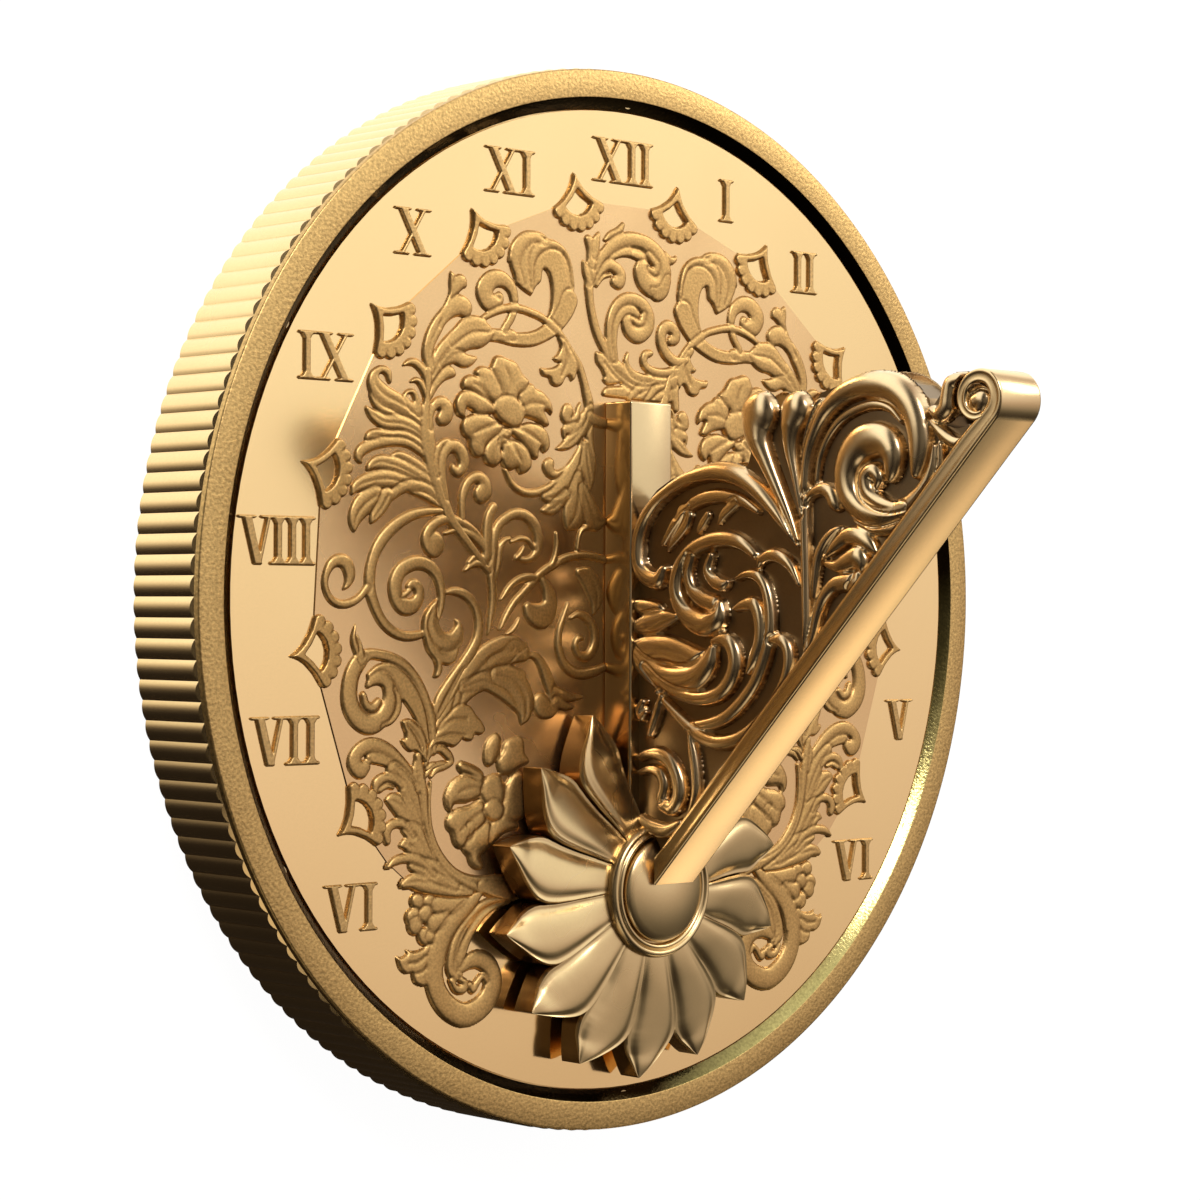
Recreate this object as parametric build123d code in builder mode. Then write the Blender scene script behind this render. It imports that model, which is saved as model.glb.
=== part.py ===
from build123d import *
import math
import os

# Garden sundial, lying flat: a reeded bronze drum, a dial plate with raised hour numerals, a chapter platform with
# scroll and acanthus castings, a scrolled gnomon on the noon line and a flower boss at the gnomon's foot.
# Frame: origin at the centre of the back face, +Z out of the dial, +Y towards the XII. Millimetres.

os.makedirs("parts", exist_ok=True)

# ---------------------------------------------------------------- driving dimensions
reed_count = 176
reed_root_r = 124.85
reed_crest_r = 125.4
reed_bevel = 1.2
drum_top = 21.4          # top of the reeded drum
seat_z = 19.0            # recess floor that the dial plate lies on
seat_r = 120.1
rim_outer_r = 125.0
rim_top = 23.0
rim_bevel = 0.4
rim_wall_top_r = 118.4   # inner wall slopes from here down to the dial
rim_wall_foot_r = 115.8
plate_r = 115.5
field_z = 21.2           # polished dial surface
platform_z = 21.5        # frosted platform surface
relief_top = 22.8        # top of the flat castings
rosette_top = 24.0
numeral_top = 22.05
marker_top = 22.4

hour_centre = (0.0, -68.0)
petal_count = 14
petal_tip_r = 44.6
petal_notch_r = 35.3
petal_tip_z = 29.4
petal_hub_z = 33.0
petal_under_z = 23.1
petal_phase = 267.6
boss_ring_r = 16.0
boss_ring_crest_r = 15.15
boss_ring_bore_r = 12.6
boss_ring_top = 35.0
dome_r = 12.3
dome_edge_z = 35.5
dome_top_z = 38.3

style_angle = 44.0       # the dial's latitude
style_foot_y = -66.4
style_foot_z = 38.5
style_thick = 4.6
gnomon_half = 6.75       # half the full thickness of the gnomon
web_half = 3.75          # half the thickness of its flat core
relief_half = 6.6        # the scrollwork stands out to here
back_bar_z = 30.4
back_bar_y0 = -50.0
back_bar_y1 = 46.5
tip_y = 42.0
tip_z = 133.9
tip_r = 6.7

mount_pcd = 180.0        # three blind M6 holes in the back
mount_hole_r = 2.5
mount_hole_depth = 12.0
gnomon_screw_ys = (-30.0, 0.0, 30.0)
rim_screw_r = 118.0
rim_screw_angles = tuple(30 + 60 * k for k in range(6))


def rad(a):
    return math.radians(a)


def mirror_x(points):
    return [(-x, y) for x, y in points]


# ---------------------------------------------------------------- outlines of the castings (x, y), west side
# each entry is (outer outline, [inner outlines]); the east castings are their mirror images
upper_rosette_outlines = [
    ([(-34.25, 28.75), (-32.75, 28.64), (-31.25, 29.38), (-30.44, 30.5), (-30.28, 32.25), (-28.5, 32.25), (-27.75, 34.54), (-27.5, 34.62),
     (-26.75, 33.7), (-26.25, 33.64), (-24.94, 34.75), (-24.64, 35.5), (-24.69, 36.75), (-25.2, 38.25), (-26.32, 39.75), (-25.25, 39.95),
     (-24.9, 40.5), (-26.27, 43), (-26.2, 43.25), (-25.75, 43.36), (-24.5, 42.65), (-24, 42.7), (-23.94, 44.75), (-24.88, 46.25), (-26.25,
     47.56), (-27, 48.05), (-29.25, 48.7), (-30, 49.55), (-31.12, 49.75), (-32, 50.87), (-33.27, 51.75), (-34.98, 54), (-35.67, 54.5),
     (-40.75, 55.56), (-42.12, 54.75), (-43.5, 52.55), (-45.25, 52.87), (-46.75, 52.55), (-47.85, 51.5), (-48, 50.72), (-49.75, 50.56),
     (-50.87, 50), (-51.55, 49.25), (-51.86, 48.25), (-51.52, 47), (-52.62, 46.25), (-53.81, 44.25), (-53.81, 42.75), (-53, 41.13), (-51.42,
     40.5), (-51.86, 39.25), (-51.81, 37.75), (-51.12, 36.75), (-49.75, 35.75), (-49.3, 33.75), (-48.08, 32.25), (-47.25, 31.89), (-45.25,
     32.11), (-44.25, 30.63), (-42.5, 29.89), (-41.5, 29.94), (-39.75, 31.13), (-38.25, 29.45), (-36.75, 29.21), (-35, 29.78)], [[(-33.25,
     40.43), (-33.05, 41.25), (-32.5, 41.61), (-30.5, 41.3), (-29.3, 40.75)], [(-50.5, 41.45), (-50.61, 42), (-50.25, 42.73), (-49.25,
     42.56), (-48.48, 42), (-49.5, 41.44)]]),
]
lower_rosette_outlines = [
    ([(-46.86, -61.25), (-45.5, -61.36), (-44.69, -61), (-44.69, -60.25), (-45.61, -59), (-45.55, -58.5), (-44.75, -57.63), (-37, -52.82),
     (-34.81, -48.25), (-31.19, -43), (-31.08, -42.25), (-32.17, -40.5), (-33, -39.95), (-35.04, -39.5), (-33.25, -38.44), (-31, -37.79),
     (-30.8, -37.5), (-31, -36.92), (-32.3, -35.5), (-32.61, -34.5), (-32.7, -32.5), (-33.25, -31.95), (-34.75, -31.89), (-37.75, -32.69),
     (-38.3, -33.25), (-38.94, -35), (-40.56, -37), (-40.31, -38.75), (-39.5, -39.81), (-38.5, -40.11), (-35.65, -40), (-36.87, -41.25),
     (-38.25, -43.23), (-39.19, -41), (-40, -40.19), (-41.75, -40.14), (-44.5, -40.85), (-44.94, -39.75), (-45.75, -38.94), (-48.25,
     -37.69), (-51.5, -36.89), (-52.5, -37.43), (-52.55, -38.25), (-51.57, -39.25), (-50.53, -39.75), (-50.75, -40.03), (-53.83, -41), (-55,
     -42.16), (-56.06, -44), (-56.06, -46.25), (-55.56, -47.5), (-55, -48.04), (-54.5, -47.84), (-54, -46.67), (-53.25, -46.19), (-50,
     -46.11), (-46, -44.97), (-45.58, -45.25), (-45.52, -45.75), (-46, -46.06), (-49.25, -47.11), (-52.25, -47.44), (-54.5, -48.4), (-55.31,
     -49.25), (-55.85, -50.75), (-55.27, -52), (-54.19, -53), (-53.25, -55.58), (-52, -56.31), (-51, -56.5), (-50.5, -57.33), (-49.25,
     -58.43), (-48.5, -60.33)], []),
    ([(-43.82, -38), (-42.75, -38.11), (-42.25, -37.87), (-40.92, -36.5), (-39.94, -34.75), (-39.4, -32.75), (-39.7, -31.75), (-40.5,
     -30.95), (-41.25, -30.89), (-42.08, -31.25), (-43.62, -32.75), (-44.06, -33.5), (-44.36, -34.5), (-44.36, -37.25)], []),
]
crest_outlines = [
    ([(0.14, 47.25), (10.5, 47.25), (13.19, 53.75), (14.28, 55.75), (14, 55.9), (12.5, 55.64), (10.25, 55.64), (7.5, 56.44), (7.04, 57),
     (7.19, 57.5), (8.5, 58.19), (9.03, 58.75), (8.81, 59.5), (8.25, 59.86), (7, 59.86), (5.5, 59.31), (4.95, 58.75), (4.69, 58), (4.69,
     56), (5.13, 55.25), (6.34, 54.25), (6.25, 53.95), (3.5, 54.44), (2, 55.13), (0.71, 56.75), (0.86, 58.5), (0.5, 58.94), (0.14, 58.75),
     (-0.56, 57.75), (-1, 56.15), (-1.5, 56.19), (-2.55, 57), (-3.11, 60), (-3.11, 61.5), (-2.81, 63.75), (-2, 65.52), (-1.71, 65.5),
     (-1.06, 63.25), (0.25, 61.94), (1.5, 61.19), (2.5, 60.89), (4.75, 60.94), (6, 61.44), (7.59, 62.5), (8.8, 64), (9.36, 65.75), (9.36,
     67.5), (9.06, 68.5), (7.87, 70.5), (6.5, 71.82), (5, 72.57), (2.75, 73.12), (0.25, 73.11), (-1, 72.81), (-3.5, 71.37), (-5.56, 69),
     (-6.56, 66.75), (-7.11, 64), (-7.15, 62.25), (-7.25, 61.94), (-7.5, 61.98), (-9.06, 64.75), (-10.06, 67.5), (-10.86, 71.5), (-10.75,
     73.23), (-9.5, 73.2), (-7.58, 75.25), (-5.5, 76.03), (-5.24, 76), (-5.31, 74.75), (-4.57, 73.75), (-3, 73.21), (-1.75, 73.45), (-0.88,
     74.25), (-0.44, 75), (-0.21, 76.75), (-0.88, 78.25), (-1.91, 79.25), (-3.52, 80.25), (-3.25, 80.54), (-1.25, 81.11), (1.5, 81.11),
     (2.75, 80.8), (3.13, 80.5), (2.39, 79), (2.39, 77.25), (3.44, 74.75), (4.25, 73.88), (6, 72.67), (8.25, 72.05), (9.25, 71.44), (11.25,
     71.44), (13, 72.38), (14.07, 73.75), (14.86, 76.25), (14.86, 79.25), (14.65, 80.25), (14.77, 80.5), (16, 80.94), (16.5, 81.38), (16.8,
     81.75), (16.87, 82.5), (16.75, 82.98), (16.5, 83.09), (15.5, 82.71), (14.5, 82.95), (13.25, 83.8), (12, 84.15), (10.25, 85.56), (7.75,
     86.81), (3.5, 87.61), (0.75, 87.61), (-0.75, 87.37), (-0.95, 87.5), (-0.64, 89), (-0.93, 89.5), (-1.25, 89.6), (-2, 89.31), (-3.75,
     87.95), (-6.12, 86.75), (-7.25, 85.59), (-7.69, 84.75), (-7.5, 84.46), (-6.9, 84.25), (-6.97, 84), (-8.5, 82.48), (-8.85, 82.75),
     (-8.64, 83.75), (-8.63, 86), (-8.71, 86.5), (-9, 86.7), (-9.58, 86.5), (-11, 85.22), (-12.25, 85.61), (-13.25, 85.37), (-13.85, 84.5),
     (-13.14, 82.25), (-13.15, 79.5), (-13.5, 79.23), (-14, 79.53), (-14.5, 79.32), (-14.62, 77.5), (-13.89, 75), (-13.11, 69.25), (-12.06,
     65), (-10.31, 61), (-8.61, 58.5), (-8.75, 58.2), (-9.5, 58.36), (-10, 58.23), (-10.05, 55.75), (-7.69, 53), (-7.54, 52.5), (-7.79,
     51.75), (-7.5, 51.17), (-6.07, 50.5), (-7.5, 49.58), (-7.92, 48.75), (-7.91, 48.25), (-7.5, 47.89), (-6.25, 47.64), (-0.75, 47.61)],
     []),
    ([(14.35, 56.5), (15, 56.63), (16.37, 58), (16.7, 58.75), (15, 59.88), (14.16, 61), (16, 61.14), (17.25, 61.63), (17.8, 62.25), (18.11,
     64), (17.31, 65.75), (16.25, 66.81), (15, 67.36), (13.25, 67.36), (11.17, 66.25), (10.44, 65.25), (9.89, 63.5), (9.89, 62), (10.19,
     60.75), (11.38, 58.75), (12.92, 57.25)], []),
    ([(16.39, 45.25), (16.75, 45.05), (17.75, 45.75), (17.86, 48), (17.55, 50.25), (16, 51.83), (15.44, 51), (14.59, 47.75)], []),
]
side_leaf_outlines = [
    ([(-45.57, 7.25), (-44.43, 7.25), (-44.14, 7.75), (-44.25, 8.32), (-46.63, 11.25), (-50.62, 15.25), (-51.87, 17), (-50.7, 17.5),
     (-50.31, 22.25), (-49.56, 24), (-48.25, 25.62), (-47.25, 26.02), (-47, 25.79), (-47.81, 24.5), (-47.86, 23.25), (-47.12, 22), (-46,
     21.39), (-44.25, 21.69), (-43.13, 22.5), (-42.44, 23.75), (-42.44, 25.25), (-42.94, 26.75), (-44.5, 28.31), (-46, 28.86), (-47.75,
     28.81), (-50.25, 27.37), (-51.06, 26.5), (-52.06, 24.75), (-52.61, 22.5), (-52.5, 17.92), (-53.12, 18.25), (-54.31, 20), (-55.31,
     22.5), (-56.11, 26.25), (-56.35, 28.75), (-56.06, 30.75), (-55, 32.31), (-54.25, 32.6), (-53.75, 32.37), (-52.95, 31.5), (-52.71,
     30.25), (-53.25, 29.9), (-54, 30.3), (-54.57, 30.25), (-54.86, 29.75), (-54.8, 28.5), (-53.5, 27.43), (-52, 27.14), (-51, 27.63),
     (-49.68, 29.25), (-49.39, 30), (-49.44, 32.25), (-49.94, 33.5), (-50.75, 34.58), (-52.75, 35.81), (-56.25, 36.11), (-59.25, 34.68),
     (-59.97, 40.25), (-59.5, 41.32), (-58.75, 41.91), (-59.12, 40.75), (-59.11, 39.75), (-58.5, 38.88), (-58, 38.64), (-56.5, 38.64),
     (-55.25, 39.19), (-54.43, 40.25), (-53.9, 42), (-54.5, 43.83), (-55.5, 44.81), (-56.75, 45.36), (-58.75, 45.31), (-60.75, 43.97), (-61,
     44.17), (-61.11, 45), (-60.64, 47), (-60.38, 50.5), (-60.69, 51.5), (-61.25, 52.05), (-62.25, 52.05), (-63.06, 51), (-63.12, 47),
     (-62.89, 45), (-63.16, 43.75), (-63.5, 43.54), (-64.5, 45.58), (-65.75, 46.56), (-66.75, 46.61), (-67.75, 46.3), (-69.25, 45.21),
     (-73.14, 47), (-72.5, 47.19), (-71.95, 47.75), (-71.88, 49), (-72.44, 50.5), (-73.25, 51.06), (-75, 51.36), (-76.25, 51.06), (-77.59,
     50.25), (-78.8, 48.75), (-79.12, 47.25), (-78.56, 44.25), (-77.24, 41.75), (-79.25, 42.11), (-79.61, 41.75), (-79.61, 41.25), (-78.87,
     39.75), (-76.36, 37.5), (-78.75, 36.62), (-79.55, 35.75), (-79.95, 34.25), (-81, 33.81), (-82, 32.83), (-82.61, 31.5), (-82.56, 30.5),
     (-82.25, 29.92), (-81.75, 29.45), (-80.5, 29.21), (-80.22, 29.5), (-80.29, 30.25), (-80.02, 30.75), (-78.75, 31.57), (-76.25, 32.56),
     (-72.25, 33.37), (-67.75, 33.31), (-63.01, 31.25), (-62.73, 30.5), (-63, 30.24), (-65.5, 31.56), (-68.5, 32.56), (-69.5, 32.63),
     (-70.75, 32.56), (-72.75, 31.64), (-76, 31.56), (-78.09, 30.5), (-78.81, 29.75), (-79.31, 28.75), (-79.26, 27.5), (-81.83, 26.25),
     (-83.56, 24.25), (-83.71, 22.75), (-83.5, 22.41), (-81.49, 22.75), (-83.06, 21), (-84.06, 18.75), (-84.11, 16.25), (-83.75, 15.18),
     (-82.82, 14.25), (-82.25, 14.21), (-80.5, 16.58), (-78.5, 18.07), (-78.22, 18), (-78.36, 16.75), (-78.07, 16.25), (-77.5, 16.14),
     (-76.75, 16.43), (-74.13, 18.25), (-72, 21.02), (-70, 22.32), (-67.5, 23.29), (-63.25, 22.06), (-58, 20), (-56, 16.88)], [[(-73.75,
     47.2), (-75.37, 48.5), (-75.53, 49), (-75.32, 49.25), (-74.5, 49.3), (-73.88, 48.75), (-73.19, 47.25)]]),
]
upper_scroll_outlines = [
    ([(-60.78, 44.75), (-60.25, 44.89), (-58.62, 47), (-56.83, 48.5), (-53.44, 50), (-53.44, 51), (-54.52, 52.25), (-54.5, 52.54), (-53.75,
     52.61), (-51.75, 51.94), (-50.75, 51.89), (-48.5, 52.69), (-47.25, 53.88), (-46.95, 54.25), (-47.02, 54.75), (-49.5, 55.19), (-50.39,
     55.5), (-50.25, 55.77), (-48.5, 56.36), (-46, 56.69), (-43, 58.36), (-40, 58.36), (-37.25, 57.88), (-31, 57.89), (-26.5, 59.19),
     (-22.75, 60.95), (-21.94, 60), (-21.45, 58.5), (-22.13, 57.25), (-23.77, 55.75), (-23.25, 55.19), (-22.19, 54.75), (-22.23, 54.5),
     (-24.25, 53.64), (-26, 53.38), (-27.5, 53.55), (-27.61, 52.5), (-27.27, 51.75), (-25.25, 51.18), (-24.25, 49.73), (-22.5, 49.14),
     (-20.75, 49.88), (-19.25, 51.8), (-18.5, 51.62), (-18, 50.79), (-17.25, 50.94), (-16, 52.77), (-15.19, 51.25), (-14, 46.93), (-13,
     46.14), (-11.75, 46.48), (-11.39, 47.25), (-11.44, 48.25), (-13.94, 54.5), (-15.13, 56.25), (-20.7, 62.5), (-17.69, 65.75), (-15.89,
     69.5), (-16.19, 70.75), (-17.03, 72), (-16.89, 73.75), (-17.69, 77.5), (-18.43, 79.5), (-19.38, 81), (-20.41, 82), (-22.25, 83.06),
     (-24.5, 83.44), (-28, 84.86), (-30.5, 85.11), (-32.25, 84.81), (-34.5, 83.81), (-35.83, 82.75), (-36.81, 81.5), (-37.56, 79.75),
     (-37.86, 78.25), (-37.86, 77.25), (-37.2, 76.5), (-36.2, 74), (-36.19, 73.25), (-37.25, 74.06), (-39.5, 75.06), (-42.25, 75.11),
     (-43.5, 74.81), (-45.5, 73.56), (-46.81, 72), (-47.61, 70), (-47.31, 68.25), (-46.62, 67), (-44.62, 65.25), (-45, 64.69), (-46.25,
     64.14), (-48.57, 64.25), (-48.77, 64.5), (-48.64, 66.25), (-49.13, 67.25), (-50.75, 68.31), (-52.31, 68.75), (-52.25, 69.02), (-50.2,
     70.5), (-50.14, 71.5), (-50.63, 72.5), (-51.25, 73.05), (-52, 73.29), (-53.5, 72.96), (-55.05, 73.5), (-55.3, 73.25), (-55.61, 71.75),
     (-55.64, 68.75), (-56.18, 67.25), (-57.13, 65.75), (-60.25, 62.59), (-62.06, 59.75), (-62.81, 58), (-63.36, 56), (-63.2, 52.75),
     (-63.5, 52.67), (-64.75, 53.36), (-66.75, 53.36), (-68.08, 52.75), (-69.02, 51.75), (-68.75, 51.4), (-67, 51.62), (-65.75, 51.31),
     (-63.5, 49.67), (-63.31, 51.25), (-62.75, 52.12), (-61.5, 52.37), (-60.75, 52.12), (-60.19, 51.25), (-60.13, 49.75)], [[(-26, 65.68),
     (-29.25, 66.81), (-34.23, 67.75), (-34.96, 71.5), (-34.5, 71.56), (-31, 69.83), (-30.5, 69.9), (-29.12, 72), (-27.69, 73.25), (-27,
     75.99), (-26.18, 76), (-24.94, 74.5), (-24.38, 72.25), (-24.44, 68), (-25.25, 65.89), (-25.5, 65.61)], [(-35.25, 61.2), (-36, 61.8),
     (-36.75, 61.95), (-36.82, 62.25), (-34.5, 65.61), (-29, 64.56), (-27.5, 64.06), (-26.88, 63.5), (-28.5, 62.43), (-30.5, 61.69)],
     [(-42.5, 61.7), (-44, 62.97), (-43.75, 63.42), (-40.5, 64.81), (-38.25, 65.36), (-37.8, 65.25), (-38.19, 64.25), (-40, 61.75)],
     [(-59.5, 55.97), (-59.53, 56.5), (-58.56, 58.25), (-55.75, 62.12), (-53.5, 63.31), (-52.5, 63.47), (-51.83, 63.25), (-52.5, 62.38),
     (-57.25, 58.37)], [(-39, 67.47), (-38.9, 68.25), (-39.38, 69.75), (-40.25, 70.3), (-41.75, 69.88), (-41.93, 70), (-41.58, 70.5),
     (-40.75, 70.86), (-39.5, 70.86), (-37.88, 70), (-37.19, 68.75), (-37.14, 68), (-37.5, 67.64)]]),
    ([(-63.53, 46), (-63.39, 48.5), (-63.75, 48.94), (-65.25, 49.3), (-66.96, 48.25), (-66.75, 47.91), (-65.18, 47.75)], []),
]
inner_scroll_outlines = [
    ([(-40.28, -7.25), (-39.75, -7.35), (-37.5, -5.12), (-34.5, -1.38), (-27.75, 3.83), (-27.43, 3.75), (-26.69, 2), (-26.39, 0.5), (-26.5,
     -0.32), (-27, -0.8), (-28, -1.11), (-29.75, -1.11), (-31.5, -0.7), (-32.55, -1.5), (-32.56, -3.25), (-31.5, -5.12), (-28.75, -6.81),
     (-26.5, -7.11), (-25, -6.57), (-22.94, -4.75), (-22.19, -3), (-21.89, -1.25), (-22.44, 1), (-23.19, 2.5), (-23.75, 3.27), (-25.96, 5),
     (-25.96, 5.25), (-20.25, 8.06), (-17, 8.86), (-15.25, 9.11), (-11.75, 9.12), (-8.75, 8.64), (-7.43, 8.75), (-7.39, 10.25), (-7.75,
     10.62), (-11.5, 11.36), (-14.75, 11.38), (-15.16, 11.75), (-14.81, 14.25), (-13.83, 15.5), (-13, 15.86), (-9.25, 15.94), (-7.75,
     16.69), (-7.39, 17.25), (-7.45, 19.75), (-8.5, 20.92), (-11.46, 25.25), (-9.94, 28.75), (-9.64, 31), (-10.61, 37.75), (-10.6, 40.25),
     (-10.25, 40.53), (-7.75, 40.28), (-7.38, 41), (-7.5, 42.75), (-10.25, 43.76), (-10.44, 45.5), (-11, 46.83), (-12, 45.94), (-13.48,
     45.75), (-13.94, 44.5), (-14.5, 43.92), (-14.82, 44), (-14.64, 45.75), (-15, 46.19), (-15.75, 45.59), (-17, 43.61), (-17.44, 45),
     (-18.25, 45.56), (-19.75, 45.55), (-20.56, 44.75), (-21.06, 43.75), (-21.29, 42.5), (-20.81, 41.25), (-20.29, 40.75), (-20.86, 39.5),
     (-20.47, 37), (-22.71, 35), (-22.68, 34.75), (-21.5, 34.39), (-20.25, 34.39), (-18, 34.94), (-16, 36.02), (-15.72, 35.75), (-17.88,
     32.75), (-19.41, 31.25), (-21.25, 30.19), (-22.98, 30.25), (-23.2, 32), (-24, 32.8), (-25, 32.81), (-26.12, 32.25), (-26.81, 31.25),
     (-26.81, 30), (-26, 28.73), (-24.41, 27.75), (-24.22, 27.5), (-24.5, 27.19), (-26, 26.44), (-29.25, 25.44), (-32, 25.39), (-34.5,
     26.19), (-35.5, 26.88), (-37.5, 29.05), (-39.03, 29.25), (-37.12, 25.75), (-35.75, 24.69), (-34.25, 23.93), (-32.5, 23.39), (-27.51,
     23.5), (-27.25, 23), (-25.72, 22), (-27.29, 20.75), (-27.3, 20.25), (-26.75, 19.7), (-25.25, 19.39), (-23.25, 19.39), (-20.25, 21.07),
     (-20.36, 19), (-19.8, 16.75), (-19.5, 16.38), (-18.25, 15.88), (-17, 15.89), (-15.25, 16.46), (-15.13, 16.25), (-15.81, 14.75), (-16.5,
     11.18), (-21.75, 9.97), (-21.64, 13.5), (-21.94, 15), (-22.5, 15.69), (-22.86, 15.25), (-22.89, 12.75), (-23.19, 11.25), (-24.25,
     8.73), (-27, 7.31), (-29, 5.89), (-32.25, 5.86), (-33.75, 5.56), (-35.5, 4.81), (-37.5, 3.37), (-39.86, 0), (-39.78, -0.5), (-39.5,
     -0.53), (-34.5, 3.06), (-33, 3.61), (-31.97, 3.5), (-37.25, -1.41), (-39.31, -4.5), (-40.3, -6.75)], []),
    ([(-43.78, -8.25), (-43.25, -8.31), (-42.69, -7.25), (-40.94, -2.25), (-40.62, -0.25), (-40.86, 4.25), (-39.44, 8), (-39.11, 10.75),
     (-38.62, 12), (-37.25, 13.15), (-36.5, 12.64), (-34, 13.12), (-32.5, 13.11), (-31.43, 12.75), (-29.97, 11.25), (-30.13, 10.75),
     (-30.93, 10), (-32.85, 10), (-32.39, 11.75), (-32.5, 12.2), (-32.75, 12.27), (-35.29, 10), (-35.54, 9.25), (-35.29, 8.75), (-34.5,
     8.79), (-33, 8.14), (-31, 8.14), (-29.25, 8.7), (-28.13, 9.5), (-27.2, 10.75), (-26.63, 13), (-26.64, 14.75), (-27.19, 16.5), (-27.88,
     17.75), (-29.5, 19.37), (-31.25, 20.31), (-33.25, 20.86), (-34.75, 20.87), (-37.75, 20.06), (-40.34, 18.5), (-42, 16.49), (-42.25,
     16.46), (-41.81, 18.5), (-40.64, 20.75), (-41, 21.62), (-42, 22.04), (-43.25, 21.09), (-44.81, 18.5), (-45.36, 15.75), (-45.37, 10.75),
     (-45.3, 10.25), (-43.89, 8.25), (-43.95, 7.25), (-45, 6.8), (-45.07, 6.5), (-43.95, 5.5), (-43.39, 3), (-43.38, -2.25), (-43.86,
     -5.5)], [[(-40.25, 12.95), (-40.06, 14.25), (-39.37, 15.75), (-37.75, 17.06), (-35.5, 18.11), (-33.5, 18.11), (-31.92, 17.5), (-30.19,
     15.75), (-29.4, 13.5), (-29.5, 13.09), (-29.75, 13.15), (-31.5, 14.31), (-33.5, 14.61), (-36, 13.72), (-36.75, 14.11), (-38.5,
     14.06)]]),
    ([(-13.37, -14.75), (-12.75, -14.86), (-11.5, -14.55), (-10.66, -14), (-9.75, -13.09), (-8.69, -11.25), (-8.38, -9.25), (-8.69, -7),
     (-9.44, -5.5), (-10.66, -4), (-9.67, -3.5), (-8.38, -2.25), (-7.38, 0), (-7.44, 3.25), (-8.69, 5.5), (-10, 6.81), (-11.5, 7.56),
     (-12.75, 7.79), (-15.5, 7.3), (-16.05, 6.75), (-16.11, 6), (-14.19, 3.5), (-11.69, -0.5), (-11.14, -2), (-10.97, -3.75), (-13.75,
     -2.69), (-15.5, -2.64), (-17.25, -3.44), (-18.11, -4.25), (-17.75, -4.85), (-15.5, -4.39), (-13.5, -5.19), (-12.13, -6.5), (-11.44,
     -7.75), (-11.44, -10.5), (-12.25, -11.83), (-13, -12.31), (-13.75, -12.36), (-14.5, -12.06), (-15.11, -11.25), (-15, -10.18), (-13.4,
     -9.5), (-13.4, -9), (-13.75, -8.69), (-15.25, -8.2), (-16.27, -8.75), (-17.06, -10), (-17.11, -11.75), (-16.5, -13.08), (-15.5,
     -14.06), (-14.5, -14.56)], []),
    ([(-15.62, -18.75), (-12, -18.86), (-8.25, -17.81), (-7.45, -17.25), (-7.39, -15.5), (-7.75, -15.16), (-12.5, -16.11), (-14.25, -16.11),
     (-17.25, -15.3), (-19.25, -13.58), (-20.36, -10.75), (-20.37, -8), (-18.39, -1.75), (-18.3, -1), (-18.75, -0.65), (-19.25, -0.92),
     (-20.06, -2.25), (-21.81, -5.75), (-22.61, -8.5), (-22.61, -11.75), (-22.06, -13.75), (-20.87, -15.75), (-18.5, -17.81)], []),
    ([(-50.73, 6), (-50.25, 5.95), (-48, 6.86), (-46.25, 6.95), (-46.18, 7.25), (-48.75, 9.45), (-50.03, 8.25), (-50.15, 7.5), (-50.8,
     6.5)], []),
    ([(-38.02, -8.25), (-37.75, -8.45), (-36.5, -8.31), (-35, -7.52), (-33.69, -5), (-33.75, -4.3), (-34.25, -4.39), (-37.86, -7.75)], []),
]
acanthus_fan_outlines = [
    ([(-60.55, -40.5), (-59.75, -40.31), (-58.25, -39.2), (-55.5, -38.56), (-53.63, -37.5), (-53.39, -37), (-53.44, -35.75), (-54.91,
     -33.5), (-53.25, -33.56), (-51, -31.9), (-49.75, -32.36), (-48.25, -32.3), (-47.25, -30.95), (-45.5, -31.05), (-44.5, -30.33), (-44.38,
     -29.25), (-45, -28.16), (-48.13, -24.75), (-49.45, -24), (-49.52, -23.75), (-47.75, -22.44), (-45.75, -21.44), (-44.25, -21.13), (-43,
     -21.44), (-36.5, -24.94), (-34.38, -26.5), (-33.55, -28.75), (-33, -29.1), (-31.25, -28.37), (-30.25, -27.33), (-29.5, -25.93),
     (-28.08, -27.25), (-27, -27.81), (-24.25, -27.86), (-23.18, -27.5), (-21.25, -25.79), (-19.25, -26.12), (-17, -25.8), (-16.65, -25.5),
     (-16.59, -25), (-17.43, -24.25), (-13.75, -23.29), (-13.55, -22.75), (-14.75, -22.39), (-16.25, -22.31), (-22, -20.02), (-24.44,
     -15.75), (-26.5, -13.38), (-28, -12.44), (-30.25, -12.25), (-31.43, -10), (-32.25, -9.81), (-34.25, -8.69), (-35.75, -8.39), (-37.75,
     -8.85), (-39, -8.39), (-42.75, -9.44), (-46.58, -11.5), (-51.37, -16), (-54.31, -19.75), (-58.06, -25.5), (-60.05, -29), (-60.11,
     -29.75), (-59.8, -30.5), (-61.55, -33.25), (-62.61, -37.25), (-62, -38.75), (-61.5, -38.86), (-60.25, -38.5), (-60.85, -40)],
     [[(-29.25, -22.33), (-29.95, -20.5), (-31.55, -18.25), (-32, -16.67), (-32.75, -16.19), (-35.5, -15.29), (-35.51, -15), (-32, -14.56),
     (-30.75, -13.79), (-28.98, -14.5), (-27.19, -17.5), (-25.54, -21.75), (-27.75, -21.64)], [(-58.25, -37.1), (-59, -36.64), (-60.5,
     -36.63), (-60.7, -36.5), (-60.56, -36), (-59, -34.94), (-57.75, -34.95), (-56.75, -35.63), (-56.08, -36.5)]]),
]
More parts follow.
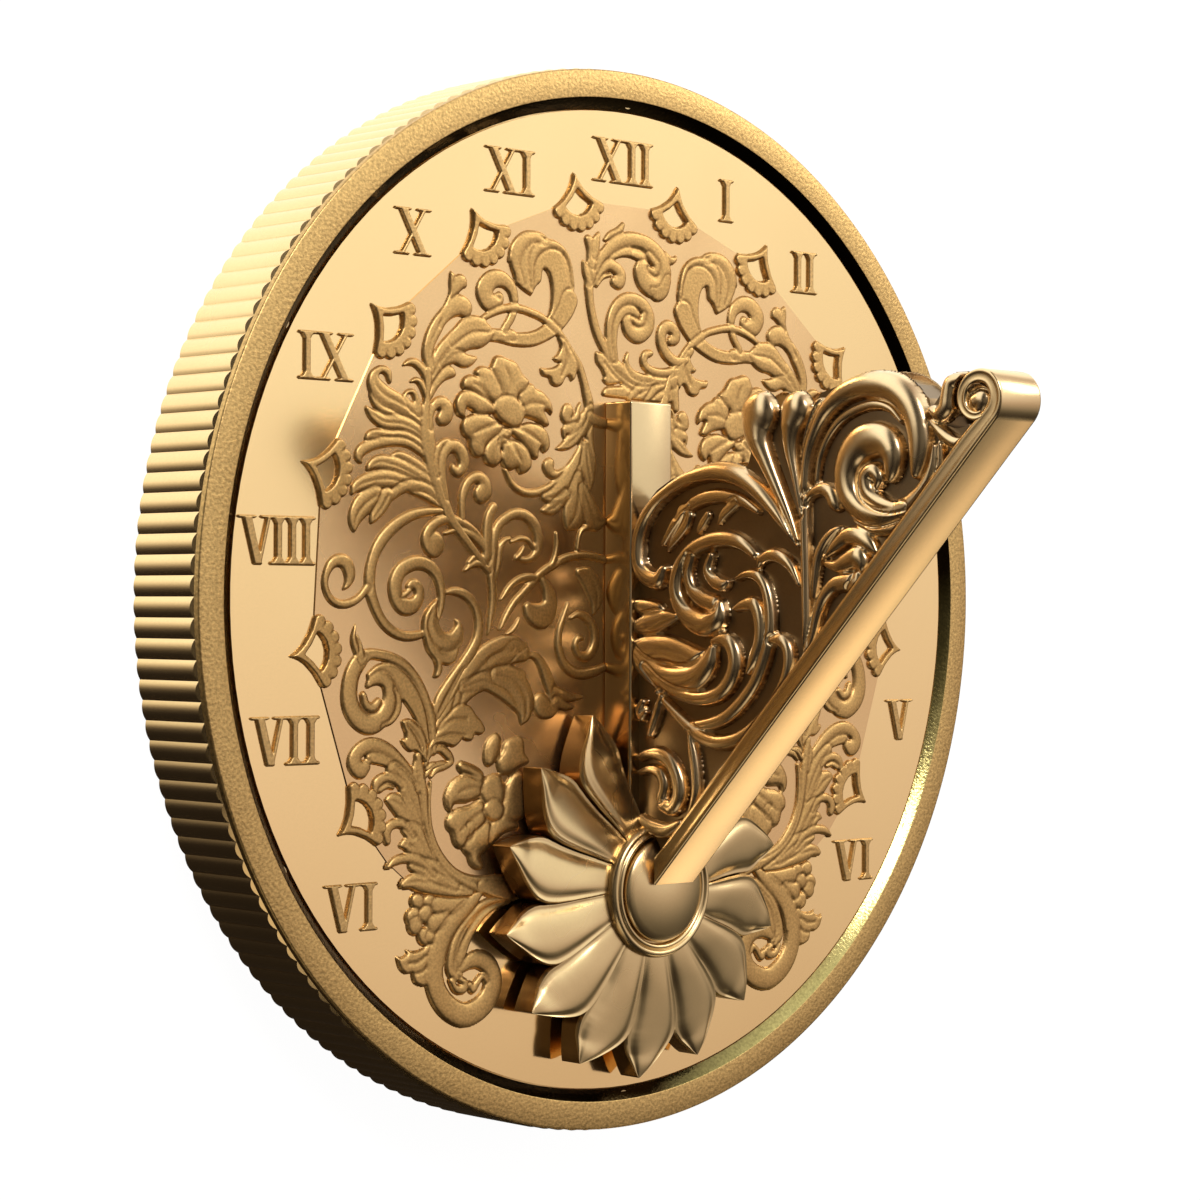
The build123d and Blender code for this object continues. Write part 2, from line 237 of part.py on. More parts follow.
side_scroll_outlines = [
    ([(-63.11, -35.75), (-62.75, -35.94), (-62.46, -35.75), (-61.8, -33), (-60.33, -30.75), (-60.3, -28.75), (-57.56, -24), (-54.5, -19.41),
     (-51.62, -15.75), (-48.25, -12.38), (-45.63, -10.5), (-44.89, -8.25), (-44.89, -5), (-45.19, -3.5), (-46.88, -0.25), (-48.75, 1.31),
     (-51, 2.31), (-53.5, 2.62), (-56, 2.14), (-56.69, 4.5), (-57.69, 6.25), (-59.25, 7.87), (-60.84, 9), (-59.25, 8.9), (-58.25, 9.2),
     (-57, 10.42), (-56.64, 11.25), (-56.64, 12.75), (-56.94, 13.5), (-58.77, 15.25), (-56.5, 16.45), (-56.42, 16.75), (-58.25, 19.75),
     (-60, 20.36), (-63.25, 20.36), (-67, 19.56), (-70.5, 18.06), (-73.75, 15.87), (-76.37, 13.25), (-77.56, 11.5), (-79.31, 7), (-79.61,
     5.5), (-79.7, 2.75), (-81.75, 0.69), (-84.25, -0.36), (-86.75, -0.31), (-88.62, 0.75), (-89.56, 2.5), (-89.61, 3.5), (-89.06, 5),
     (-88.33, 6), (-87, 6.6), (-85.88, 6), (-85.19, 4.5), (-85.14, 3.5), (-85.7, 1.75), (-85, 1.64), (-84, 1.95), (-82.69, 3.25), (-82.14,
     4.5), (-82.14, 6.25), (-82.44, 7.25), (-83.25, 8.52), (-85.25, 9.56), (-87.25, 9.56), (-89.5, 8.37), (-90.06, 7.75), (-91.06, 5.75),
     (-91.61, 3.25), (-91.06, 1), (-90.31, -0.25), (-89.08, -1.5), (-88, -2.06), (-87, -2.36), (-83.75, -2.31), (-80.75, -1.06), (-79.25,
     0.13), (-77.56, -3.25), (-76, -5.59), (-75, -6.62), (-73, -8.06), (-71, -9.06), (-68.75, -9.61), (-65, -9.61), (-62.75, -9.15),
     (-61.81, -11.75), (-59.44, -14.5), (-59.14, -15.75), (-59.78, -17.5), (-59.5, -17.85), (-58.25, -17.8), (-57.63, -17.25), (-56.96,
     -16), (-57, -15.06), (-55, -15.11), (-53.13, -14.25), (-52.69, -13.5), (-52.3, -11.75), (-50.94, -9.75), (-50.64, -8.25), (-50.94,
     -6.5), (-51.44, -5.5), (-53, -4.6), (-53.32, -4.75), (-53.5, -6.32), (-55, -7.56), (-56.25, -7.56), (-57.81, -6.25), (-58.05, -5.25),
     (-56.94, -3.25), (-56, 0.48), (-53.5, 0.61), (-51.5, 0.06), (-50.25, -0.63), (-48.75, -2.16), (-48.2, -3), (-47.39, -6), (-47.69, -8),
     (-48.19, -9.25), (-50.13, -12), (-57.37, -19.75), (-59.06, -22), (-59.75, -23.32), (-60.02, -23.25), (-61.69, -20), (-63.38, -17.5),
     (-65, -15.63), (-67.5, -13.69), (-69.5, -12.69), (-73, -11.64), (-75.75, -11.14), (-79.74, -11), (-80.69, -9), (-81.76, -8), (-81.72,
     -6), (-82, -5.67), (-82.25, -5.77), (-83.31, -8), (-83.36, -10.25), (-82.47, -12.5), (-83.81, -14), (-85.06, -16.25), (-86.11, -20.75),
     (-85.81, -23.75), (-85.31, -25.25), (-84.5, -26.59), (-83.58, -27.75), (-81.5, -29.31), (-79.75, -30.06), (-77.75, -30.36), (-75.5,
     -29.81), (-70.41, -27.25), (-69.69, -26.5), (-68.94, -25), (-68.55, -23.5), (-68.25, -23.43), (-66.88, -24.75), (-65.56, -26.75), (-68,
     -26.89), (-68.96, -27.25), (-68.81, -28.25), (-67.89, -30.5), (-68.01, -31), (-69.11, -31.5), (-69.06, -32), (-68, -33.37), (-66.75,
     -34.3), (-65.25, -34.21)], [[(-67.75, -7.31), (-69.75, -6.81), (-71.25, -6.06), (-73, -4.62), (-74.31, -3), (-75.56, -0.5), (-76.36,
     2), (-76.36, 6), (-76.06, 7.25), (-75.31, 9), (-73.62, 11.5), (-70, 14.81), (-66.5, 16.82), (-63.75, 17.81), (-61, 18.36), (-59.5,
     18.28), (-62.37, 16), (-63.31, 14.25), (-63.6, 13), (-63.31, 11.75), (-61.75, 9.4), (-65.25, 9.61), (-67.5, 9.06), (-69.25, 8.31),
     (-71.5, 6.34), (-72.31, 5), (-72.81, 3.5), (-72.86, 1), (-72.06, -1.25), (-70.5, -3.06), (-69.25, -3.81), (-68, -4.11), (-65.75,
     -3.81), (-64.17, -3), (-62.94, -1.5), (-62.39, 0), (-62.39, 1.75), (-62.94, 3), (-63.67, 3.75), (-64.75, 4.31), (-66, 4.36), (-66.75,
     4.06), (-67.8, 3), (-68, 1.93), (-68.25, 1.72), (-68.75, 1.93), (-68.81, 3), (-68.25, 4.08), (-67.33, 5), (-65.75, 5.81), (-64.5,
     6.11), (-62, 5.81), (-59.88, 4), (-59.19, 2.75), (-58.64, 0.75), (-58.75, 0), (-60.75, -1.38), (-62.31, -3.25), (-63.06, -5), (-63.25,
     -6.98), (-64.75, -7.36)], [(-77.75, -22.8), (-79.5, -20.45), (-80, -20.45), (-81, -21.18), (-81.11, -19.5), (-80.56, -17.5), (-79.5,
     -15.66), (-78, -13.94), (-77, -13.64), (-74.75, -13.98), (-74.57, -14.25), (-77, -15.19), (-78.62, -16.5), (-79.12, -19.25), (-79,
     -19.82), (-78.5, -20.1), (-76.5, -19.39), (-75.5, -19.39), (-74.75, -19.69), (-74.14, -21), (-74.45, -22.25), (-75.75, -21.89), (-77,
     -22.8)]]),
    ([(-46.03, 11.25), (-45.75, 11.3), (-45.63, 11.75), (-45.75, 14.75), (-48, 16.56), (-49.75, 17.56), (-50.25, 17.61), (-51.08, 16.5),
     (-50.25, 15.38)], []),
    ([(-56.74, 14.25), (-55.5, 14.14), (-54.5, 14.45), (-54.43, 14.75), (-55.5, 15.54), (-56.74, 15)], []),
]
lower_leaf_outlines = [
    ([(-40.62, -68.5), (-40.25, -68.59), (-39.89, -68.25), (-39.77, -63), (-46.25, -62.86), (-50.5, -61.81), (-52.5, -60.81), (-54.75,
     -59.12), (-56.81, -56.75), (-59.06, -52.75), (-59.86, -50), (-60.12, -48), (-59.89, -41.25), (-60.5, -40.89), (-61.25, -41.48), (-61.5,
     -41.3), (-61.61, -40.75), (-61.2, -40), (-61.15, -39.25), (-62.25, -39), (-62.81, -38), (-62.85, -36.5), (-64, -35.38), (-64.75,
     -34.91), (-65.13, -35), (-65.7, -37.25), (-66, -37.32), (-66.92, -36.25), (-71, -32.69), (-74, -31.19), (-76.25, -30.64), (-78.5,
     -30.64), (-79.75, -30.94), (-82, -32.19), (-83.37, -33.5), (-84.06, -34.75), (-84.31, -36.5), (-83.5, -38.33), (-82, -39.55), (-80.75,
     -39.87), (-79.25, -39.56), (-78.19, -38.5), (-77.7, -37.75), (-77.5, -36.77), (-77.25, -36.65), (-73.5, -37.52), (-73.5, -38.25), (-76,
     -39.19), (-77.06, -40.25), (-77.36, -41), (-77.37, -42.5), (-77, -43.31), (-76.25, -43.54), (-73, -42.39), (-71.25, -42.63), (-70.5,
     -42.12), (-69.73, -42.75), (-70, -43.1), (-72.25, -43.19), (-73.31, -44), (-73.6, -44.75), (-73.31, -45.5), (-70.73, -48.5), (-71,
     -48.85), (-72.5, -49.2), (-73.62, -50), (-74.31, -51), (-74.61, -52.25), (-73.81, -54.25), (-73, -54.86), (-72.43, -54.75), (-71.7,
     -54), (-71.81, -52.25), (-71.5, -51.67), (-70.75, -51.19), (-69.26, -51.25), (-68.15, -52.75), (-68.15, -53.25), (-69, -53.92),
     (-69.59, -55), (-68.17, -56), (-67.93, -56.5), (-71, -57.2), (-72.25, -58.13), (-73.28, -59.5), (-73.25, -59.79), (-72.75, -60.04),
     (-69.5, -59.14), (-67.25, -59.26), (-66.08, -61.25), (-68.75, -62.88), (-69.11, -63.5), (-69, -64.25), (-68.25, -64.61), (-66.25,
     -64.69), (-62.25, -66.06), (-56.75, -67.11), (-52.75, -67.61), (-48.75, -67.62), (-47.75, -67.31), (-47, -66.72), (-45.75, -67.31),
     (-44.25, -67.33)], []),
]
foot_scroll_outlines = [
    ([(-50.88, -97), (-48.75, -97.12), (-47.25, -96.86), (-43.75, -95.56), (-42, -94.37), (-40.63, -93), (-39.19, -90.5), (-38.64, -88.75),
     (-38.64, -85.75), (-39.18, -84.25), (-40.38, -82.25), (-42.25, -80.69), (-44, -79.94), (-46.25, -79.63), (-48.75, -80.29), (-49.1,
     -80), (-48.06, -77.75), (-46.12, -75), (-43.59, -72.5), (-40.18, -70.75), (-39.89, -70.25), (-39.89, -69.25), (-40.25, -68.89), (-43,
     -68.14), (-45, -68.62), (-45.26, -68.5), (-45.05, -67.75), (-46.75, -67.21), (-48.25, -67.86), (-53, -67.86), (-62, -66.47), (-64.75,
     -65.7), (-65.5, -66.13), (-66.06, -67), (-65.91, -68.75), (-67.3, -70.25), (-67.36, -71.75), (-66.37, -74.5), (-65.5, -75.06), (-64,
     -75.4), (-63.56, -76.75), (-62.83, -77.5), (-62.19, -77.75), (-62.23, -78), (-64, -78.61), (-65.5, -78.61), (-67, -78.22), (-67.02,
     -79), (-68, -79.56), (-69.75, -79.42), (-69.86, -80.25), (-69.56, -81.25), (-69, -82.33), (-68.25, -83.06), (-67.25, -83.56), (-65.52,
     -83.75), (-65.31, -84.75), (-64.5, -86.06), (-63.25, -86.56), (-61.5, -86.8), (-61.06, -88.25), (-59.81, -90.75), (-57.5, -93.62),
     (-54.25, -95.82), (-52.75, -96.56)], [[(-50, -91.31), (-52.25, -90.31), (-54.25, -88.57), (-55.81, -85.5), (-55.75, -83.57), (-54.7,
     -85.5), (-54.67, -86.5), (-53.83, -88.25), (-52.5, -89.32), (-50.5, -89.61), (-49, -88.81), (-48.25, -89.56), (-47.25, -89.81),
     (-46.38, -89.25), (-44.75, -87.12), (-44.25, -87.43), (-44.2, -88), (-44.69, -89), (-45.5, -89.81), (-48, -91.06)], [(-47.5, -86.89),
     (-48.75, -86.51), (-50.23, -85.5), (-50.25, -84.94), (-48.5, -84.14), (-46.25, -84.14), (-45.5, -84.44), (-45.12, -85)]]),
]
scroll_outlines = [
    ([(60.95, -12), (61.33, -12), (64.31, -8.75), (65.69, -4.25), (68, -0.13), (69, 0.81), (70.75, 1.81), (73, 2.12), (74.5, 1.66), (76.25,
     3.38), (79.31, 7), (79.54, 8), (79.05, 9.75), (78.5, 10.56), (79, 10.61), (82, 9.78), (82.5, 10), (82.55, 10.5), (82.06, 11.5), (80.37,
     14), (84.25, 13.78), (86, 13.89), (86.5, 14.13), (99, 26.88), (100.5, 28.67), (100.86, 29.5), (100.63, 31.5), (100.75, 33.08), (103.5,
     31.9), (104, 32.13), (105.82, 34), (105.75, 34.3), (103.5, 34.7), (99.92, 37), (99.62, 37.5), (102, 38.44), (103.25, 39.68), (103.39,
     42.5), (103.94, 44.25), (104.75, 45.59), (106.11, 47), (106.23, 47.5), (105.75, 47.79), (103.25, 47.61), (102, 47.06), (101.25, 46.33),
     (100.69, 45.25), (100.06, 42), (99.62, 41.25), (99, 40.89), (97.5, 41.29), (96.75, 41), (96.7, 40), (97.52, 39), (96.95, 38.25),
     (96.94, 37.25), (99.1, 34.75), (99.07, 33.25), (98, 32.99), (96.81, 28.75), (94.62, 25.25), (92.34, 23.25), (90, 21.94), (87.25,
     21.15), (85.25, 21.69), (82.67, 23), (82.32, 23.5), (83.81, 25), (84.11, 25.75), (84.11, 27), (82.87, 28.75), (81.5, 29.56), (80.5,
     29.61), (79.5, 29.31), (77.69, 27.75), (77.13, 26.25), (77.55, 23.25), (76.95, 23.75), (76.19, 25.5), (76.19, 27.5), (77.38, 29.75),
     (78.25, 30.56), (79.75, 31.31), (81.5, 31.61), (83.25, 31.3), (84.5, 30.07), (84.94, 27), (85.68, 25.25), (86.5, 25.2), (87.62, 26.25),
     (88.81, 28.75), (89.11, 30), (89.11, 31.75), (88.31, 34), (86.09, 36.5), (84, 37.56), (81.25, 38.11), (80, 38.11), (76.75, 37.32),
     (75.17, 36.5), (73.13, 34.75), (71.93, 33), (70.69, 30), (70.39, 28.5), (70.39, 26.25), (71.19, 23.25), (71.94, 21.75), (72.75, 20.63),
     (75.33, 18.25), (75.25, 17), (76.56, 15.75), (74.25, 15.86), (73, 15.58), (72, 16.11), (69.75, 16.06), (67.41, 14.75), (65.44, 12.75),
     (63.94, 10), (63.39, 8.25), (63.1, 6), (63.07, 1.25), (63.51, 0), (64.52, 0), (63.27, -3.75), (63, -3.93), (62.93, 1.25), (62.65, 2),
     (62.62, 8.75), (62.39, 9.75), (62.36, 14.25), (62.13, 15.25), (62.2, 21.25), (63.17, 22.25), (64.25, 22.81), (66, 22.86), (67.37, 22),
     (68.25, 20.42), (69, 19.69), (69.75, 19.39), (71, 19.39), (71.61, 20), (71.07, 22), (69.5, 24.37), (68.5, 25.05), (66.75, 25.61),
     (65.25, 25.64), (64.9, 26), (65.69, 30.5), (67.19, 33.75), (68.63, 35.75), (71.75, 38.56), (73.5, 39.56), (77.5, 40.86), (78.75,
     41.11), (82.75, 41.11), (84, 40.81), (85.5, 40.06), (88.25, 37.82), (88.75, 37.72), (89.11, 38.25), (88.87, 39), (86.34, 41.5), (85,
     42.31), (82.5, 43.11), (78.5, 43.11), (76, 42.56), (72, 41.05), (69.5, 39.37), (67.5, 37.37), (65.19, 34), (63.89, 30.5), (63.36,
     25.25), (62.75, 24.6), (62.43, 24.75), (62.38, 25.25), (62.64, 28.5), (63.19, 31.25), (64.18, 34), (65.94, 37.25), (67.75, 39.62),
     (69.75, 41.31), (73, 43.06), (77.25, 44.12), (81.5, 44.11), (84.25, 43.56), (87.34, 42), (89.37, 40), (90.06, 39), (91.31, 36.25),
     (91.86, 33.5), (91.94, 27), (92.75, 25.95), (94, 25.95), (94.55, 26.5), (95.56, 28.75), (96.61, 32.75), (96.61, 36), (96.06, 38.5),
     (95.32, 40.5), (93.62, 43.5), (91.09, 46), (88, 47.81), (86.75, 48.31), (84, 48.86), (78, 48.86), (73, 47.56), (70, 46.06), (67.25,
     43.95), (65.75, 44.29), (64.92, 44), (63.19, 41.75), (61.94, 39.25), (60.94, 36.5), (60.39, 34), (60.11, 28.25), (59.75, 27.07),
     (59.41, 27.5), (58.64, 31), (58.39, 34), (59.19, 37.5), (61.31, 41.25), (61.31, 43.25), (60, 44.87), (59, 45.36), (57, 45.31), (55.5,
     44.33), (54.94, 43.25), (54.39, 39.75), (54.64, 36), (55.44, 32.5), (57.81, 25.5), (59.81, 18.5), (59.75, 14.11), (59.48, 14.25),
     (57.07, 20), (50.69, 32.5), (49.44, 35.75), (49.44, 38), (50.86, 41.25), (50.56, 43.25), (48.83, 45.25), (47, 45.86), (46, 45.81),
     (44.75, 45.32), (43.19, 44), (42.64, 42.75), (42.69, 38.75), (44.69, 34.25), (52.56, 22.75), (53.75, 20.62), (48.09, 25.75), (43,
     28.81), (39.75, 30.06), (37.5, 30.61), (36, 30.86), (31.75, 30.87), (25.25, 29.56), (20.5, 27.82), (14, 24.31), (12.75, 23.37), (9.5,
     20.09), (7.89, 17.25), (7.89, 6), (9.67, 4), (12.5, 2.69), (14.25, 2.46), (16.08, 3), (17.32, 4.5), (18.11, 7), (17.75, 7.77), (17,
     8.1), (16.17, 7.75), (14.75, 6.45), (13.25, 6.39), (11.5, 7.19), (10.44, 8.25), (9.89, 10), (9.89, 13.25), (10.95, 16.5), (12.19,
     18.5), (13.63, 20.25), (15.41, 21.75), (17, 22.81), (21, 24.82), (25.25, 26.31), (29.75, 27.12), (35, 27.11), (39.75, 26.06), (43.75,
     24.31), (46.59, 22.5), (53, 17.12), (58.5, 11.88), (59.25, 11.46), (60, 11.45), (60.36, 7.75), (60.37, 4.25), (60.25, 3.57), (60, 3.7),
     (58.56, 6.75), (56.83, 9), (55, 10.31), (53.25, 11.06), (50.25, 11.36), (47.5, 10.29), (43.75, 13.31), (40.75, 14.81), (36.25, 15.62),
     (34.25, 15.61), (31, 15.06), (27.75, 14.06), (24.75, 12.56), (22.25, 10.62), (20.44, 8.25), (19.44, 6.25), (18.88, 2.5), (19.44,
     -0.25), (20.93, -3), (20, -3.11), (17, -2.61), (15.75, -1.44), (13.5, -0.64), (10.75, -0.14), (8.25, -0.14), (7.89, -0.5), (7.95,
     -2.75), (8.5, -3.31), (9.51, -3.75), (9.57, -4), (7.89, -5), (8.02, -7.75), (11.25, -8.13), (14.25, -7.56), (20.5, -5.06), (21.75,
     -4.08), (25.25, -6.81), (28.5, -8.11), (30.25, -8.37), (31.75, -8.11), (34.75, -6.81), (36, -5.58), (36.61, -4.25), (36.61, -2.75),
     (36, -0.68), (35.5, -0.2), (34.25, -0.03), (33.5, 0.55), (30, 1.44), (27.42, 2.75), (26.19, 4.75), (25.89, 6.5), (26.95, 9.75), (28.75,
     10.81), (33.75, 12.11), (37.75, 12.11), (41.75, 11.06), (45.25, 9.31), (46.3, 8.5), (46.39, 7.25), (46.75, 6.83), (47.5, 7.13), (48.25,
     8.06), (49.75, 8.61), (51.25, 8.61), (53.25, 8.06), (55.75, 6.62), (58.93, 2.75), (59.5, 2.64), (60.25, 2.95), (60.39, -1), (60.62,
     -2), (60.64, -9.75)], [[(64.75, 0.4), (64.64, 1.5), (65.64, 7.25), (66.75, 10.03), (67, 10.13), (67.5, 9.45), (68.25, 9.39), (73.5,
     12.06), (74.75, 12.11), (76.03, 11.75), (76.17, 11.5), (74.5, 11.06), (70.25, 8.69), (67.25, 8.55), (66.89, 7.75), (67.25, 7.19),
     (69.75, 6.14), (71.75, 6.13), (75.75, 7.11), (76.31, 7), (76.45, 6.5), (75, 5.69), (71, 5.36), (68.75, 4.56), (66.25, 2.37)], [(28.5,
     -3.06), (25.42, -1.75), (23.63, 0), (22.95, 1), (22.64, 2), (22.63, 4.5), (23, 5.55), (23.31, 5.5), (23.69, 3.25), (24.43, 1.75),
     (25.75, 0.13), (29.25, -1.81), (31.45, -2.5), (30.5, -3.11)]]),
    ([(25.2, -48.75), (25.75, -48.62), (28.06, -46.25), (28.86, -43.5), (28.36, -38), (27, -32.68), (27.25, -32.48), (30.25, -33.56), (33,
     -34.12), (36.75, -34.11), (39.5, -33.56), (40.75, -33.06), (57.55, -15.75), (57.86, -12.75), (57.07, -10), (56.25, -8.88), (55, -7.95),
     (54, -7.64), (51.81, -7.75), (51.86, -3), (51.31, 0), (50.56, 2.25), (49.12, 4.75), (48.08, 5.75), (46.5, 6.66), (44, 6.87), (42.25,
     6.56), (39.75, 5.31), (39.4, 4.75), (40, 4.14), (42, 4.61), (44.25, 4.62), (46.08, 4), (47.5, 2.58), (48.06, 1.5), (49.11, -3), (49.09,
     -6.25), (48.75, -6.68), (48.63, -4.5), (48.06, -2.5), (47.12, -0.75), (45.75, 0.3), (44.5, 0.61), (42.75, 0.31), (40.75, -0.44),
     (38.72, -2), (38.89, -2.5), (39.25, -2.71), (41.5, -2.39), (44.25, -2.45), (45.07, -3.5), (45.61, -5.25), (45.87, -7.5), (45.56,
     -9.25), (42.89, -16.25), (43.18, -17), (43.75, -17.11), (45.25, -15.66), (45.5, -15.49), (45.62, -15.75), (44, -18.59), (41.25,
     -21.62), (37.5, -24.56), (34.75, -26.06), (32.5, -26.81), (28.5, -27.61), (25.5, -27.87), (23.75, -27.06), (15.25, -21.17), (14.5,
     -20.87), (13.96, -21.25), (13.95, -21.75), (14.79, -23), (12.44, -28.25), (11.46, -31.75), (12.25, -32.22), (13.06, -31.75), (15.56,
     -26.75), (16.21, -24.75), (16.5, -24.56), (24.5, -30.75), (26.11, -39.75), (26.35, -42.5), (26.11, -44.75), (25.19, -48)], [[(33.25,
     -31.06), (29.75, -30.27), (29.61, -30), (32.5, -29.61), (36.25, -28.56), (38.75, -27.31), (42.09, -25), (45.62, -21.5), (47.81, -18.5),
     (49.81, -14.5), (51.25, -10.2), (52.75, -10.19), (54.37, -11.25), (54.86, -12.25), (54.87, -14.25), (54.31, -16.5), (53.06, -19),
     (51.5, -21.35), (50.48, -22.75), (47.75, -25.5), (43.25, -28.56), (40.25, -30.06), (35.5, -31.11)]]),
    ([(28.13, -24.25), (31.25, -24.11), (34.5, -23.31), (37.34, -21.75), (39.5, -19.59), (40.81, -17.25), (41.38, -14.75), (41.31, -12.25),
     (40.8, -10.75), (39.5, -8.94), (37.25, -7.69), (34.75, -7.69), (32.25, -9), (32, -10.07), (30.75, -11.75), (30.25, -11.87), (28.25,
     -11.81), (20.75, -9.44), (18.25, -8.89), (14, -8.64), (13.25, -8.86), (10.5, -8.89), (8, -9.51), (7.89, -16), (8.38, -16.75), (9.66,
     -17.75), (14.25, -20.32), (16.25, -20.94), (19.75, -22.56), (23.25, -23.61), (25.75, -24.11)], [[(26.75, -21.06), (26.58, -21), (26.72,
     -20.75), (29.83, -19.25), (32.31, -16.75), (33.56, -14.25), (34.02, -10.5), (35.25, -10.44), (37.12, -11.5), (37.81, -13), (37.86,
     -14.75), (36.81, -17.25), (35.5, -18.87), (33.5, -20.07), (31.5, -20.81), (29.75, -21.11)], [(18, -15.81), (14.96, -15), (14.82,
     -14.75), (16, -14.38), (19, -14.64), (21.25, -15.2), (22.18, -15.75)]]),
    ([(17.2, 11), (17.75, 10.95), (20.84, 13.25), (23.87, 16), (25.06, 18), (25.44, 20.25), (28.75, 21.56), (31.5, 22.11), (36.53, 22),
     (36.62, 21.75), (35, 20.37), (34.2, 19.25), (33.64, 17.5), (34, 16.91), (40.25, 21.28), (42.75, 20.56), (46, 19.14), (46.82, 19.25),
     (47.05, 20), (43, 22.81), (38.75, 24.36), (36.25, 24.86), (32.5, 25.12), (27.75, 24.31), (25.75, 23.56), (23.25, 22.19), (21.5, 21.8),
     (21, 21.33), (20.06, 19.5), (17.5, 16.34), (15.7, 13.5), (15.7, 12.75), (16.25, 12.39), (17, 12.49), (18.75, 14.6), (22.13, 17.75),
     (17.5, 12.09), (17.06, 11.25)], []),
    ([(18.13, -49.75), (20, -49.86), (21.25, -49.31), (22.75, -47.83), (23.56, -46.25), (23.86, -45), (23.86, -43.25), (23.06, -40.5),
     (21.75, -38.16), (19, -35.69), (15.25, -34.39), (13.75, -34.39), (11, -34.94), (8.5, -36.19), (8.03, -37), (8.5, -37.79), (11.25,
     -37.14), (14.5, -37.39), (17.25, -38.44), (18.75, -39.92), (19.81, -42), (20.12, -43.25), (20.06, -45.25), (19.62, -46), (19, -46.36),
     (18, -46.3), (17.61, -46), (18.36, -43.75), (18.31, -42.5), (17.56, -40.75), (16, -39.19), (14.25, -38.64), (11.75, -38.64), (8.75,
     -39.7), (8.15, -40.5), (8.43, -41), (9, -41.12), (12, -40.64), (13.5, -40.94), (14.75, -41.63), (15.36, -42.75), (15.36, -43.75),
     (14.63, -46), (15.19, -48), (16, -49.05)], []),
    ([(15.12, -55.25), (17.5, -55.36), (19.25, -54.82), (20.87, -53.75), (22.85, -51.75), (22.91, -51.25), (22, -50.71), (18, -52.11),
     (15.5, -52.11), (12.75, -51.56), (9.75, -50.38), (8.75, -50.44), (8.33, -51), (8.44, -51.75), (10.41, -53.5), (12.25, -54.56)], []),
    ([(34.63, 2), (35.75, 1.89), (37, 2.44), (37.81, 3.5), (37.91, 4.25), (37.5, 4.61), (35, 4.94), (33.5, 5.69), (32.38, 6.75), (32.19,
     7.5), (33.1, 10), (32.5, 10.8), (31.75, 10.8), (30.18, 8.5), (29.69, 7.25), (29.69, 6.5), (30.44, 4.75), (32, 3.13), (33.75, 2.19)],
     []),
    ([(8.68, -28.5), (9.5, -28.61), (10.25, -28.27), (11.31, -26.75), (11.25, -26), (10.75, -25.71), (10, -25.91), (9.9, -25.75), (10.61,
     -24.25), (10.55, -23.5), (10.25, -23.2), (9.25, -23.2), (7.95, -24.75), (7.89, -27.5)], []),
    ([(27.02, 15), (27.82, 15), (30.12, 17.25), (31.3, 18.75), (31.36, 19.5), (31.07, 20), (30, 20.05), (28.13, 18.25), (26.94, 16)], []),
]

# half-hour markers: centre and the direction that each one points in, west side
marker_seats = [((-15.9, 92.4), 99.8), ((-45.0, 81.9), 118.8), ((-72.1, 60.0), 140.2), ((-89.8, 27.2), 163.2),
                ((-92.5, -11.8), 187.3), ((-80.1, -48.1), 211.0)]


def marker_point(seat, u, v, east=False):
    (cx, cy), a = seat
    x = cx + u * math.cos(rad(a)) - v * math.sin(rad(a))
    y = cy + u * math.sin(rad(a)) + v * math.cos(rad(a))
    return (-x, y) if east else (x, y)


scallop = []
for k in range(7):
    a0, a1 = 110 + 20 * k, 130 + 20 * k
    p0 = (2.4 + 8.4 * math.cos(rad(a0)), 8.4 * math.sin(rad(a0)))
    scallop.append(p0)
    am = (a0 + a1) / 2
    scallop.append((2.4 + 8.9 * math.cos(rad(am)), 8.9 * math.sin(rad(am))))
scallop.append((2.4 + 8.4 * math.cos(rad(250)), 8.4 * math.sin(rad(250))))
marker_outline = ([(7.6, 0), (4.9, 1.2), (2.56, 3.3), (0.54, 6.2)] + scallop
                  + [(0.54, -6.2), (2.56, -3.3), (4.9, -1.2)])
marker_hole = [(3.0, 0), (-0.5, 3.5), (-2.0, 1.8), (-2.4, 0), (-2.0, -1.8), (-0.5, -3.5)]

platform_west = []
for seat in marker_seats:
    for u, v in ((-0.35, -7.9), (-3.6, -4.0), (-4.6, 0), (-3.6, 4.0), (-0.35, 7.9)):
        platform_west.append(marker_point(seat, u, v))
platform_west += [(-72.5, -58.5), (-68, -62), (-64, -65), (-50, -66.2), (-30, -63), (-20, -58)]
platform_outline = platform_west + mirror_x(platform_west)[::-1]

# numerals: cell heights 10.5, letters drawn from their lower left corner
letter_h = 10.5


def letter_i(x, y):
    w, s, b = 4.6, 0.8, 0.6
    c = x + w / 2
    return [[(x, y), (x + w, y), (x + w, y + b), (c + s + 0.5, y + b + 0.2), (c + s, y + b + 0.9),
             (c + s, y + letter_h - b - 0.9), (c + s + 0.5, y + letter_h - b - 0.2), (x + w, y + letter_h - b),
             (x + w, y + letter_h), (x, y + letter_h), (x, y + letter_h - b), (c - s - 0.5, y + letter_h - b - 0.2),
             (c - s, y + letter_h - b - 0.9), (c - s, y + b + 0.9), (c - s - 0.5, y + b + 0.2), (x, y + b)]]


def bar_between(p, q, w):
    # parallelogram with horizontal ends, w wide along x
    return [(p[0] - w / 2, p[1]), (p[0] + w / 2, p[1]), (q[0] + w / 2, q[1]), (q[0] - w / 2, q[1])]


def serif(xc, y, w, up):
    b = 0.6 if up else -0.6
    return [(xc - w / 2, y), (xc + w / 2, y), (xc + w / 2, y + b), (xc - w / 2, y + b)]


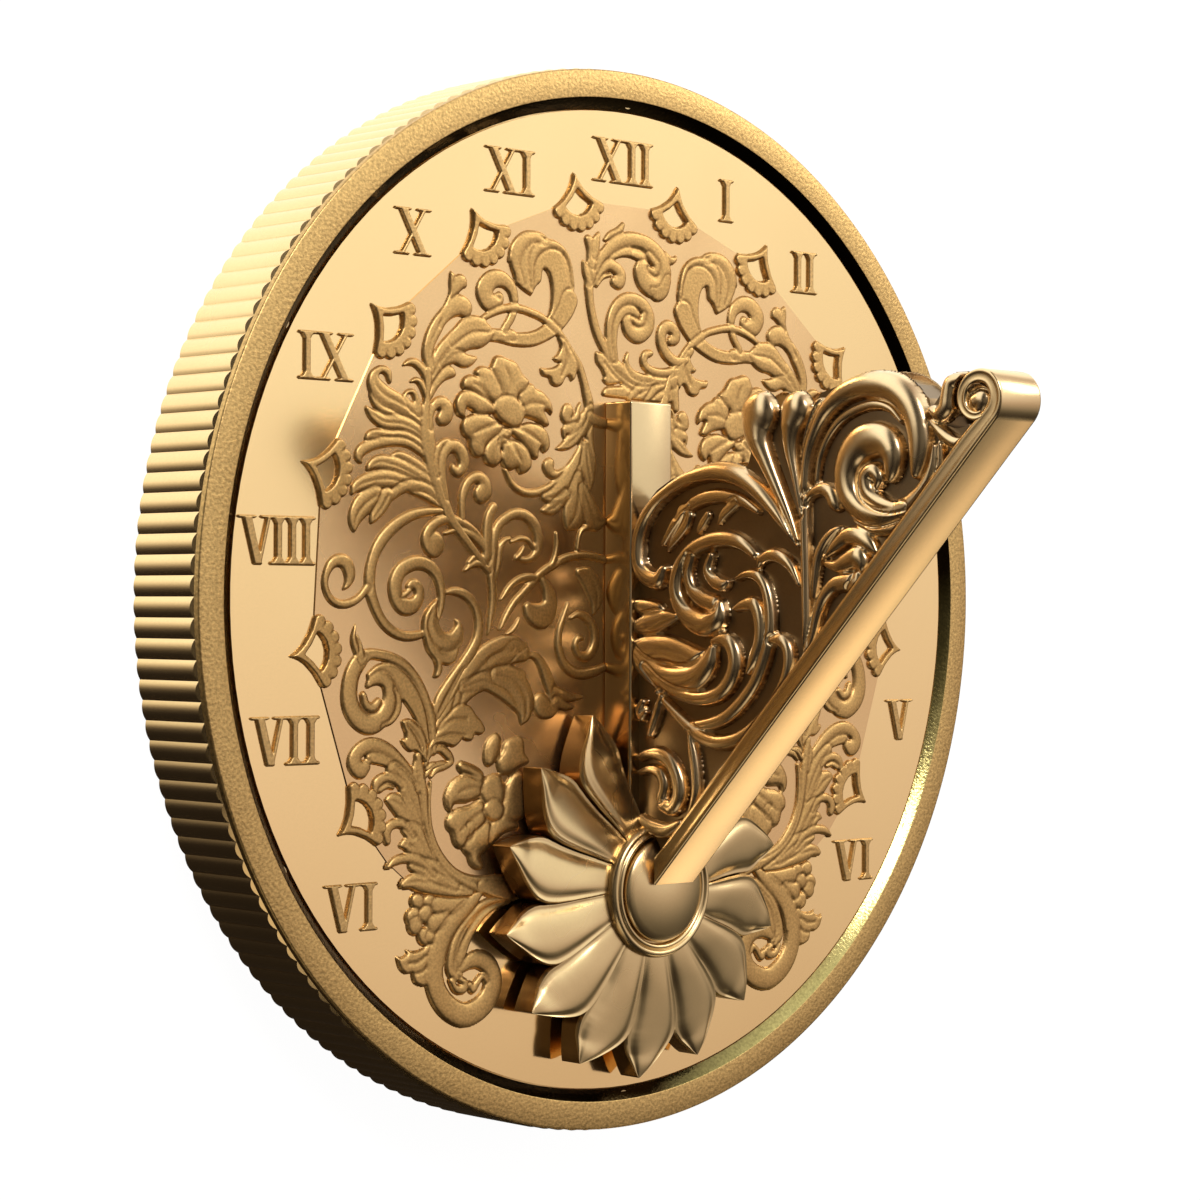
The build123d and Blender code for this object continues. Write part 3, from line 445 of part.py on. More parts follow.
def letter_x(x, y):
    w = 10.6
    return [bar_between((x + w - 2.4, y + 0.2), (x + 2.4, y + letter_h - 0.2), 2.2),
            bar_between((x + 2.1, y + 0.2), (x + w - 2.1, y + letter_h - 0.2), 1.05),
            serif(x + w - 2.4, y, 4.8, True), serif(x + 2.1, y, 4.2, True),
            serif(x + 2.4, y + letter_h, 4.8, False), serif(x + w - 2.1, y + letter_h, 4.2, False)]


def letter_v(x, y):
    w = 10.4
    return [bar_between((x + w / 2 + 0.2, y), (x + 2.5, y + letter_h - 0.2), 2.2),
            bar_between((x + w / 2 + 0.4, y), (x + w - 2.2, y + letter_h - 0.2), 1.05),
            serif(x + 2.5, y + letter_h, 4.9, False), serif(x + w - 2.2, y + letter_h, 4.2, False)]


letters = {"I": letter_i, "V": letter_v, "X": letter_x}

# node name: (letters with their left edges, base line)
numerals = {
    "numeral_12": ([("X", -10.9), ("I", -0.4), ("I", 4.1)], 98.5),
    "numeral_11": ([("X", -44.6), ("I", -34.1)], 92.7),
    "numeral_10": ([("X", -71.2)], 76.3),
    "numeral_9": ([("I", -97.8), ("X", -93.3)], 47.1),
    "numeral_8": ([("V", -113.9), ("I", -105.3), ("I", -101.5), ("I", -97.7)], 6.9),
    "numeral_7": ([("V", -110.3), ("I", -100.8), ("I", -96.3)], -36.1),
    "numeral_6_am": ([("V", -90.3), ("I", -80.0)], -73.1),
    "numeral_1": ([("I", 31.9)], 92.7),
    "numeral_2": ([("I", 57.9), ("I", 62.4)], 77.3),
    "numeral_3": ([("I", 83.6), ("I", 88.1), ("I", 92.6)], 47.1),
    "numeral_4": ([("I", 96.9), ("V", 100.9)], 6.9),
    "numeral_5": ([("V", 94.3)], -36.1),
    "numeral_6_pm": ([("V", 74.2), ("I", 84.5)], -71.6),
}

# ---------------------------------------------------------------- body
with BuildPart() as base_drum:
    with BuildSketch():
        with BuildLine():
            step = 360.0 / reed_count
            for k in range(reed_count):
                a, b, c = rad(k * step), rad((k + 0.5) * step), rad((k + 1) * step)
                ThreePointArc((reed_root_r * math.cos(a), reed_root_r * math.sin(a)),
                              (reed_crest_r * math.cos(b), reed_crest_r * math.sin(b)),
                              (reed_root_r * math.cos(c), reed_root_r * math.sin(c)))
        make_face()
    extrude(amount=drum_top)
    # the reeds run out in a bevel under the rim
    with BuildSketch(Plane.XZ):
        with BuildLine():
            Polyline((reed_root_r - 0.2, drum_top + 0.1), (reed_crest_r + 1, drum_top + 0.1),
                     (reed_crest_r + 1, drum_top - reed_bevel - 1.2), close=True)
        make_face()
    revolve(axis=Axis.Z, mode=Mode.SUBTRACT)
    # recess for the dial plate and the rim's foot
    with BuildSketch(Plane.XY.offset(seat_z)):
        Circle(seat_r)
    extrude(amount=drum_top - seat_z + 1, mode=Mode.SUBTRACT)
    # three blind tapped holes in the back, on one circle
    with BuildSketch(Plane.XY):
        with PolarLocations(mount_pcd / 2, 3, start_angle=90):
            Circle(mount_hole_r)
    extrude(amount=mount_hole_depth, mode=Mode.SUBTRACT)
    # counterbored holes for the gnomon screws
    with BuildSketch(Plane.XY):
        with Locations(*[(0, y) for y in gnomon_screw_ys]):
            Circle(2.2)
    extrude(amount=seat_z + 1, mode=Mode.SUBTRACT)
    with BuildSketch(Plane.XY):
        with Locations(*[(0, y) for y in gnomon_screw_ys]):
            Circle(4.6)
    extrude(amount=10.0, mode=Mode.SUBTRACT)
    # counterbored holes for the rim screws
    with BuildSketch(Plane.XY):
        with Locations(*[(rim_screw_r * math.cos(rad(a)), rim_screw_r * math.sin(rad(a))) for a in rim_screw_angles]):
            Circle(1.8)
    extrude(amount=seat_z + 1, mode=Mode.SUBTRACT)
    with BuildSketch(Plane.XY):
        with Locations(*[(rim_screw_r * math.cos(rad(a)), rim_screw_r * math.sin(rad(a))) for a in rim_screw_angles]):
            Circle(3.1)
    extrude(amount=12.0, mode=Mode.SUBTRACT)
    # stepped hole for the flower's stem and nut
    with BuildSketch(Plane.XY):
        with Locations(hour_centre):
            Circle(3.3)
    extrude(amount=seat_z + 1, mode=Mode.SUBTRACT)
    with BuildSketch(Plane.XY):
        with Locations(hour_centre):
            Circle(7.5)
    extrude(amount=13.0, mode=Mode.SUBTRACT)
base_drum.part.label = "base_drum"
export_step(base_drum.part, "parts/base_drum.step")

with BuildPart() as rim_ring:
    with BuildSketch(Plane.XZ):
        with BuildLine():
            Polyline((rim_wall_top_r, rim_top), (rim_outer_r - rim_bevel, rim_top), (rim_outer_r, rim_top - rim_bevel),
                     (rim_outer_r, drum_top), (seat_r - 0.1, drum_top), (seat_r - 0.1, seat_z), (rim_wall_foot_r, seat_z),
                     (rim_wall_foot_r, field_z), close=True)
        make_face()
    revolve(axis=Axis.Z)
    with BuildSketch(Plane.XY.offset(seat_z)):
        with Locations(*[(rim_screw_r * math.cos(rad(a)), rim_screw_r * math.sin(rad(a))) for a in rim_screw_angles]):
            Circle(1.5)
    extrude(amount=3.0, mode=Mode.SUBTRACT)
rim_ring.part.label = "rim_ring"
export_step(rim_ring.part, "parts/rim_ring.step")

with BuildPart() as dial_plate:
    with BuildSketch(Plane.XY.offset(seat_z)):
        Circle(plate_r)
        with Locations(*[(0, y) for y in gnomon_screw_ys]):
            Circle(2.2, mode=Mode.SUBTRACT)
        with Locations(hour_centre):
            Circle(3.3, mode=Mode.SUBTRACT)
    extrude(amount=field_z - seat_z)
dial_plate.part.label = "dial_plate"
export_step(dial_plate.part, "parts/dial_plate.step")

with BuildPart() as chapter_platform:
    with BuildSketch(Plane.XY.offset(field_z)):
        with BuildLine():
            Polyline(*platform_outline, close=True)
        make_face()
        with Locations(*[(0, y) for y in gnomon_screw_ys]):
            Circle(2.2, mode=Mode.SUBTRACT)
    extrude(amount=platform_z - field_z)
chapter_platform.part.label = "chapter_platform"
export_step(chapter_platform.part, "parts/chapter_platform.step")

# ---------------------------------------------------------------- numerals and half-hour markers
for name, (cells, base_line) in numerals.items():
    with BuildPart() as numeral:
        with BuildSketch(Plane.XY.offset(field_z)):
            for letter, left in cells:
                for outline in letters[letter](left, base_line):
                    with BuildLine():
                        Polyline(*outline, close=True)
                    make_face()
        extrude(amount=numeral_top - field_z)
    numeral.part.label = name
    export_step(numeral.part, "parts/" + name + ".step")

with BuildPart() as half_hour_markers:
    for seat in marker_seats:
        for east in (False, True):
            with BuildSketch(Plane.XY.offset(field_z)):
                with BuildLine():
                    Polyline(*[marker_point(seat, u, v, east) for u, v in marker_outline], close=True)
                make_face()
                with BuildLine():
                    Polyline(*[marker_point(seat, u, v, east) for u, v in marker_hole], close=True)
                make_face(mode=Mode.SUBTRACT)
            extrude(amount=marker_top - field_z)
    # the markers' inner edges lap over the platform
    with BuildSketch(Plane.XY.offset(field_z)):
        with BuildLine():
            Polyline(*platform_outline, close=True)
        make_face()
    extrude(amount=platform_z - field_z, mode=Mode.SUBTRACT)
half_hour_markers.part.label = "half_hour_markers"
export_step(half_hour_markers.part, "parts/half_hour_markers.step")

# ---------------------------------------------------------------- relief castings
castings = {
    "upper_scroll": (upper_scroll_outlines, platform_z, relief_top),
    "upper_rosette": (upper_rosette_outlines, platform_z, rosette_top),
    "side_leaf": (side_leaf_outlines, platform_z, relief_top),
    "side_scroll": (side_scroll_outlines, platform_z, relief_top),
    "inner_scroll": (inner_scroll_outlines, platform_z, relief_top),
    "acanthus_fan": (acanthus_fan_outlines, platform_z, relief_top),
    "lower_rosette": (lower_rosette_outlines, platform_z, relief_top),
    "lower_leaf": (lower_leaf_outlines, platform_z, relief_top),
    "foot_scroll": (foot_scroll_outlines, field_z, relief_top),
}
for name, (outlines, z0, z1) in castings.items():
    for side in ("west", "east"):
        with BuildPart() as casting:
            for outer, inners in outlines:
                with BuildSketch(Plane.XY.offset(z0)):
                    with BuildLine():
                        Polyline(*(mirror_x(outer) if side == "east" else outer), close=True)
                    make_face()
                    for inner in inners:
                        with BuildLine():
                            Polyline(*(mirror_x(inner) if side == "east" else inner), close=True)
                        make_face(mode=Mode.SUBTRACT)
                extrude(amount=z1 - z0)
            if name == "foot_scroll":
                # lies on the dial, beside the platform's edge
                with BuildSketch(Plane.XY.offset(z0)):
                    with BuildLine():
                        Polyline(*platform_outline, close=True)
                    make_face()
                extrude(amount=platform_z - z0, mode=Mode.SUBTRACT)
            if name == "lower_leaf":
                # gives way to the last half-hour marker
                with BuildSketch(Plane.XY.offset(z0)):
                    with BuildLine():
                        Polyline(*[marker_point(marker_seats[-1], 1.05 * u, 1.05 * v, side == "east")
                                   for u, v in marker_outline], close=True)
                    make_face()
                extrude(amount=z1 - z0, mode=Mode.SUBTRACT)
        node = side + "_" + name
        casting.part.label = node
        export_step(casting.part, "parts/" + node + ".step")

with BuildPart() as crest_casting:
    for outer, inners in crest_outlines:
        with BuildSketch(Plane.XY.offset(platform_z)):
            with BuildLine():
                Polyline(*outer, close=True)
            make_face()
            for inner in inners:
                with BuildLine():
                    Polyline(*inner, close=True)
                make_face(mode=Mode.SUBTRACT)
        extrude(amount=relief_top - platform_z)
crest_casting.part.label = "crest_casting"
export_step(crest_casting.part, "parts/crest_casting.step")

# ---------------------------------------------------------------- gnomon
tan_s, cos_s, sin_s = math.tan(rad(style_angle)), math.cos(rad(style_angle)), math.sin(rad(style_angle))
style_drop = style_thick / cos_s


def style_front(y):
    return style_foot_z + tan_s * (y - style_foot_y)


foot_of_tip = (tip_y - style_foot_y) * cos_s + (tip_z - style_foot_z) * sin_s      # along the style from its foot
front_end = (style_foot_y + foot_of_tip * cos_s, style_foot_z + foot_of_tip * sin_s)
inner_end = (front_end[0] + style_thick * sin_s, front_end[1] - style_thick * cos_s)
inner_foot_y = style_foot_y + style_drop / tan_s + 0.1

with BuildPart() as style_bar:
    with BuildSketch(Plane.YZ):
        with BuildLine():
            Polyline((style_foot_y + 0.1, style_foot_z + 0.1), front_end, inner_end, (inner_foot_y, style_foot_z + 0.1),
                     close=True)
        make_face()
        with Locations((tip_y, tip_z)):
            Circle(tip_r + 0.05, mode=Mode.SUBTRACT)
    extrude(amount=gnomon_half, both=True)
style_bar.part.label = "style_bar"
export_step(style_bar.part, "parts/style_bar.step")

with BuildPart() as tip_volute:
    with BuildSketch(Plane.YZ):
        with Locations((tip_y, tip_z)):
            Circle(tip_r)
    extrude(amount=gnomon_half, both=True)
tip_volute.part.label = "tip_volute"
export_step(tip_volute.part, "parts/tip_volute.step")

with BuildPart() as back_bar:
    with BuildSketch(Plane.XY.offset(platform_z)):
        with Locations((0, (back_bar_y0 + back_bar_y1) / 2)):
            Rectangle(2 * gnomon_half, back_bar_y1 - back_bar_y0)
    extrude(amount=back_bar_z - platform_z)
    with BuildSketch(Plane.XY.offset(platform_z)):
        with Locations(*[(0, y) for y in gnomon_screw_ys]):
            Circle(2.0)
    extrude(amount=6.0, mode=Mode.SUBTRACT)
back_bar.part.label = "back_bar"
export_step(back_bar.part, "parts/back_bar.step")

# back edge of the web (y, z), from the back bar up to the tip
web_back = [(19.7, 30.4), (22.1, 32.3), (25.5, 36.1), (27.9, 40.9), (29.4, 46.6), (30.0, 52.3), (29.8, 58.5), (28.6, 63.7),
            (31.0, 65.6), (34.0, 66.5), (38.0, 65.5), (42.2, 64.9), (42.5, 75.9), (40.5, 75.5), (38.5, 76.0), (44.1, 77.3),
            (43.4, 85.4), (45.7, 87.8), (46.9, 92.5), (47.9, 97.3), (48.3, 103.5), (48.0, 107.8), (46.2, 114.4), (43.0, 118.6),
            (40.7, 119.2), (45.7, 123.5), (46.8, 124.9), (46.9, 128.7), (46.4, 130.6)]
web_foot = [(inner_foot_y, style_foot_z + 0.1), (-57.5, 37.6), (-55.4, 36.1), (-53.6, 35.4), (-51.7, 35.3), (-51.6, 33.4),
            (-50.3, 33.3), (-50.0, back_bar_z)]
web_eye = [(37.0, 123.5), (36.2, 126.0), (36.6, 129.0), (38.0, 130.0), (39.6, 128.5), (40.0, 126.5), (39.0, 124.0)]

with BuildPart() as gnomon_web:
    with BuildSketch(Plane.YZ):
        with BuildLine():
            Polyline(*(web_back + [(tip_y, tip_z), inner_end] + web_foot), close=True)
        make_face()
        with BuildLine():
            Polyline(*web_eye, close=True)
        make_face(mode=Mode.SUBTRACT)
        with Locations((tip_y, tip_z)):
            Circle(tip_r + 0.05, mode=Mode.SUBTRACT)
    extrude(amount=web_half, both=True)
gnomon_web.part.label = "gnomon_web"
export_step(gnomon_web.part, "parts/gnomon_web.step")

for side, sign in (("west", -1), ("east", 1)):
    with BuildPart() as scrollwork:
        for outer, inners in scroll_outlines:
            with BuildSketch(Plane.YZ.offset(sign * web_half)):
                with BuildLine():
                    Polyline(*[(y, z + rim_top) for z, y in outer], close=True)
                make_face()
                for inner in inners:
                    with BuildLine():
                        Polyline(*[(y, z + rim_top) for z, y in inner], close=True)
                    make_face(mode=Mode.SUBTRACT)
            extrude(amount=sign * (relief_half - web_half))
        # stays clear of the flower boss
        with BuildSketch(Plane.YZ.offset(sign * web_half)):
            with Locations((-60.0, 30.7)):
                Rectangle(20.0, 10.0)
        extrude(amount=sign * (relief_half - web_half), mode=Mode.SUBTRACT)
    scrollwork.part.label = "scrollwork_" + side
    export_step(scrollwork.part, "parts/scrollwork_" + side + ".step")

# ---------------------------------------------------------------- flower boss
petal_star = []
for k in range(petal_count):
    a = petal_phase + 360.0 / petal_count * k
    for r, w in ((38.0, -6.5), (41.0, -3.9), (petal_tip_r, 0.0), (41.0, 3.9), (38.0, 6.5)):
        petal_star.append((r * math.cos(rad(a)) - w * math.sin(rad(a)) + hour_centre[0],
                           r * math.sin(rad(a)) + w * math.cos(rad(a)) + hour_centre[1]))
    n = rad(a + 180.0 / petal_count)
    petal_star.append((petal_notch_r * math.cos(n) + hour_centre[0], petal_notch_r * math.sin(n) + hour_centre[1]))

with BuildPart() as flower_petals:
    with BuildSketch(Plane.XY.offset(petal_under_z)):
        with BuildLine():
            Polyline(*petal_star, close=True)
        make_face()
    extrude(amount=petal_hub_z - petal_under_z + 1)
    with BuildSketch(Plane.XZ.offset(-hour_centre[1])):
        with BuildLine():
            Polyline((3.3, petal_under_z), (petal_tip_r + 1, petal_under_z),
                     (petal_tip_r + 1, petal_tip_z - (petal_hub_z - petal_tip_z) / (petal_tip_r - boss_ring_r)),
                     (boss_ring_r, petal_hub_z), (3.3, petal_hub_z), close=True)
        make_face()
    revolve(axis=Axis((0, hour_centre[1], 0), (0, 0, 1)), mode=Mode.INTERSECT)
    # slot that the gnomon's back bar stands in
    with BuildSketch(Plane.XY.offset(petal_under_z - 1)):
        with Locations((0, (back_bar_y0 - 0.3 - 20) / 2)):
            Rectangle(2 * gnomon_half + 0.6, -20 - (back_bar_y0 - 0.3))
    extrude(amount=15, mode=Mode.SUBTRACT)
flower_petals.part.label = "flower_petals"
export_step(flower_petals.part, "parts/flower_petals.step")

with BuildPart() as flower_ring:
    with BuildSketch(Plane.XZ.offset(-hour_centre[1])):
        with BuildLine():
            Polyline((boss_ring_bore_r, petal_hub_z), (boss_ring_r, petal_hub_z), (boss_ring_r - 0.1, petal_hub_z + 1.0),
                     (boss_ring_crest_r + 0.4, boss_ring_top - 0.4), (boss_ring_crest_r - 0.2, boss_ring_top),
                     (boss_ring_bore_r, boss_ring_top), close=True)
        make_face()
    revolve(axis=Axis((0, hour_centre[1], 0), (0, 0, 1)))
flower_ring.part.label = "flower_ring"
export_step(flower_ring.part, "parts/flower_ring.step")

with BuildPart() as flower_dome:
    with BuildSketch(Plane.XZ.offset(-hour_centre[1])):
        with BuildLine():
            dome_rise = dome_top_z - dome_edge_z
            dome_ball_r = (dome_r ** 2 + dome_rise ** 2) / (2 * dome_rise)
            dome_arc_mid = (dome_r / 2, dome_top_z - dome_ball_r + math.sqrt(dome_ball_r ** 2 - dome_r ** 2 / 4))
            Polyline((0, petal_hub_z + 2.0), (3.0, petal_hub_z + 2.0), (3.0, petal_hub_z), (dome_r, petal_hub_z),
                     (dome_r, dome_edge_z))
            ThreePointArc((dome_r, dome_edge_z), dome_arc_mid, (0, dome_top_z))
            Line((0, dome_top_z), (0, petal_hub_z + 2.0))
        make_face()
    revolve(axis=Axis((0, hour_centre[1], 0), (0, 0, 1)))
flower_dome.part.label = "flower_dome"
export_step(flower_dome.part, "parts/flower_dome.step")

# threaded stem with a spacer collar that carries the petals clear of the dial
with BuildPart() as flower_stem:
    with BuildSketch(Plane.XY.offset(6.0)):
        with Locations(hour_centre):
            Circle(3.0)
    extrude(amount=petal_hub_z + 1.9 - 6.0)
    with BuildSketch(Plane.XY.offset(field_z)):
        with Locations(hour_centre):
            Circle(8.0)
    extrude(amount=petal_under_z - field_z)
flower_stem.part.label = "flower_stem"
export_step(flower_stem.part, "parts/flower_stem.step")

with BuildPart() as flower_nut:
    with BuildSketch(Plane.XY.offset(8.0)):
        with Locations(hour_centre):
            RegularPolygon(5.0, 6, major_radius=False)
            Circle(3.0, mode=Mode.SUBTRACT)
    extrude(amount=5.0)
flower_nut.part.label = "flower_nut"
export_step(flower_nut.part, "parts/flower_nut.step")

# ---------------------------------------------------------------- screws, driven from the back
with BuildPart() as gnomon_screws:
    with BuildSketch(Plane.XY.offset(6.0)):
        with Locations(*[(0, y) for y in gnomon_screw_ys]):
            Circle(3.8)
    extrude(amount=4.0)
    with BuildSketch(Plane.XY.offset(10.0)):
        with Locations(*[(0, y) for y in gnomon_screw_ys]):
            Circle(2.0)
    extrude(amount=17.0)
    with BuildSketch(Plane.XY.offset(6.0)):
        with Locations(*[(0, y) for y in gnomon_screw_ys]):
            RegularPolygon(1.5, 6, major_radius=False)
    extrude(amount=2.0, mode=Mode.SUBTRACT)
gnomon_screws.part.label = "gnomon_screws"
export_step(gnomon_screws.part, "parts/gnomon_screws.step")

with BuildPart() as rim_screws:
    rim_spots = [(rim_screw_r * math.cos(rad(a)), rim_screw_r * math.sin(rad(a))) for a in rim_screw_angles]
    with BuildSketch(Plane.XY.offset(9.0)):
        with Locations(*rim_spots):
            Circle(2.7)
    extrude(amount=3.0)
    with BuildSketch(Plane.XY.offset(12.0)):
        with Locations(*rim_spots):
            Circle(1.5)
    extrude(amount=9.8)
    with BuildSketch(Plane.XY.offset(9.0)):
        with Locations(*rim_spots):
            RegularPolygon(1.2, 6, major_radius=False)
    extrude(amount=1.5, mode=Mode.SUBTRACT)
rim_screws.part.label = "rim_screws"
export_step(rim_screws.part, "parts/rim_screws.step")
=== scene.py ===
import bpy, bmesh, math
import numpy as np
from mathutils import Vector, Matrix


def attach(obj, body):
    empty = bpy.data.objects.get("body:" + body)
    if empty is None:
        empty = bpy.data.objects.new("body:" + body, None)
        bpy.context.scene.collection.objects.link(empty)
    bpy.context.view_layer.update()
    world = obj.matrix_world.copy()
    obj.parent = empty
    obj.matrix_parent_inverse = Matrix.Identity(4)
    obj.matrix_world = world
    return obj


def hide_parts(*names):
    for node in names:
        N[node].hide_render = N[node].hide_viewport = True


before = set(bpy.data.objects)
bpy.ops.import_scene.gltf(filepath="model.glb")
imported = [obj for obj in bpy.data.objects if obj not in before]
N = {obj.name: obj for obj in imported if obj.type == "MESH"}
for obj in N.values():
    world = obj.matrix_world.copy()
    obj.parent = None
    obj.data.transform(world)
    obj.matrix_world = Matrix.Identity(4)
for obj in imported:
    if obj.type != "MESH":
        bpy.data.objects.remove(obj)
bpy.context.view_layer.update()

MM = 0.001
TOP = 23.0          # rim's top, mm
FIELD = 21.2
PLAT = 21.5


# ------------------------------------------------------------------ helpers
def link(ob):
    bpy.context.scene.collection.objects.link(ob)
    return ob


def mesh_object(name, V, F, mat, replaces=(), smooth=True, sharp=None):
    me = bpy.data.meshes.new(name)
    V = np.asarray(V, dtype=np.float32) * MM
    F = [tuple(int(i) for i in f) for f in F]
    me.from_pydata([tuple(map(float, v)) for v in V], [], F)
    me.update()
    if smooth:
        me.polygons.foreach_set("use_smooth", [True] * len(me.polygons))
    if sharp is not None:
        me.set_sharp_from_angle(angle=math.radians(sharp))
    me.materials.append(mat)
    ob = link(bpy.data.objects.new(name, me))
    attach(ob, "root")
    if replaces:
        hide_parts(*replaces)
    return ob


# ------------------------------------------------------------------ curves and height fields (mm)
def crom(P, step=0.35, closed=False, corner=None):
    P = np.array(P, float)
    n = len(P)
    if n < 3 and not closed:
        k = max(2, int(np.hypot(*(P[-1, :2] - P[0, :2])) / step) + 1)
        t = np.linspace(0, 1, k)[:, None]
        return P[0] * (1 - t) + P[-1] * t
    out = []
    segs = n if closed else n - 1
    for i in range(segs):
        p1 = P[i]; p2 = P[(i + 1) % n]
        p0 = P[i - 1] if (closed or i > 0) else 2 * p1 - p2
        p3 = P[(i + 2) % n] if (closed or i + 2 < n) else 2 * p2 - p1
        m1 = (p2 - p0) / 2; m2 = (p3 - p1) / 2
        if corner is not None:
            if corner[i]: m1 = (p2 - p1) * 0.6
            if corner[(i + 1) % n]: m2 = (p2 - p1) * 0.6
        L = np.hypot(*(p2[:2] - p1[:2]))
        for m in (m1, m2):
            lm = np.hypot(m[0], m[1])
            if lm > 1.3 * L + 1e-9: m *= (1.3 * L) / lm
        k = max(2, int(L / step) + 1)
        t = (np.arange(k) / k)[:, None]
        out.append((2 * t**3 - 3 * t**2 + 1) * p1 + (t**3 - 2 * t**2 + t) * m1 + (-2 * t**3 + 3 * t**2) * p2 + (t**3 - t**2) * m2)
    if not closed: out.append(P[-1:])
    return np.concatenate(out)


def window(X, Y, x0, x1, y0, y1):
    gx = X[0]; gy = Y[:, 0]
    i0 = max(0, int(np.searchsorted(gx, x0)) - 1); i1 = min(len(gx), int(np.searchsorted(gx, x1)) + 1)
    j0 = max(0, int(np.searchsorted(gy, y0)) - 1); j1 = min(len(gy), int(np.searchsorted(gy, y1)) + 1)
    return i0, i1, j0, j1


def stroke_sd(X, Y, pts, pad=0.7):
    c = crom(pts, 0.3)
    c[:, 2] = np.maximum(c[:, 2], 0.15)
    sd = np.full(X.shape, -9.0); hw = np.full(X.shape, 1.0)
    for a, b in zip(c[:-1], c[1:]):
        r = max(a[2], b[2]) / 2 + pad
        i0, i1, j0, j1 = window(X, Y, min(a[0], b[0]) - r, max(a[0], b[0]) + r, min(a[1], b[1]) - r, max(a[1], b[1]) + r)
        if i0 >= i1 or j0 >= j1: continue
        x = X[j0:j1, i0:i1]; y = Y[j0:j1, i0:i1]
        ab = b[:2] - a[:2]; L2 = ab @ ab + 1e-12
        # nearest point of a cone: the widest match, not the nearest axis point
        dr = (b[2] - a[2]) / 2
        t = ((x - a[0]) * ab[0] + (y - a[1]) * ab[1]) / L2
        off = np.abs((x - a[0]) * ab[1] - (y - a[1]) * ab[0]) / math.sqrt(L2)
        kk = dr / math.sqrt(L2)
        if abs(kk) < 0.95: t = t + off * kk / math.sqrt(1 - kk * kk) / math.sqrt(L2)
        t = np.clip(t, 0, 1)
        d = np.hypot(x - a[0] - t * ab[0], y - a[1] - t * ab[1]); w = (a[2] + (b[2] - a[2]) * t) / 2
        s = w - d; S = sd[j0:j1, i0:i1]; H = hw[j0:j1, i0:i1]
        m = s > S; S[m] = s[m]; H[m] = w[m]
    return sd, hw


def poly_sd(X, Y, pts):
    c = crom([p[:2] for p in pts], 0.4, True, [p[2] for p in pts])
    inside = np.zeros(X.shape, bool); d2 = np.full(X.shape, 1e9)
    i0, i1, j0, j1 = window(X, Y, c[:, 0].min() - 1, c[:, 0].max() + 1, c[:, 1].min() - 1, c[:, 1].max() + 1)
    x = X[j0:j1, i0:i1]; y = Y[j0:j1, i0:i1]; D = d2[j0:j1, i0:i1]; I = inside[j0:j1, i0:i1]
    for a, b in zip(c, np.roll(c, -1, 0)):
        ab = b - a; L2 = ab @ ab + 1e-12
        t = np.clip(((x - a[0]) * ab[0] + (y - a[1]) * ab[1]) / L2, 0, 1)
        d = (x - a[0] - t * ab[0])**2 + (y - a[1] - t * ab[1])**2
        np.minimum(D, d, out=D)
        if a[1] != b[1]:
            I ^= ((a[1] > y) != (b[1] > y)) & (x < (b[0] - a[0]) * (y - a[1]) / (b[1] - a[1]) + a[0])
    s = np.sqrt(np.minimum(d2, 81))
    return np.where(inside, s, -s)


def blur(Z, k=1):
    for _ in range(k):
        P = np.pad(Z, 1, mode="edge")
        Z = (P[1:-1, 1:-1] * 4 + 2 * (P[:-2, 1:-1] + P[2:, 1:-1] + P[1:-1, :-2] + P[1:-1, 2:])
             + P[:-2, :-2] + P[:-2, 2:] + P[2:, :-2] + P[2:, 2:]) / 16
    return Z


def relief(els, X, Y, base=0.35, out=-0.45, wall=0.22, hs=1.0):
    Z = np.full(X.shape, out)
    for kind, prof, h, pts in els:
        h = h * hs
        if kind == "s":
            if prof == "g":
                sd, hw = stroke_sd(X, Y, [(p[0], p[1], p[2] * 2.2) for p in pts])
                t = np.clip(1 - sd / hw, 0, 1); m = (sd > 0) & (Z > 0.1)
                Z = np.where(m, np.maximum(Z - 0.34 * h * (1 - t * t)**1.5, 0.12), Z)
                continue
            sd, hw = stroke_sd(X, Y, pts)
            t = np.clip(1 - sd / np.maximum(hw, .05), 0, 1)
            f = np.sqrt(np.maximum(1 - t * t, 0))
            hl = h * np.clip(0.62 + 0.16 * hw, 0.5, 1.12)
            b = min(base, 0.6 * h) * np.clip(hw / 0.8, 0.35, 1)
            if prof == "b": z = b + (h - b) * np.clip(sd / 0.45, 0, 1)**0.6 * (0.86 + 0.14 * t**3)
            elif prof == "l": z = b + (hl - b) * (f - 0.34 * np.exp(-(t / 0.2)**2) * np.clip(hw - 0.4, 0, 1))
            else: z = b + (hl - b) * f
        else:
            sd = poly_sd(X, Y, pts); b = base
            w = 0.8 if prof == "b" else 2.6
            if prof == "n": w = 0.3
            z = b + (h - b) * np.sqrt(np.maximum(1 - (1 - np.clip(sd / w, 0, 1))**2, 0))
        zo = b - (b - out) * np.clip(-sd / wall, 0, 1)
        near = np.exp(-(np.clip(-sd, 0, 9) / 0.28)**2)
        Zc = np.where((sd <= 0) & (Z > 0), Z - 0.38 * near * np.minimum(Z, h), Z)
        Z = np.where(sd > 0, np.maximum(z, Zc * 0.86), np.maximum(Zc, zo))
    return Z


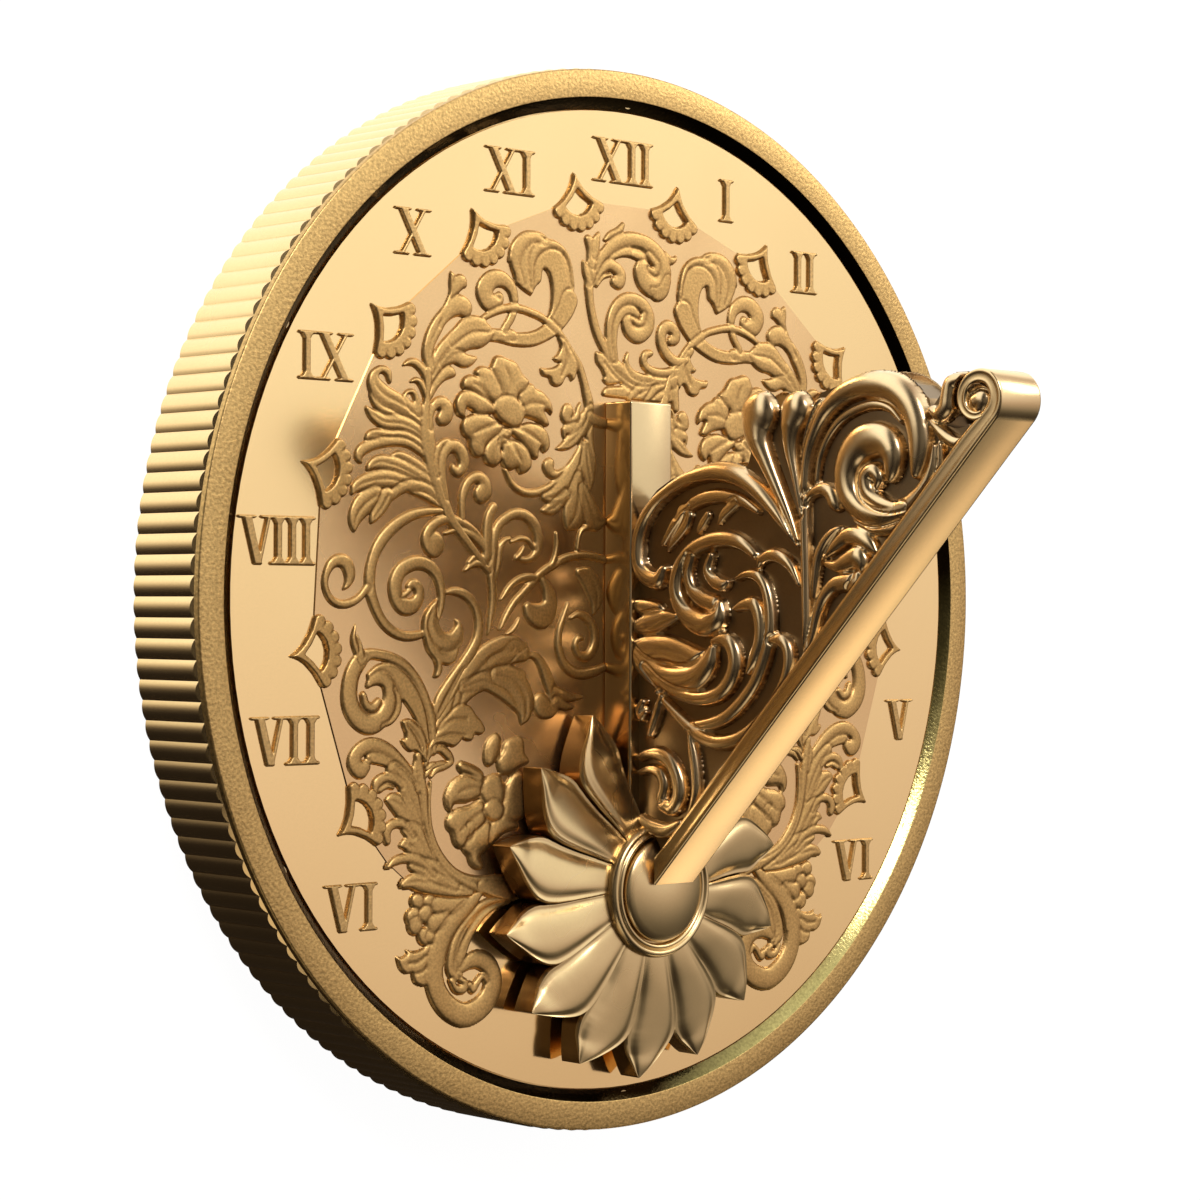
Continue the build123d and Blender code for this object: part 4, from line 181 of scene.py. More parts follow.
def grid_mesh(Z, X, Y, floor, place):
    """Closed shell from a height field: the cells above the floor, with a flat underside. place maps (x, y, h) to 3-D."""
    Zc = np.maximum(Z, floor)
    up = Zc > floor + 0.004
    cell = up[:-1, :-1] | up[1:, :-1] | up[:-1, 1:] | up[1:, 1:]
    idx = np.full(Z.shape, -1); jj, ii = np.nonzero(cell)
    used = np.zeros(Z.shape, bool)
    for dj in (0, 1):
        for di in (0, 1): used[jj + dj, ii + di] = True
    uj, ui = np.nonzero(used)
    idx[uj, ui] = np.arange(len(uj))
    top = np.stack([X[uj, ui], Y[uj, ui], Zc[uj, ui]], 1)
    n = len(uj)
    flat = Zc[uj, ui] <= floor + 0.004
    # a border vertex lies on the floor and is shared with the underside
    full = np.ones(Z.shape, bool)
    cc = np.zeros((Z.shape[0] + 1, Z.shape[1] + 1), bool); cc[1:-1, 1:-1] = cell
    all4 = cc[:-1, :-1] & cc[1:, :-1] & cc[:-1, 1:] & cc[1:, 1:]
    inner = all4[uj, ui]
    low = np.arange(n).copy()
    k = int(inner.sum())
    low[inner] = n + np.arange(k)
    bot = top[inner].copy(); bot[:, 2] = floor
    V = np.concatenate([top, bot])
    a = idx[jj, ii]; b = idx[jj, ii + 1]; c = idx[jj + 1, ii + 1]; d = idx[jj + 1, ii]
    F = np.stack([a, b, c, d], 1)
    G = np.stack([low[a], low[d], low[c], low[b]], 1)
    P = place(V[:, 0], V[:, 1], V[:, 2])
    return P, np.concatenate([F, G])


def fast_object(name, P, F, mat, replaces=(), flip=False, sharp=None):
    me = bpy.data.meshes.new(name)
    F = np.asarray(F)
    if flip: F = F[:, ::-1]
    me.vertices.add(len(P)); me.vertices.foreach_set("co", (np.asarray(P, np.float64) * MM).astype(np.float32).ravel())
    me.loops.add(F.size); me.loops.foreach_set("vertex_index", F.ravel().astype(np.int32))
    me.polygons.add(len(F)); me.polygons.foreach_set("loop_start", (np.arange(len(F)) * F.shape[1]).astype(np.int32))
    me.polygons.foreach_set("use_smooth", np.ones(len(F), bool))
    me.update(calc_edges=True)
    me.validate()
    if sharp is not None:
        me.set_sharp_from_angle(angle=math.radians(sharp))
    me.materials.append(mat)
    ob = link(bpy.data.objects.new(name, me))
    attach(ob, "root")
    if replaces:
        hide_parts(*replaces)
    return ob


# ------------------------------------------------------------------ materials
def nodes_of(name):
    m = bpy.data.materials.new(name)
    m.use_nodes = True
    nt = m.node_tree
    nt.nodes.clear()
    out = nt.nodes.new("ShaderNodeOutputMaterial")
    bs = nt.nodes.new("ShaderNodeBsdfPrincipled")
    nt.links.new(bs.outputs[0], out.inputs[0])
    bs.inputs["Metallic"].default_value = 1.0
    return m, nt, bs


def bronze(name, light, dark, rough, rough_var=0.08, grain=0.0, grain_scale=900.0, patch_scale=30.0, bump_mm=0.02,
           crease_painted_shade=None, aniso=0.0, ripple=0.0):
    """light and dark are the metal's linear colours, mixed by soft patches; grain is a sandblasted bump."""
    m, nt, bs = nodes_of(name)
    tc = nt.nodes.new("ShaderNodeTexCoord")
    n1 = nt.nodes.new("ShaderNodeTexNoise"); n1.inputs["Scale"].default_value = patch_scale; n1.inputs["Detail"].default_value = 3
    nt.links.new(tc.outputs["Object"], n1.inputs["Vector"])
    r1 = nt.nodes.new("ShaderNodeValToRGB")
    r1.color_ramp.elements[0].position = 0.3; r1.color_ramp.elements[0].color = (*dark, 1)
    r1.color_ramp.elements[1].position = 0.7; r1.color_ramp.elements[1].color = (*light, 1)
    nt.links.new(n1.outputs["Fac"], r1.inputs["Fac"])
    col = r1.outputs["Color"]
    # painted shade: concave spots (low pointiness) are multiplied towards the first colour of the pair, standing in for
    # shade in creases and at the relief's foot
    if crease_painted_shade:
        ge = nt.nodes.new("ShaderNodeNewGeometry")
        crease_shade_ramp = nt.nodes.new("ShaderNodeValToRGB")
        crease_shade_ramp.color_ramp.elements[0].position = 0.44; crease_shade_ramp.color_ramp.elements[0].color = (*crease_painted_shade[0], 1)
        crease_shade_ramp.color_ramp.elements[1].position = 0.54; crease_shade_ramp.color_ramp.elements[1].color = (*crease_painted_shade[1], 1)
        e = crease_shade_ramp.color_ramp.elements.new(0.5); e.color = (1, 1, 1, 1)
        nt.links.new(ge.outputs["Pointiness"], crease_shade_ramp.inputs["Fac"])
        mx = nt.nodes.new("ShaderNodeMix"); mx.data_type = "RGBA"; mx.blend_type = "MULTIPLY"; mx.inputs["Factor"].default_value = 1.0
        nt.links.new(col, mx.inputs["A"]); nt.links.new(crease_shade_ramp.outputs["Color"], mx.inputs["B"])
        col = mx.outputs["Result"]
    n2 = nt.nodes.new("ShaderNodeTexNoise"); n2.inputs["Scale"].default_value = grain_scale; n2.inputs["Detail"].default_value = 2
    nt.links.new(tc.outputs["Object"], n2.inputs["Vector"])
    if grain:
        mg = nt.nodes.new("ShaderNodeMapRange")
        mg.inputs["From Min"].default_value = 0.3; mg.inputs["From Max"].default_value = 0.7
        mg.inputs["To Min"].default_value = 1 - grain; mg.inputs["To Max"].default_value = 1.0
        nt.links.new(n2.outputs["Fac"], mg.inputs["Value"])
        mx = nt.nodes.new("ShaderNodeMix"); mx.data_type = "RGBA"; mx.blend_type = "MULTIPLY"; mx.inputs["Factor"].default_value = 1.0
        nt.links.new(col, mx.inputs["A"]); nt.links.new(mg.outputs["Result"], mx.inputs["B"])
        col = mx.outputs["Result"]
    nt.links.new(col, bs.inputs["Base Color"])
    mr = nt.nodes.new("ShaderNodeMapRange")
    mr.inputs["From Min"].default_value = 0.3; mr.inputs["From Max"].default_value = 0.7
    mr.inputs["To Min"].default_value = max(0.02, rough - rough_var); mr.inputs["To Max"].default_value = rough + rough_var
    nt.links.new(n1.outputs["Fac"], mr.inputs["Value"])
    nt.links.new(mr.outputs["Result"], bs.inputs["Roughness"])
    last = None
    if bump_mm:
        bp = nt.nodes.new("ShaderNodeBump"); bp.inputs["Strength"].default_value = 1.0
        bp.inputs["Distance"].default_value = bump_mm * MM
        nt.links.new(n2.outputs["Fac"], bp.inputs["Height"])
        last = bp
    if ripple:
        n4 = nt.nodes.new("ShaderNodeTexNoise"); n4.inputs["Scale"].default_value = 55.0; n4.inputs["Detail"].default_value = 1
        nt.links.new(tc.outputs["Object"], n4.inputs["Vector"])
        b2 = nt.nodes.new("ShaderNodeBump"); b2.inputs["Strength"].default_value = 1.0
        b2.inputs["Distance"].default_value = ripple * MM
        nt.links.new(n4.outputs["Fac"], b2.inputs["Height"])
        if last: nt.links.new(last.outputs["Normal"], b2.inputs["Normal"])
        last = b2
    if last: nt.links.new(last.outputs["Normal"], bs.inputs["Normal"])
    return m


M_drum = bronze("reeded_bronze", (0.93, 0.70, 0.38), (0.86, 0.63, 0.33), 0.25, 0.04, 0.05, 1500, 25, 0.004)
M_rim = bronze("rim_sandblasted_bronze", (0.80, 0.54, 0.225), (0.74, 0.49, 0.20), 0.40, 0.03, 0.42, 1300, 30, 0.10)
M_wall = bronze("rim_wall_bronze", (0.58, 0.50, 0.21), (0.52, 0.44, 0.17), 0.17, 0.03, 0.35, 1300, 40, 0.05)
M_dial = bronze("polished_dial_bronze", (1.0, 0.745, 0.40), (0.97, 0.71, 0.37), 0.12, 0.03, 0.02, 1800, 14, 0.002)
M_plat = bronze("frosted_platform_bronze", (0.86, 0.59, 0.315), (0.80, 0.53, 0.275), 0.25, 0.04, 0.06, 2000, 40, 0.006)
# painted shade: the relief material darkens its creases through the pointiness ramp
M_rel = bronze("sandblasted_relief_bronze", (0.73, 0.465, 0.19), (0.66, 0.41, 0.16), 0.40, 0.04, 0.30, 1700, 50, 0.045,
               crease_painted_shade=((0.36, 0.28, 0.22), (1.0, 1.0, 1.0)))
M_num = bronze("numeral_bronze", (0.78, 0.52, 0.23), (0.70, 0.46, 0.20), 0.40, 0.04, 0.34, 1500, 60, 0.05)
M_gno = bronze("gnomon_bronze", (0.86, 0.655, 0.39), (0.79, 0.585, 0.33), 0.22, 0.03, 0.03, 1500, 30, 0.003)
M_bar = bronze("back_bar_bronze", (0.68, 0.52, 0.31), (0.62, 0.46, 0.26), 0.20, 0.03, 0.03, 1500, 30, 0.003)
M_web = bronze("gnomon_recess_bronze", (0.30, 0.215, 0.13), (0.24, 0.17, 0.10), 0.34, 0.04, 0.08, 2000, 60, 0.01)
# painted shade: the gnomon scroll material darkens its creases through the pointiness ramp
M_gno_rel = bronze("gnomon_scroll_bronze", (0.96, 0.75, 0.475), (0.89, 0.68, 0.42), 0.25, 0.03, 0.03, 1500, 30, 0.003,
                   crease_painted_shade=((0.34, 0.26, 0.20), (1.0, 1.0, 1.0)))
M_flo = bronze("flower_bronze", (0.80, 0.61, 0.345), (0.74, 0.55, 0.30), 0.28, 0.03, 0.03, 1500, 30, 0.003)
M_fix = bronze("fixing_bronze", (0.62, 0.46, 0.26), (0.54, 0.40, 0.22), 0.33, 0.05, 0.08, 900, 80, 0.01)

# painted reflection: the rim's inner wall is painted near-black except to the south-east, where it is left bright,
# standing in for the dark and bright surroundings the wall would mirror
nt_w = M_wall.node_tree
bs_w = [n for n in nt_w.nodes if n.type == "BSDF_PRINCIPLED"][0]
tc_w = nt_w.nodes.new("ShaderNodeTexCoord"); sp_w = nt_w.nodes.new("ShaderNodeSeparateXYZ")
nt_w.links.new(tc_w.outputs["Object"], sp_w.inputs[0])
dx_w = nt_w.nodes.new("ShaderNodeMath"); dx_w.operation = "MULTIPLY"; dx_w.inputs[1].default_value = 0.766 / 0.117
dy_w = nt_w.nodes.new("ShaderNodeMath"); dy_w.operation = "MULTIPLY_ADD"; dy_w.inputs[1].default_value = -0.643 / 0.117
nt_w.links.new(sp_w.outputs[0], dx_w.inputs[0]); nt_w.links.new(sp_w.outputs[1], dy_w.inputs[0]); nt_w.links.new(dx_w.outputs[0], dy_w.inputs[2])
# painted reflection ramp: near-black over most of the wall, white (colour unchanged) towards the south-east
wall_painted_reflection_ramp = nt_w.nodes.new("ShaderNodeValToRGB")
wall_painted_reflection_ramp.color_ramp.elements[0].position = 0.72; wall_painted_reflection_ramp.color_ramp.elements[0].color = (0.07, 0.05, 0.035, 1)
wall_painted_reflection_ramp.color_ramp.elements[1].position = 0.93; wall_painted_reflection_ramp.color_ramp.elements[1].color = (1, 1, 1, 1)
nt_w.links.new(dy_w.outputs[0], wall_painted_reflection_ramp.inputs["Fac"])
wall_painted_reflection_mix = nt_w.nodes.new("ShaderNodeMix"); wall_painted_reflection_mix.data_type = "RGBA"; wall_painted_reflection_mix.blend_type = "MULTIPLY"; wall_painted_reflection_mix.inputs["Factor"].default_value = 1.0
nt_w.links.new(bs_w.inputs["Base Color"].links[0].from_socket, wall_painted_reflection_mix.inputs["A"]); nt_w.links.new(wall_painted_reflection_ramp.outputs["Color"], wall_painted_reflection_mix.inputs["B"])
nt_w.links.new(wall_painted_reflection_mix.outputs["Result"], bs_w.inputs["Base Color"])

# ------------------------------------------------------------------ ornament: strokes and outlines in mm
# entry: (kind, profile, height, points); strokes have (x, y, width), outlines (x, y, corner)
ORN = {
    "upper_scroll": [
        ("p", "b", 1, [(-17.08, 72.5, 0), (-17.42, 75.42, 0), (-18.33, 78.33, 0), (-20, 81.04, 0), (-22.5, 82.92, 0), (-25, 83.42, 0), (-27.08, 84.5,
         0), (-30, 84.92, 0), (-32.92, 84.5, 0), (-35.42, 82.92, 0), (-37.08, 80.83, 0), (-37.71, 78.33, 0), (-37.83, 76.88, 1), (-36.25, 77.17, 0),
         (-36.33, 75, 0), (-35.42, 72.5, 0), (-33.33, 71.04, 0), (-30.62, 69.79, 1), (-29.17, 72.08, 0), (-27.71, 73.33, 0), (-27.29, 75.62, 0),
         (-26.67, 76.33, 0), (-25.21, 75.21, 0), (-24.38, 72.92, 0), (-24.17, 70, 0), (-24.58, 67.08, 0), (-25.62, 65, 0), (-26.67, 63.96, 0), (-25,
         61.67, 0), (-23.33, 61.67, 0), (-20.83, 64.17, 0), (-18.33, 67.5, 0)]),
        ("s", "r", 1.5, [(-17.71, 73.33, 1), (-18.33, 77.08, 1.2), (-20, 80.42, 1.5), (-22.92, 82.08, 2), (-26.25, 82.08, 2.4), (-29.17, 80.42, 2.6),
         (-30.62, 77.92, 2), (-30.83, 75, 1.4), (-30.62, 71.67, 0.8)]),
        ("s", "r", 1.25, [(-26.67, 82.5, 1.4), (-30, 83.33, 2.2), (-33.33, 82.08, 3.4), (-35.42, 79.17, 3.6), (-35.62, 75.83, 2.4), (-33.75, 72.5,
         1.2)]),
        ("s", "g", 0.7, [(-20.83, 80, 1), (-19.58, 76.67, 1), (-18.96, 72.5, 1), (-20, 68.33, 1), (-22.08, 64.58, 1)]),
        ("s", "b", 0.95, [(-43.75, 59.83, 2.6), (-40, 59.92, 3), (-35.83, 59.5, 3.2), (-30.83, 59.79, 3.4), (-26.67, 61.25, 3.6), (-22.92, 63.67,
         4.2), (-20, 67.08, 5), (-18.75, 69.58, 5.4)]),
        ("s", "r", 1, [(-36.46, 60.42, 2.6), (-40.83, 60.21, 2.6), (-43.12, 60.62, 2), (-45, 61.04, 1.2)]),
        ("s", "r", 0.95, [(-38.75, 61.67, 2), (-36.58, 64.58, 2.2), (-35.75, 67.92, 2.4), (-36.67, 71.04, 3), (-39.38, 72.92, 3.8), (-42.71, 72.58,
         4.4), (-44.92, 70, 5), (-43.67, 67.58, 4.6), (-41.04, 67.92, 3.6), (-40.33, 69.08, 2.2)]),
        ("s", "g", 0.9, [(-36.88, 67.5, 0.5), (-38.75, 69.79, 0.7), (-40.83, 70.21, 0.7), (-41.88, 69.38, 0.7), (-40.83, 68.54, 0.6)]),
        ("s", "r", 1.15, [(-45.83, 63.25, 1.4), (-43.33, 64.67, 1.6), (-40, 65.96, 1.8), (-36.67, 66.67, 1.9), (-33.75, 66.58, 1.9), (-30.83, 66.04,
         1.9), (-26.67, 64.79, 1.9), (-21.67, 61.67, 2), (-18.33, 57.92, 2.2), (-15.42, 54.58, 2.2), (-13.75, 50.83, 2.3), (-12.71, 47.5, 2.6)]),
        ("s", "l", 1.2, [(-61.46, 47.92, 1.6), (-59.58, 51.67, 3.4), (-57.29, 54.79, 4.6), (-53.96, 57.29, 5.6), (-50, 59.58, 6.8), (-47.08, 60.08,
         6.8), (-44.79, 60.42, 4.8), (-43.12, 60.75, 1.4)]),
        ("s", "r", 1, [(-57.5, 52.5, 1.6), (-54.17, 54.38, 3.2), (-51.25, 53.75, 3.4), (-49.17, 53.83, 2.4), (-47.25, 54.5, 0.7)]),
        ("s", "r", 1.2, [(-55, 57.5, 1.6), (-52.5, 60.21, 3), (-49.58, 62.08, 3.6), (-46.25, 62.29, 3.2), (-43.33, 61.25, 1)]),
        ("s", "l", 1.2, [(-61.17, 50.83, 2), (-61.88, 54.17, 2.8), (-61.04, 57.5, 3.4), (-58.83, 61.25, 3.6), (-55.83, 65, 2.8), (-54.5, 68.33, 2.2),
         (-54.17, 71.25, 2.6), (-54.92, 73.33, 0.6)]),
        ("s", "r", 1.15, [(-54.79, 68.12, 1.4), (-53.33, 70.21, 3), (-52.08, 71.46, 3.4), (-50.92, 70.75, 1.4)]),
        ("s", "r", 1.15, [(-57.92, 61.25, 1.4), (-55.42, 64.38, 3.2), (-52.71, 66.04, 4.8), (-50.83, 65.62, 4.4), (-50.08, 65.33, 2)]),
        ("s", "r", 1.1, [(-61.42, 44.38, 1.4), (-59.58, 47.5, 2), (-57.29, 49.79, 2.4), (-55.21, 50.83, 2.8), (-53.54, 50.25, 0.5)]),
        ("s", "r", 1.1, [(-61.67, 47.5, 1.4), (-62.83, 50.33, 2), (-64.92, 52.17, 2.1), (-67, 52.42, 1.5), (-68.83, 51.58, 0.5)]),
        ("s", "r", 1.1, [(-61.83, 44.08, 1.3), (-63.12, 47, 1.7), (-64.79, 48.5, 1.4), (-66.75, 48.08, 0.5)]),
        ("p", "b", 0.95, [(-22.17, 60.75, 0), (-21.33, 58.75, 0), (-22.29, 56.88, 0), (-23.83, 55.83, 1), (-22.71, 55, 0), (-21.58, 55.08, 0), (-22.5,
         54.17, 0), (-24.17, 53.54, 0), (-26.67, 53.33, 0), (-27.71, 53.58, 1), (-27.08, 51.67, 0), (-25, 51.25, 0), (-24.17, 49.79, 0), (-22.5,
         49.33, 0), (-20.83, 49.92, 0), (-20, 51.25, 0), (-19.17, 52, 0), (-18.33, 51.67, 0), (-18, 50.75, 1), (-16.83, 51.46, 0), (-16.17, 53.33, 0),
         (-16.25, 55, 0), (-17.29, 56.67, 0), (-18.96, 58.75, 0), (-20.42, 60.42, 0)]),
        ("s", "g", 0.85, [(-20.42, 59.17, 0.5), (-19.58, 55.83, 0.7), (-21.25, 52.08, 0.5)]),
    ],
    "side_leaf": [
        ("s", "l", 1.1, [(-63.33, 36.25, 2.2), (-67.5, 38.96, 4.2), (-72.08, 41.46, 4.8), (-75.42, 43.12, 4.2), (-77.29, 44.58, 2.4)]),
        ("s", "l", 1.2, [(-62.08, 37.92, 2.2), (-65.83, 41.04, 3.4), (-70, 43.12, 4.2), (-74.17, 44.58, 4.8), (-76.79, 46.67, 4.2), (-77.08, 48.96,
         2.4), (-75.21, 50.33, 1.7), (-73.25, 49.75, 2), (-72.67, 47.83, 1.2)]),
        ("s", "r", 1.1, [(-66.04, 42.29, 2.4), (-67.29, 43.33, 1.6), (-68.33, 44.79, 1), (-67.5, 45.75, 1), (-65.83, 45.75, 1.4), (-64.92, 44.17,
         1.8), (-64.38, 41.67, 2.6)]),
        ("s", "l", 1.15, [(-61.67, 35, 2.2), (-65.83, 37.5, 3.4), (-70, 38.67, 3.6), (-74.17, 38.75, 3.2), (-77.08, 39.92, 2.6), (-78.67, 41.17, 1.5),
         (-79.25, 41.92, 0.5)]),
        ("s", "l", 1.15, [(-60.83, 31.25, 2), (-64.17, 33.75, 3), (-68.33, 35.42, 3.2), (-72.5, 35.33, 3.2), (-76.25, 35.75, 3), (-78.33, 35.58, 2),
         (-79.42, 34.71, 0.6)]),
        ("s", "r", 1.1, [(-62.92, 32.08, 1.4), (-67.5, 34.25, 1.8), (-72.5, 34.5, 2.2), (-77.08, 33.67, 2.4), (-80.33, 32.42, 2.8), (-81.42, 30.83,
         2.2), (-80.75, 29.67, 0.9)]),
        ("s", "r", 1.1, [(-57.5, 22.92, 2), (-60.83, 26.25, 3), (-64.17, 29.08, 3), (-67.5, 30.75, 2.6), (-70, 31.58, 2), (-71.92, 31.42, 0.8)]),
        ("s", "l", 1.1, [(-58.75, 23.75, 2), (-63.33, 26.25, 3.6), (-67.5, 28.12, 3.8), (-71.67, 29.38, 3.8), (-75.42, 29.92, 3.2), (-77.92, 29.08,
         2), (-79, 28.08, 0.6)]),
        ("s", "l", 1.1, [(-58.33, 21.25, 2), (-63.33, 23.75, 3), (-68.33, 25.42, 3.6), (-73.33, 26.25, 4), (-78.33, 25.62, 3.8), (-81.88, 24.38, 2.6),
         (-83.17, 22.83, 1)]),
        ("s", "r", 1.1, [(-56.67, 20.62, 1.6), (-60, 23.67, 2), (-64.17, 24.92, 2.4), (-68.33, 24.58, 2.6), (-71.67, 22.83, 2.4), (-74.17, 20.62, 2),
         (-75, 18.54, 1.2)]),
        ("s", "l", 1, [(-76.67, 22.5, 4.6), (-80, 20.42, 5.2), (-82.08, 17.92, 4), (-82.58, 15.83, 2.4), (-82.5, 14.42, 0.5)]),
        ("s", "l", 1, [(-73.33, 22.5, 3.6), (-75, 20, 3.4), (-76.67, 18.12, 2.6), (-77.71, 16.67, 1)]),
        ("s", "r", 1.3, [(-61.75, 50.83, 2.4), (-61.83, 47.5, 2.2), (-62.04, 44.58, 1.7), (-62, 42.5, 2.6), (-61.88, 39.17, 3.8), (-61.67, 35.42,
         4.2), (-60.62, 30.83, 4), (-58.75, 26.25, 3.6), (-57, 22.08, 3.2), (-55.42, 18.75, 3), (-52.92, 15.83, 2.6), (-50, 12.92, 2.2), (-47.08, 10,
         2), (-45, 7.92, 1.6)]),
        ("s", "r", 1.25, [(-61.04, 37.92, 1), (-60.71, 41.04, 1.6), (-59.5, 43.25, 2.4), (-57.71, 43.75, 3.2), (-56.25, 42.71, 4), (-56.46, 41.04,
         4.2), (-57.5, 40.21, 3.2)]),
        ("s", "r", 1.1, [(-58.96, 27.5, 1), (-59.08, 31.25, 2), (-57.92, 33.96, 2.2), (-55.83, 35, 2), (-54.38, 34.58, 1.2)]),
        ("s", "r", 1.25, [(-56.04, 22.5, 1.2), (-57.29, 27.08, 2), (-57.29, 31.25, 2.4), (-55.62, 33.75, 2.8), (-53.33, 34.17, 3.2), (-51.46, 32.5,
         3.4), (-51.04, 30.21, 3), (-52.29, 28.54, 2.6), (-53.96, 28.96, 1.8), (-54.25, 29.88, 1)]),
        ("s", "r", 1.2, [(-51.46, 17.92, 1.6), (-51.46, 22.08, 2), (-50.42, 25.08, 2.4), (-48.54, 27, 2.4), (-46.46, 27.42, 2.8), (-44.79, 26.25,
         3.4), (-44.79, 24.38, 4.6), (-45.62, 23.67, 4.4)]),
    ],
    "side_scroll": [
        ("s", "r", 1.15, [(-57.5, 19.58, 1.6), (-61.67, 19.33, 2), (-65.83, 18.5, 2.4), (-70, 16.58, 2.8), (-73.33, 14.08, 3), (-75.83, 11.17, 3),
         (-77.42, 7.92, 2.8), (-78.04, 4.58, 3), (-77.92, 1.67, 3), (-76.67, -1.67, 2.8), (-74.58, -5, 2.6), (-71.67, -7.29, 2.4), (-68.33, -8.42,
         2.2), (-65, -8.42, 2), (-62.29, -7.83, 1.6)]),
        ("s", "r", 1.15, [(-78.96, 2.08, 1.8), (-81.04, 0, 1.8), (-83.75, -1.25, 1.8), (-86.67, -1.38, 1.8), (-89.17, -0.08, 1.8), (-90.5, 2.5, 1.7),
         (-90.21, 5, 1.8), (-88.75, 7.29, 2.4), (-86.67, 8.12, 2.8), (-84.58, 7.29, 3.4), (-83.67, 5, 3), (-84.25, 3, 1.8), (-85.42, 1.88, 0.6)]),
        ("s", "r", 1.2, [(-58.54, -5, 1), (-57.62, -2.08, 1.8), (-57.42, 1.25, 2.4), (-58.33, 4.38, 2.8), (-60.42, 6.75, 3), (-63.33, 7.83, 3.2),
         (-66.25, 7.5, 3.4), (-69.17, 6.04, 3.6), (-70.83, 3.12, 3.8), (-70.33, 0, 4), (-68.33, -1.88, 4), (-65.62, -1.67, 3.6), (-63.96, 0.21, 3),
         (-64.25, 2.29, 2.8), (-65.83, 3.12, 2.4), (-67, 2.5, 1.6)]),
        ("s", "g", 0.9, [(-59.17, -3.33, 0.6), (-58.83, 0.42, 0.8), (-59.79, 3.33, 0.9), (-62.08, 5.42, 0.9), (-65, 5.83, 0.9), (-67.5, 4.79, 0.9),
         (-68.33, 2.5, 0.8), (-67.5, 1.25, 0.6)]),
        ("s", "r", 1.3, [(-68.96, 0.42, 1), (-67.71, 1.04, 1.5), (-66.67, 1.67, 1.2)]),
        ("s", "r", 1.2, [(-44.38, 12.29, 1.4), (-47.08, 14.58, 1.8), (-49.58, 16.25, 1.9), (-52.5, 17.42, 2), (-55.42, 17.83, 2.2), (-58.33, 17.17,
         2.4), (-60.62, 15.62, 2.8), (-61.67, 13.54, 3.4), (-60.83, 12.08, 4.6), (-59.67, 12, 6)]),
        ("s", "r", 1.1, [(-43.54, 9.58, 1.4), (-45.42, 12.08, 1.8), (-48.75, 14.38, 1.8), (-52.92, 15.33, 1.5), (-56.46, 14.58, 0.9)]),
        ("s", "r", 1.15, [(-56.04, 1.33, 1), (-53.33, 1.58, 1.8), (-50, 0.62, 2.2), (-47.5, -1.67, 2.4), (-46.25, -5, 2.4), (-46.46, -8.75, 2.6),
         (-48.33, -12.08, 2.8), (-51.25, -15.42, 2.8), (-55, -19.58, 3), (-57.92, -23.33, 3), (-59.25, -27.08, 2)]),
        ("s", "r", 1.1, [(-51.25, -16.25, 1), (-53.75, -20, 1.6), (-56.25, -23.75, 1.8), (-58.33, -26.67, 1.2)]),
        ("p", "b", 1.2, [(-58.83, -0.08, 1), (-60.83, -1.67, 0), (-62.5, -3.75, 0), (-63.12, -6.67, 0), (-62.58, -9.17, 0), (-61.58, -11.88, 0),
         (-59.58, -13.96, 0), (-59.08, -15.83, 0), (-59.79, -17.79, 1), (-58.12, -17.71, 0), (-57.08, -15.92, 0), (-57.29, -14.79, 0), (-55.42,
         -15.08, 0), (-53.33, -14.25, 0), (-52.42, -12.29, 0), (-52.29, -11.46, 0), (-51.17, -10, 0), (-50.83, -7.5, 0), (-51.67, -5.42, 0), (-53.25,
         -4.58, 1), (-53.33, -6.25, 0), (-55, -7.71, 0), (-57.08, -7.29, 0), (-58.33, -5.42, 0), (-59.08, -3.33, 0), (-58.92, -1.67, 0)]),
        ("s", "r", 1.45, [(-59.58, -2.5, 1.4), (-60.42, -5.83, 2.4), (-58.75, -8.75, 3), (-55.42, -10, 3.4), (-52.5, -8.33, 2.4), (-52.29, -5.83,
         1.2)]),
        ("s", "g", 0.9, [(-57.92, -11.67, 0.7), (-55.42, -12.17, 0.8), (-52.71, -11.46, 0.6)]),
        ("s", "b", 0.9, [(-61.67, -32.08, 2), (-62.92, -27.92, 3), (-64.79, -23.75, 4.4), (-67.71, -20.21, 5), (-71.04, -17.71, 5.2), (-74.58, -16.67,
         4.4), (-77.5, -17.29, 2.6)]),
        ("s", "r", 1.1, [(-59.5, -34.17, 2.2), (-59.79, -30, 2.4), (-60.58, -25.83, 2.4), (-62.08, -22.08, 2.4), (-64.58, -18.12, 2.4), (-67.92, -15,
         2.4), (-71.67, -13.33, 2.4), (-75.42, -12.58, 2.4), (-78.33, -12.5, 2.6), (-80.83, -13.96, 4), (-82.71, -16.67, 4.4), (-83.54, -20, 4.6),
         (-83.33, -23.33, 4.8), (-81.67, -26.04, 4.8), (-78.75, -27.71, 4.8), (-75.83, -27.29, 4.6), (-73.33, -25.21, 4.4), (-72.08, -22.08, 4.2),
         (-72.71, -19.17, 3.6), (-75, -17.71, 3.2), (-77.29, -18.25, 2.4), (-78.54, -19.38, 1.2)]),
        ("s", "g", 1, [(-80.62, -16.67, 0.8), (-81.25, -20, 0.9), (-80.62, -22.92, 0.9), (-78.33, -25, 0.9), (-75.83, -24.58, 0.9), (-74.38, -22.08,
         0.9), (-74.79, -20, 0.7)]),
        ("s", "r", 1.4, [(-79.79, -21.46, 1.8), (-78.96, -23.54, 2.2), (-77.08, -24.17, 2.2), (-75.62, -22.92, 1.8)]),
        ("s", "r", 1.05, [(-71.04, -20, 0.8), (-69.79, -22.08, 1.6), (-70, -25, 1.8), (-71.88, -27.29, 1.4), (-74.58, -28.33, 0.8)]),
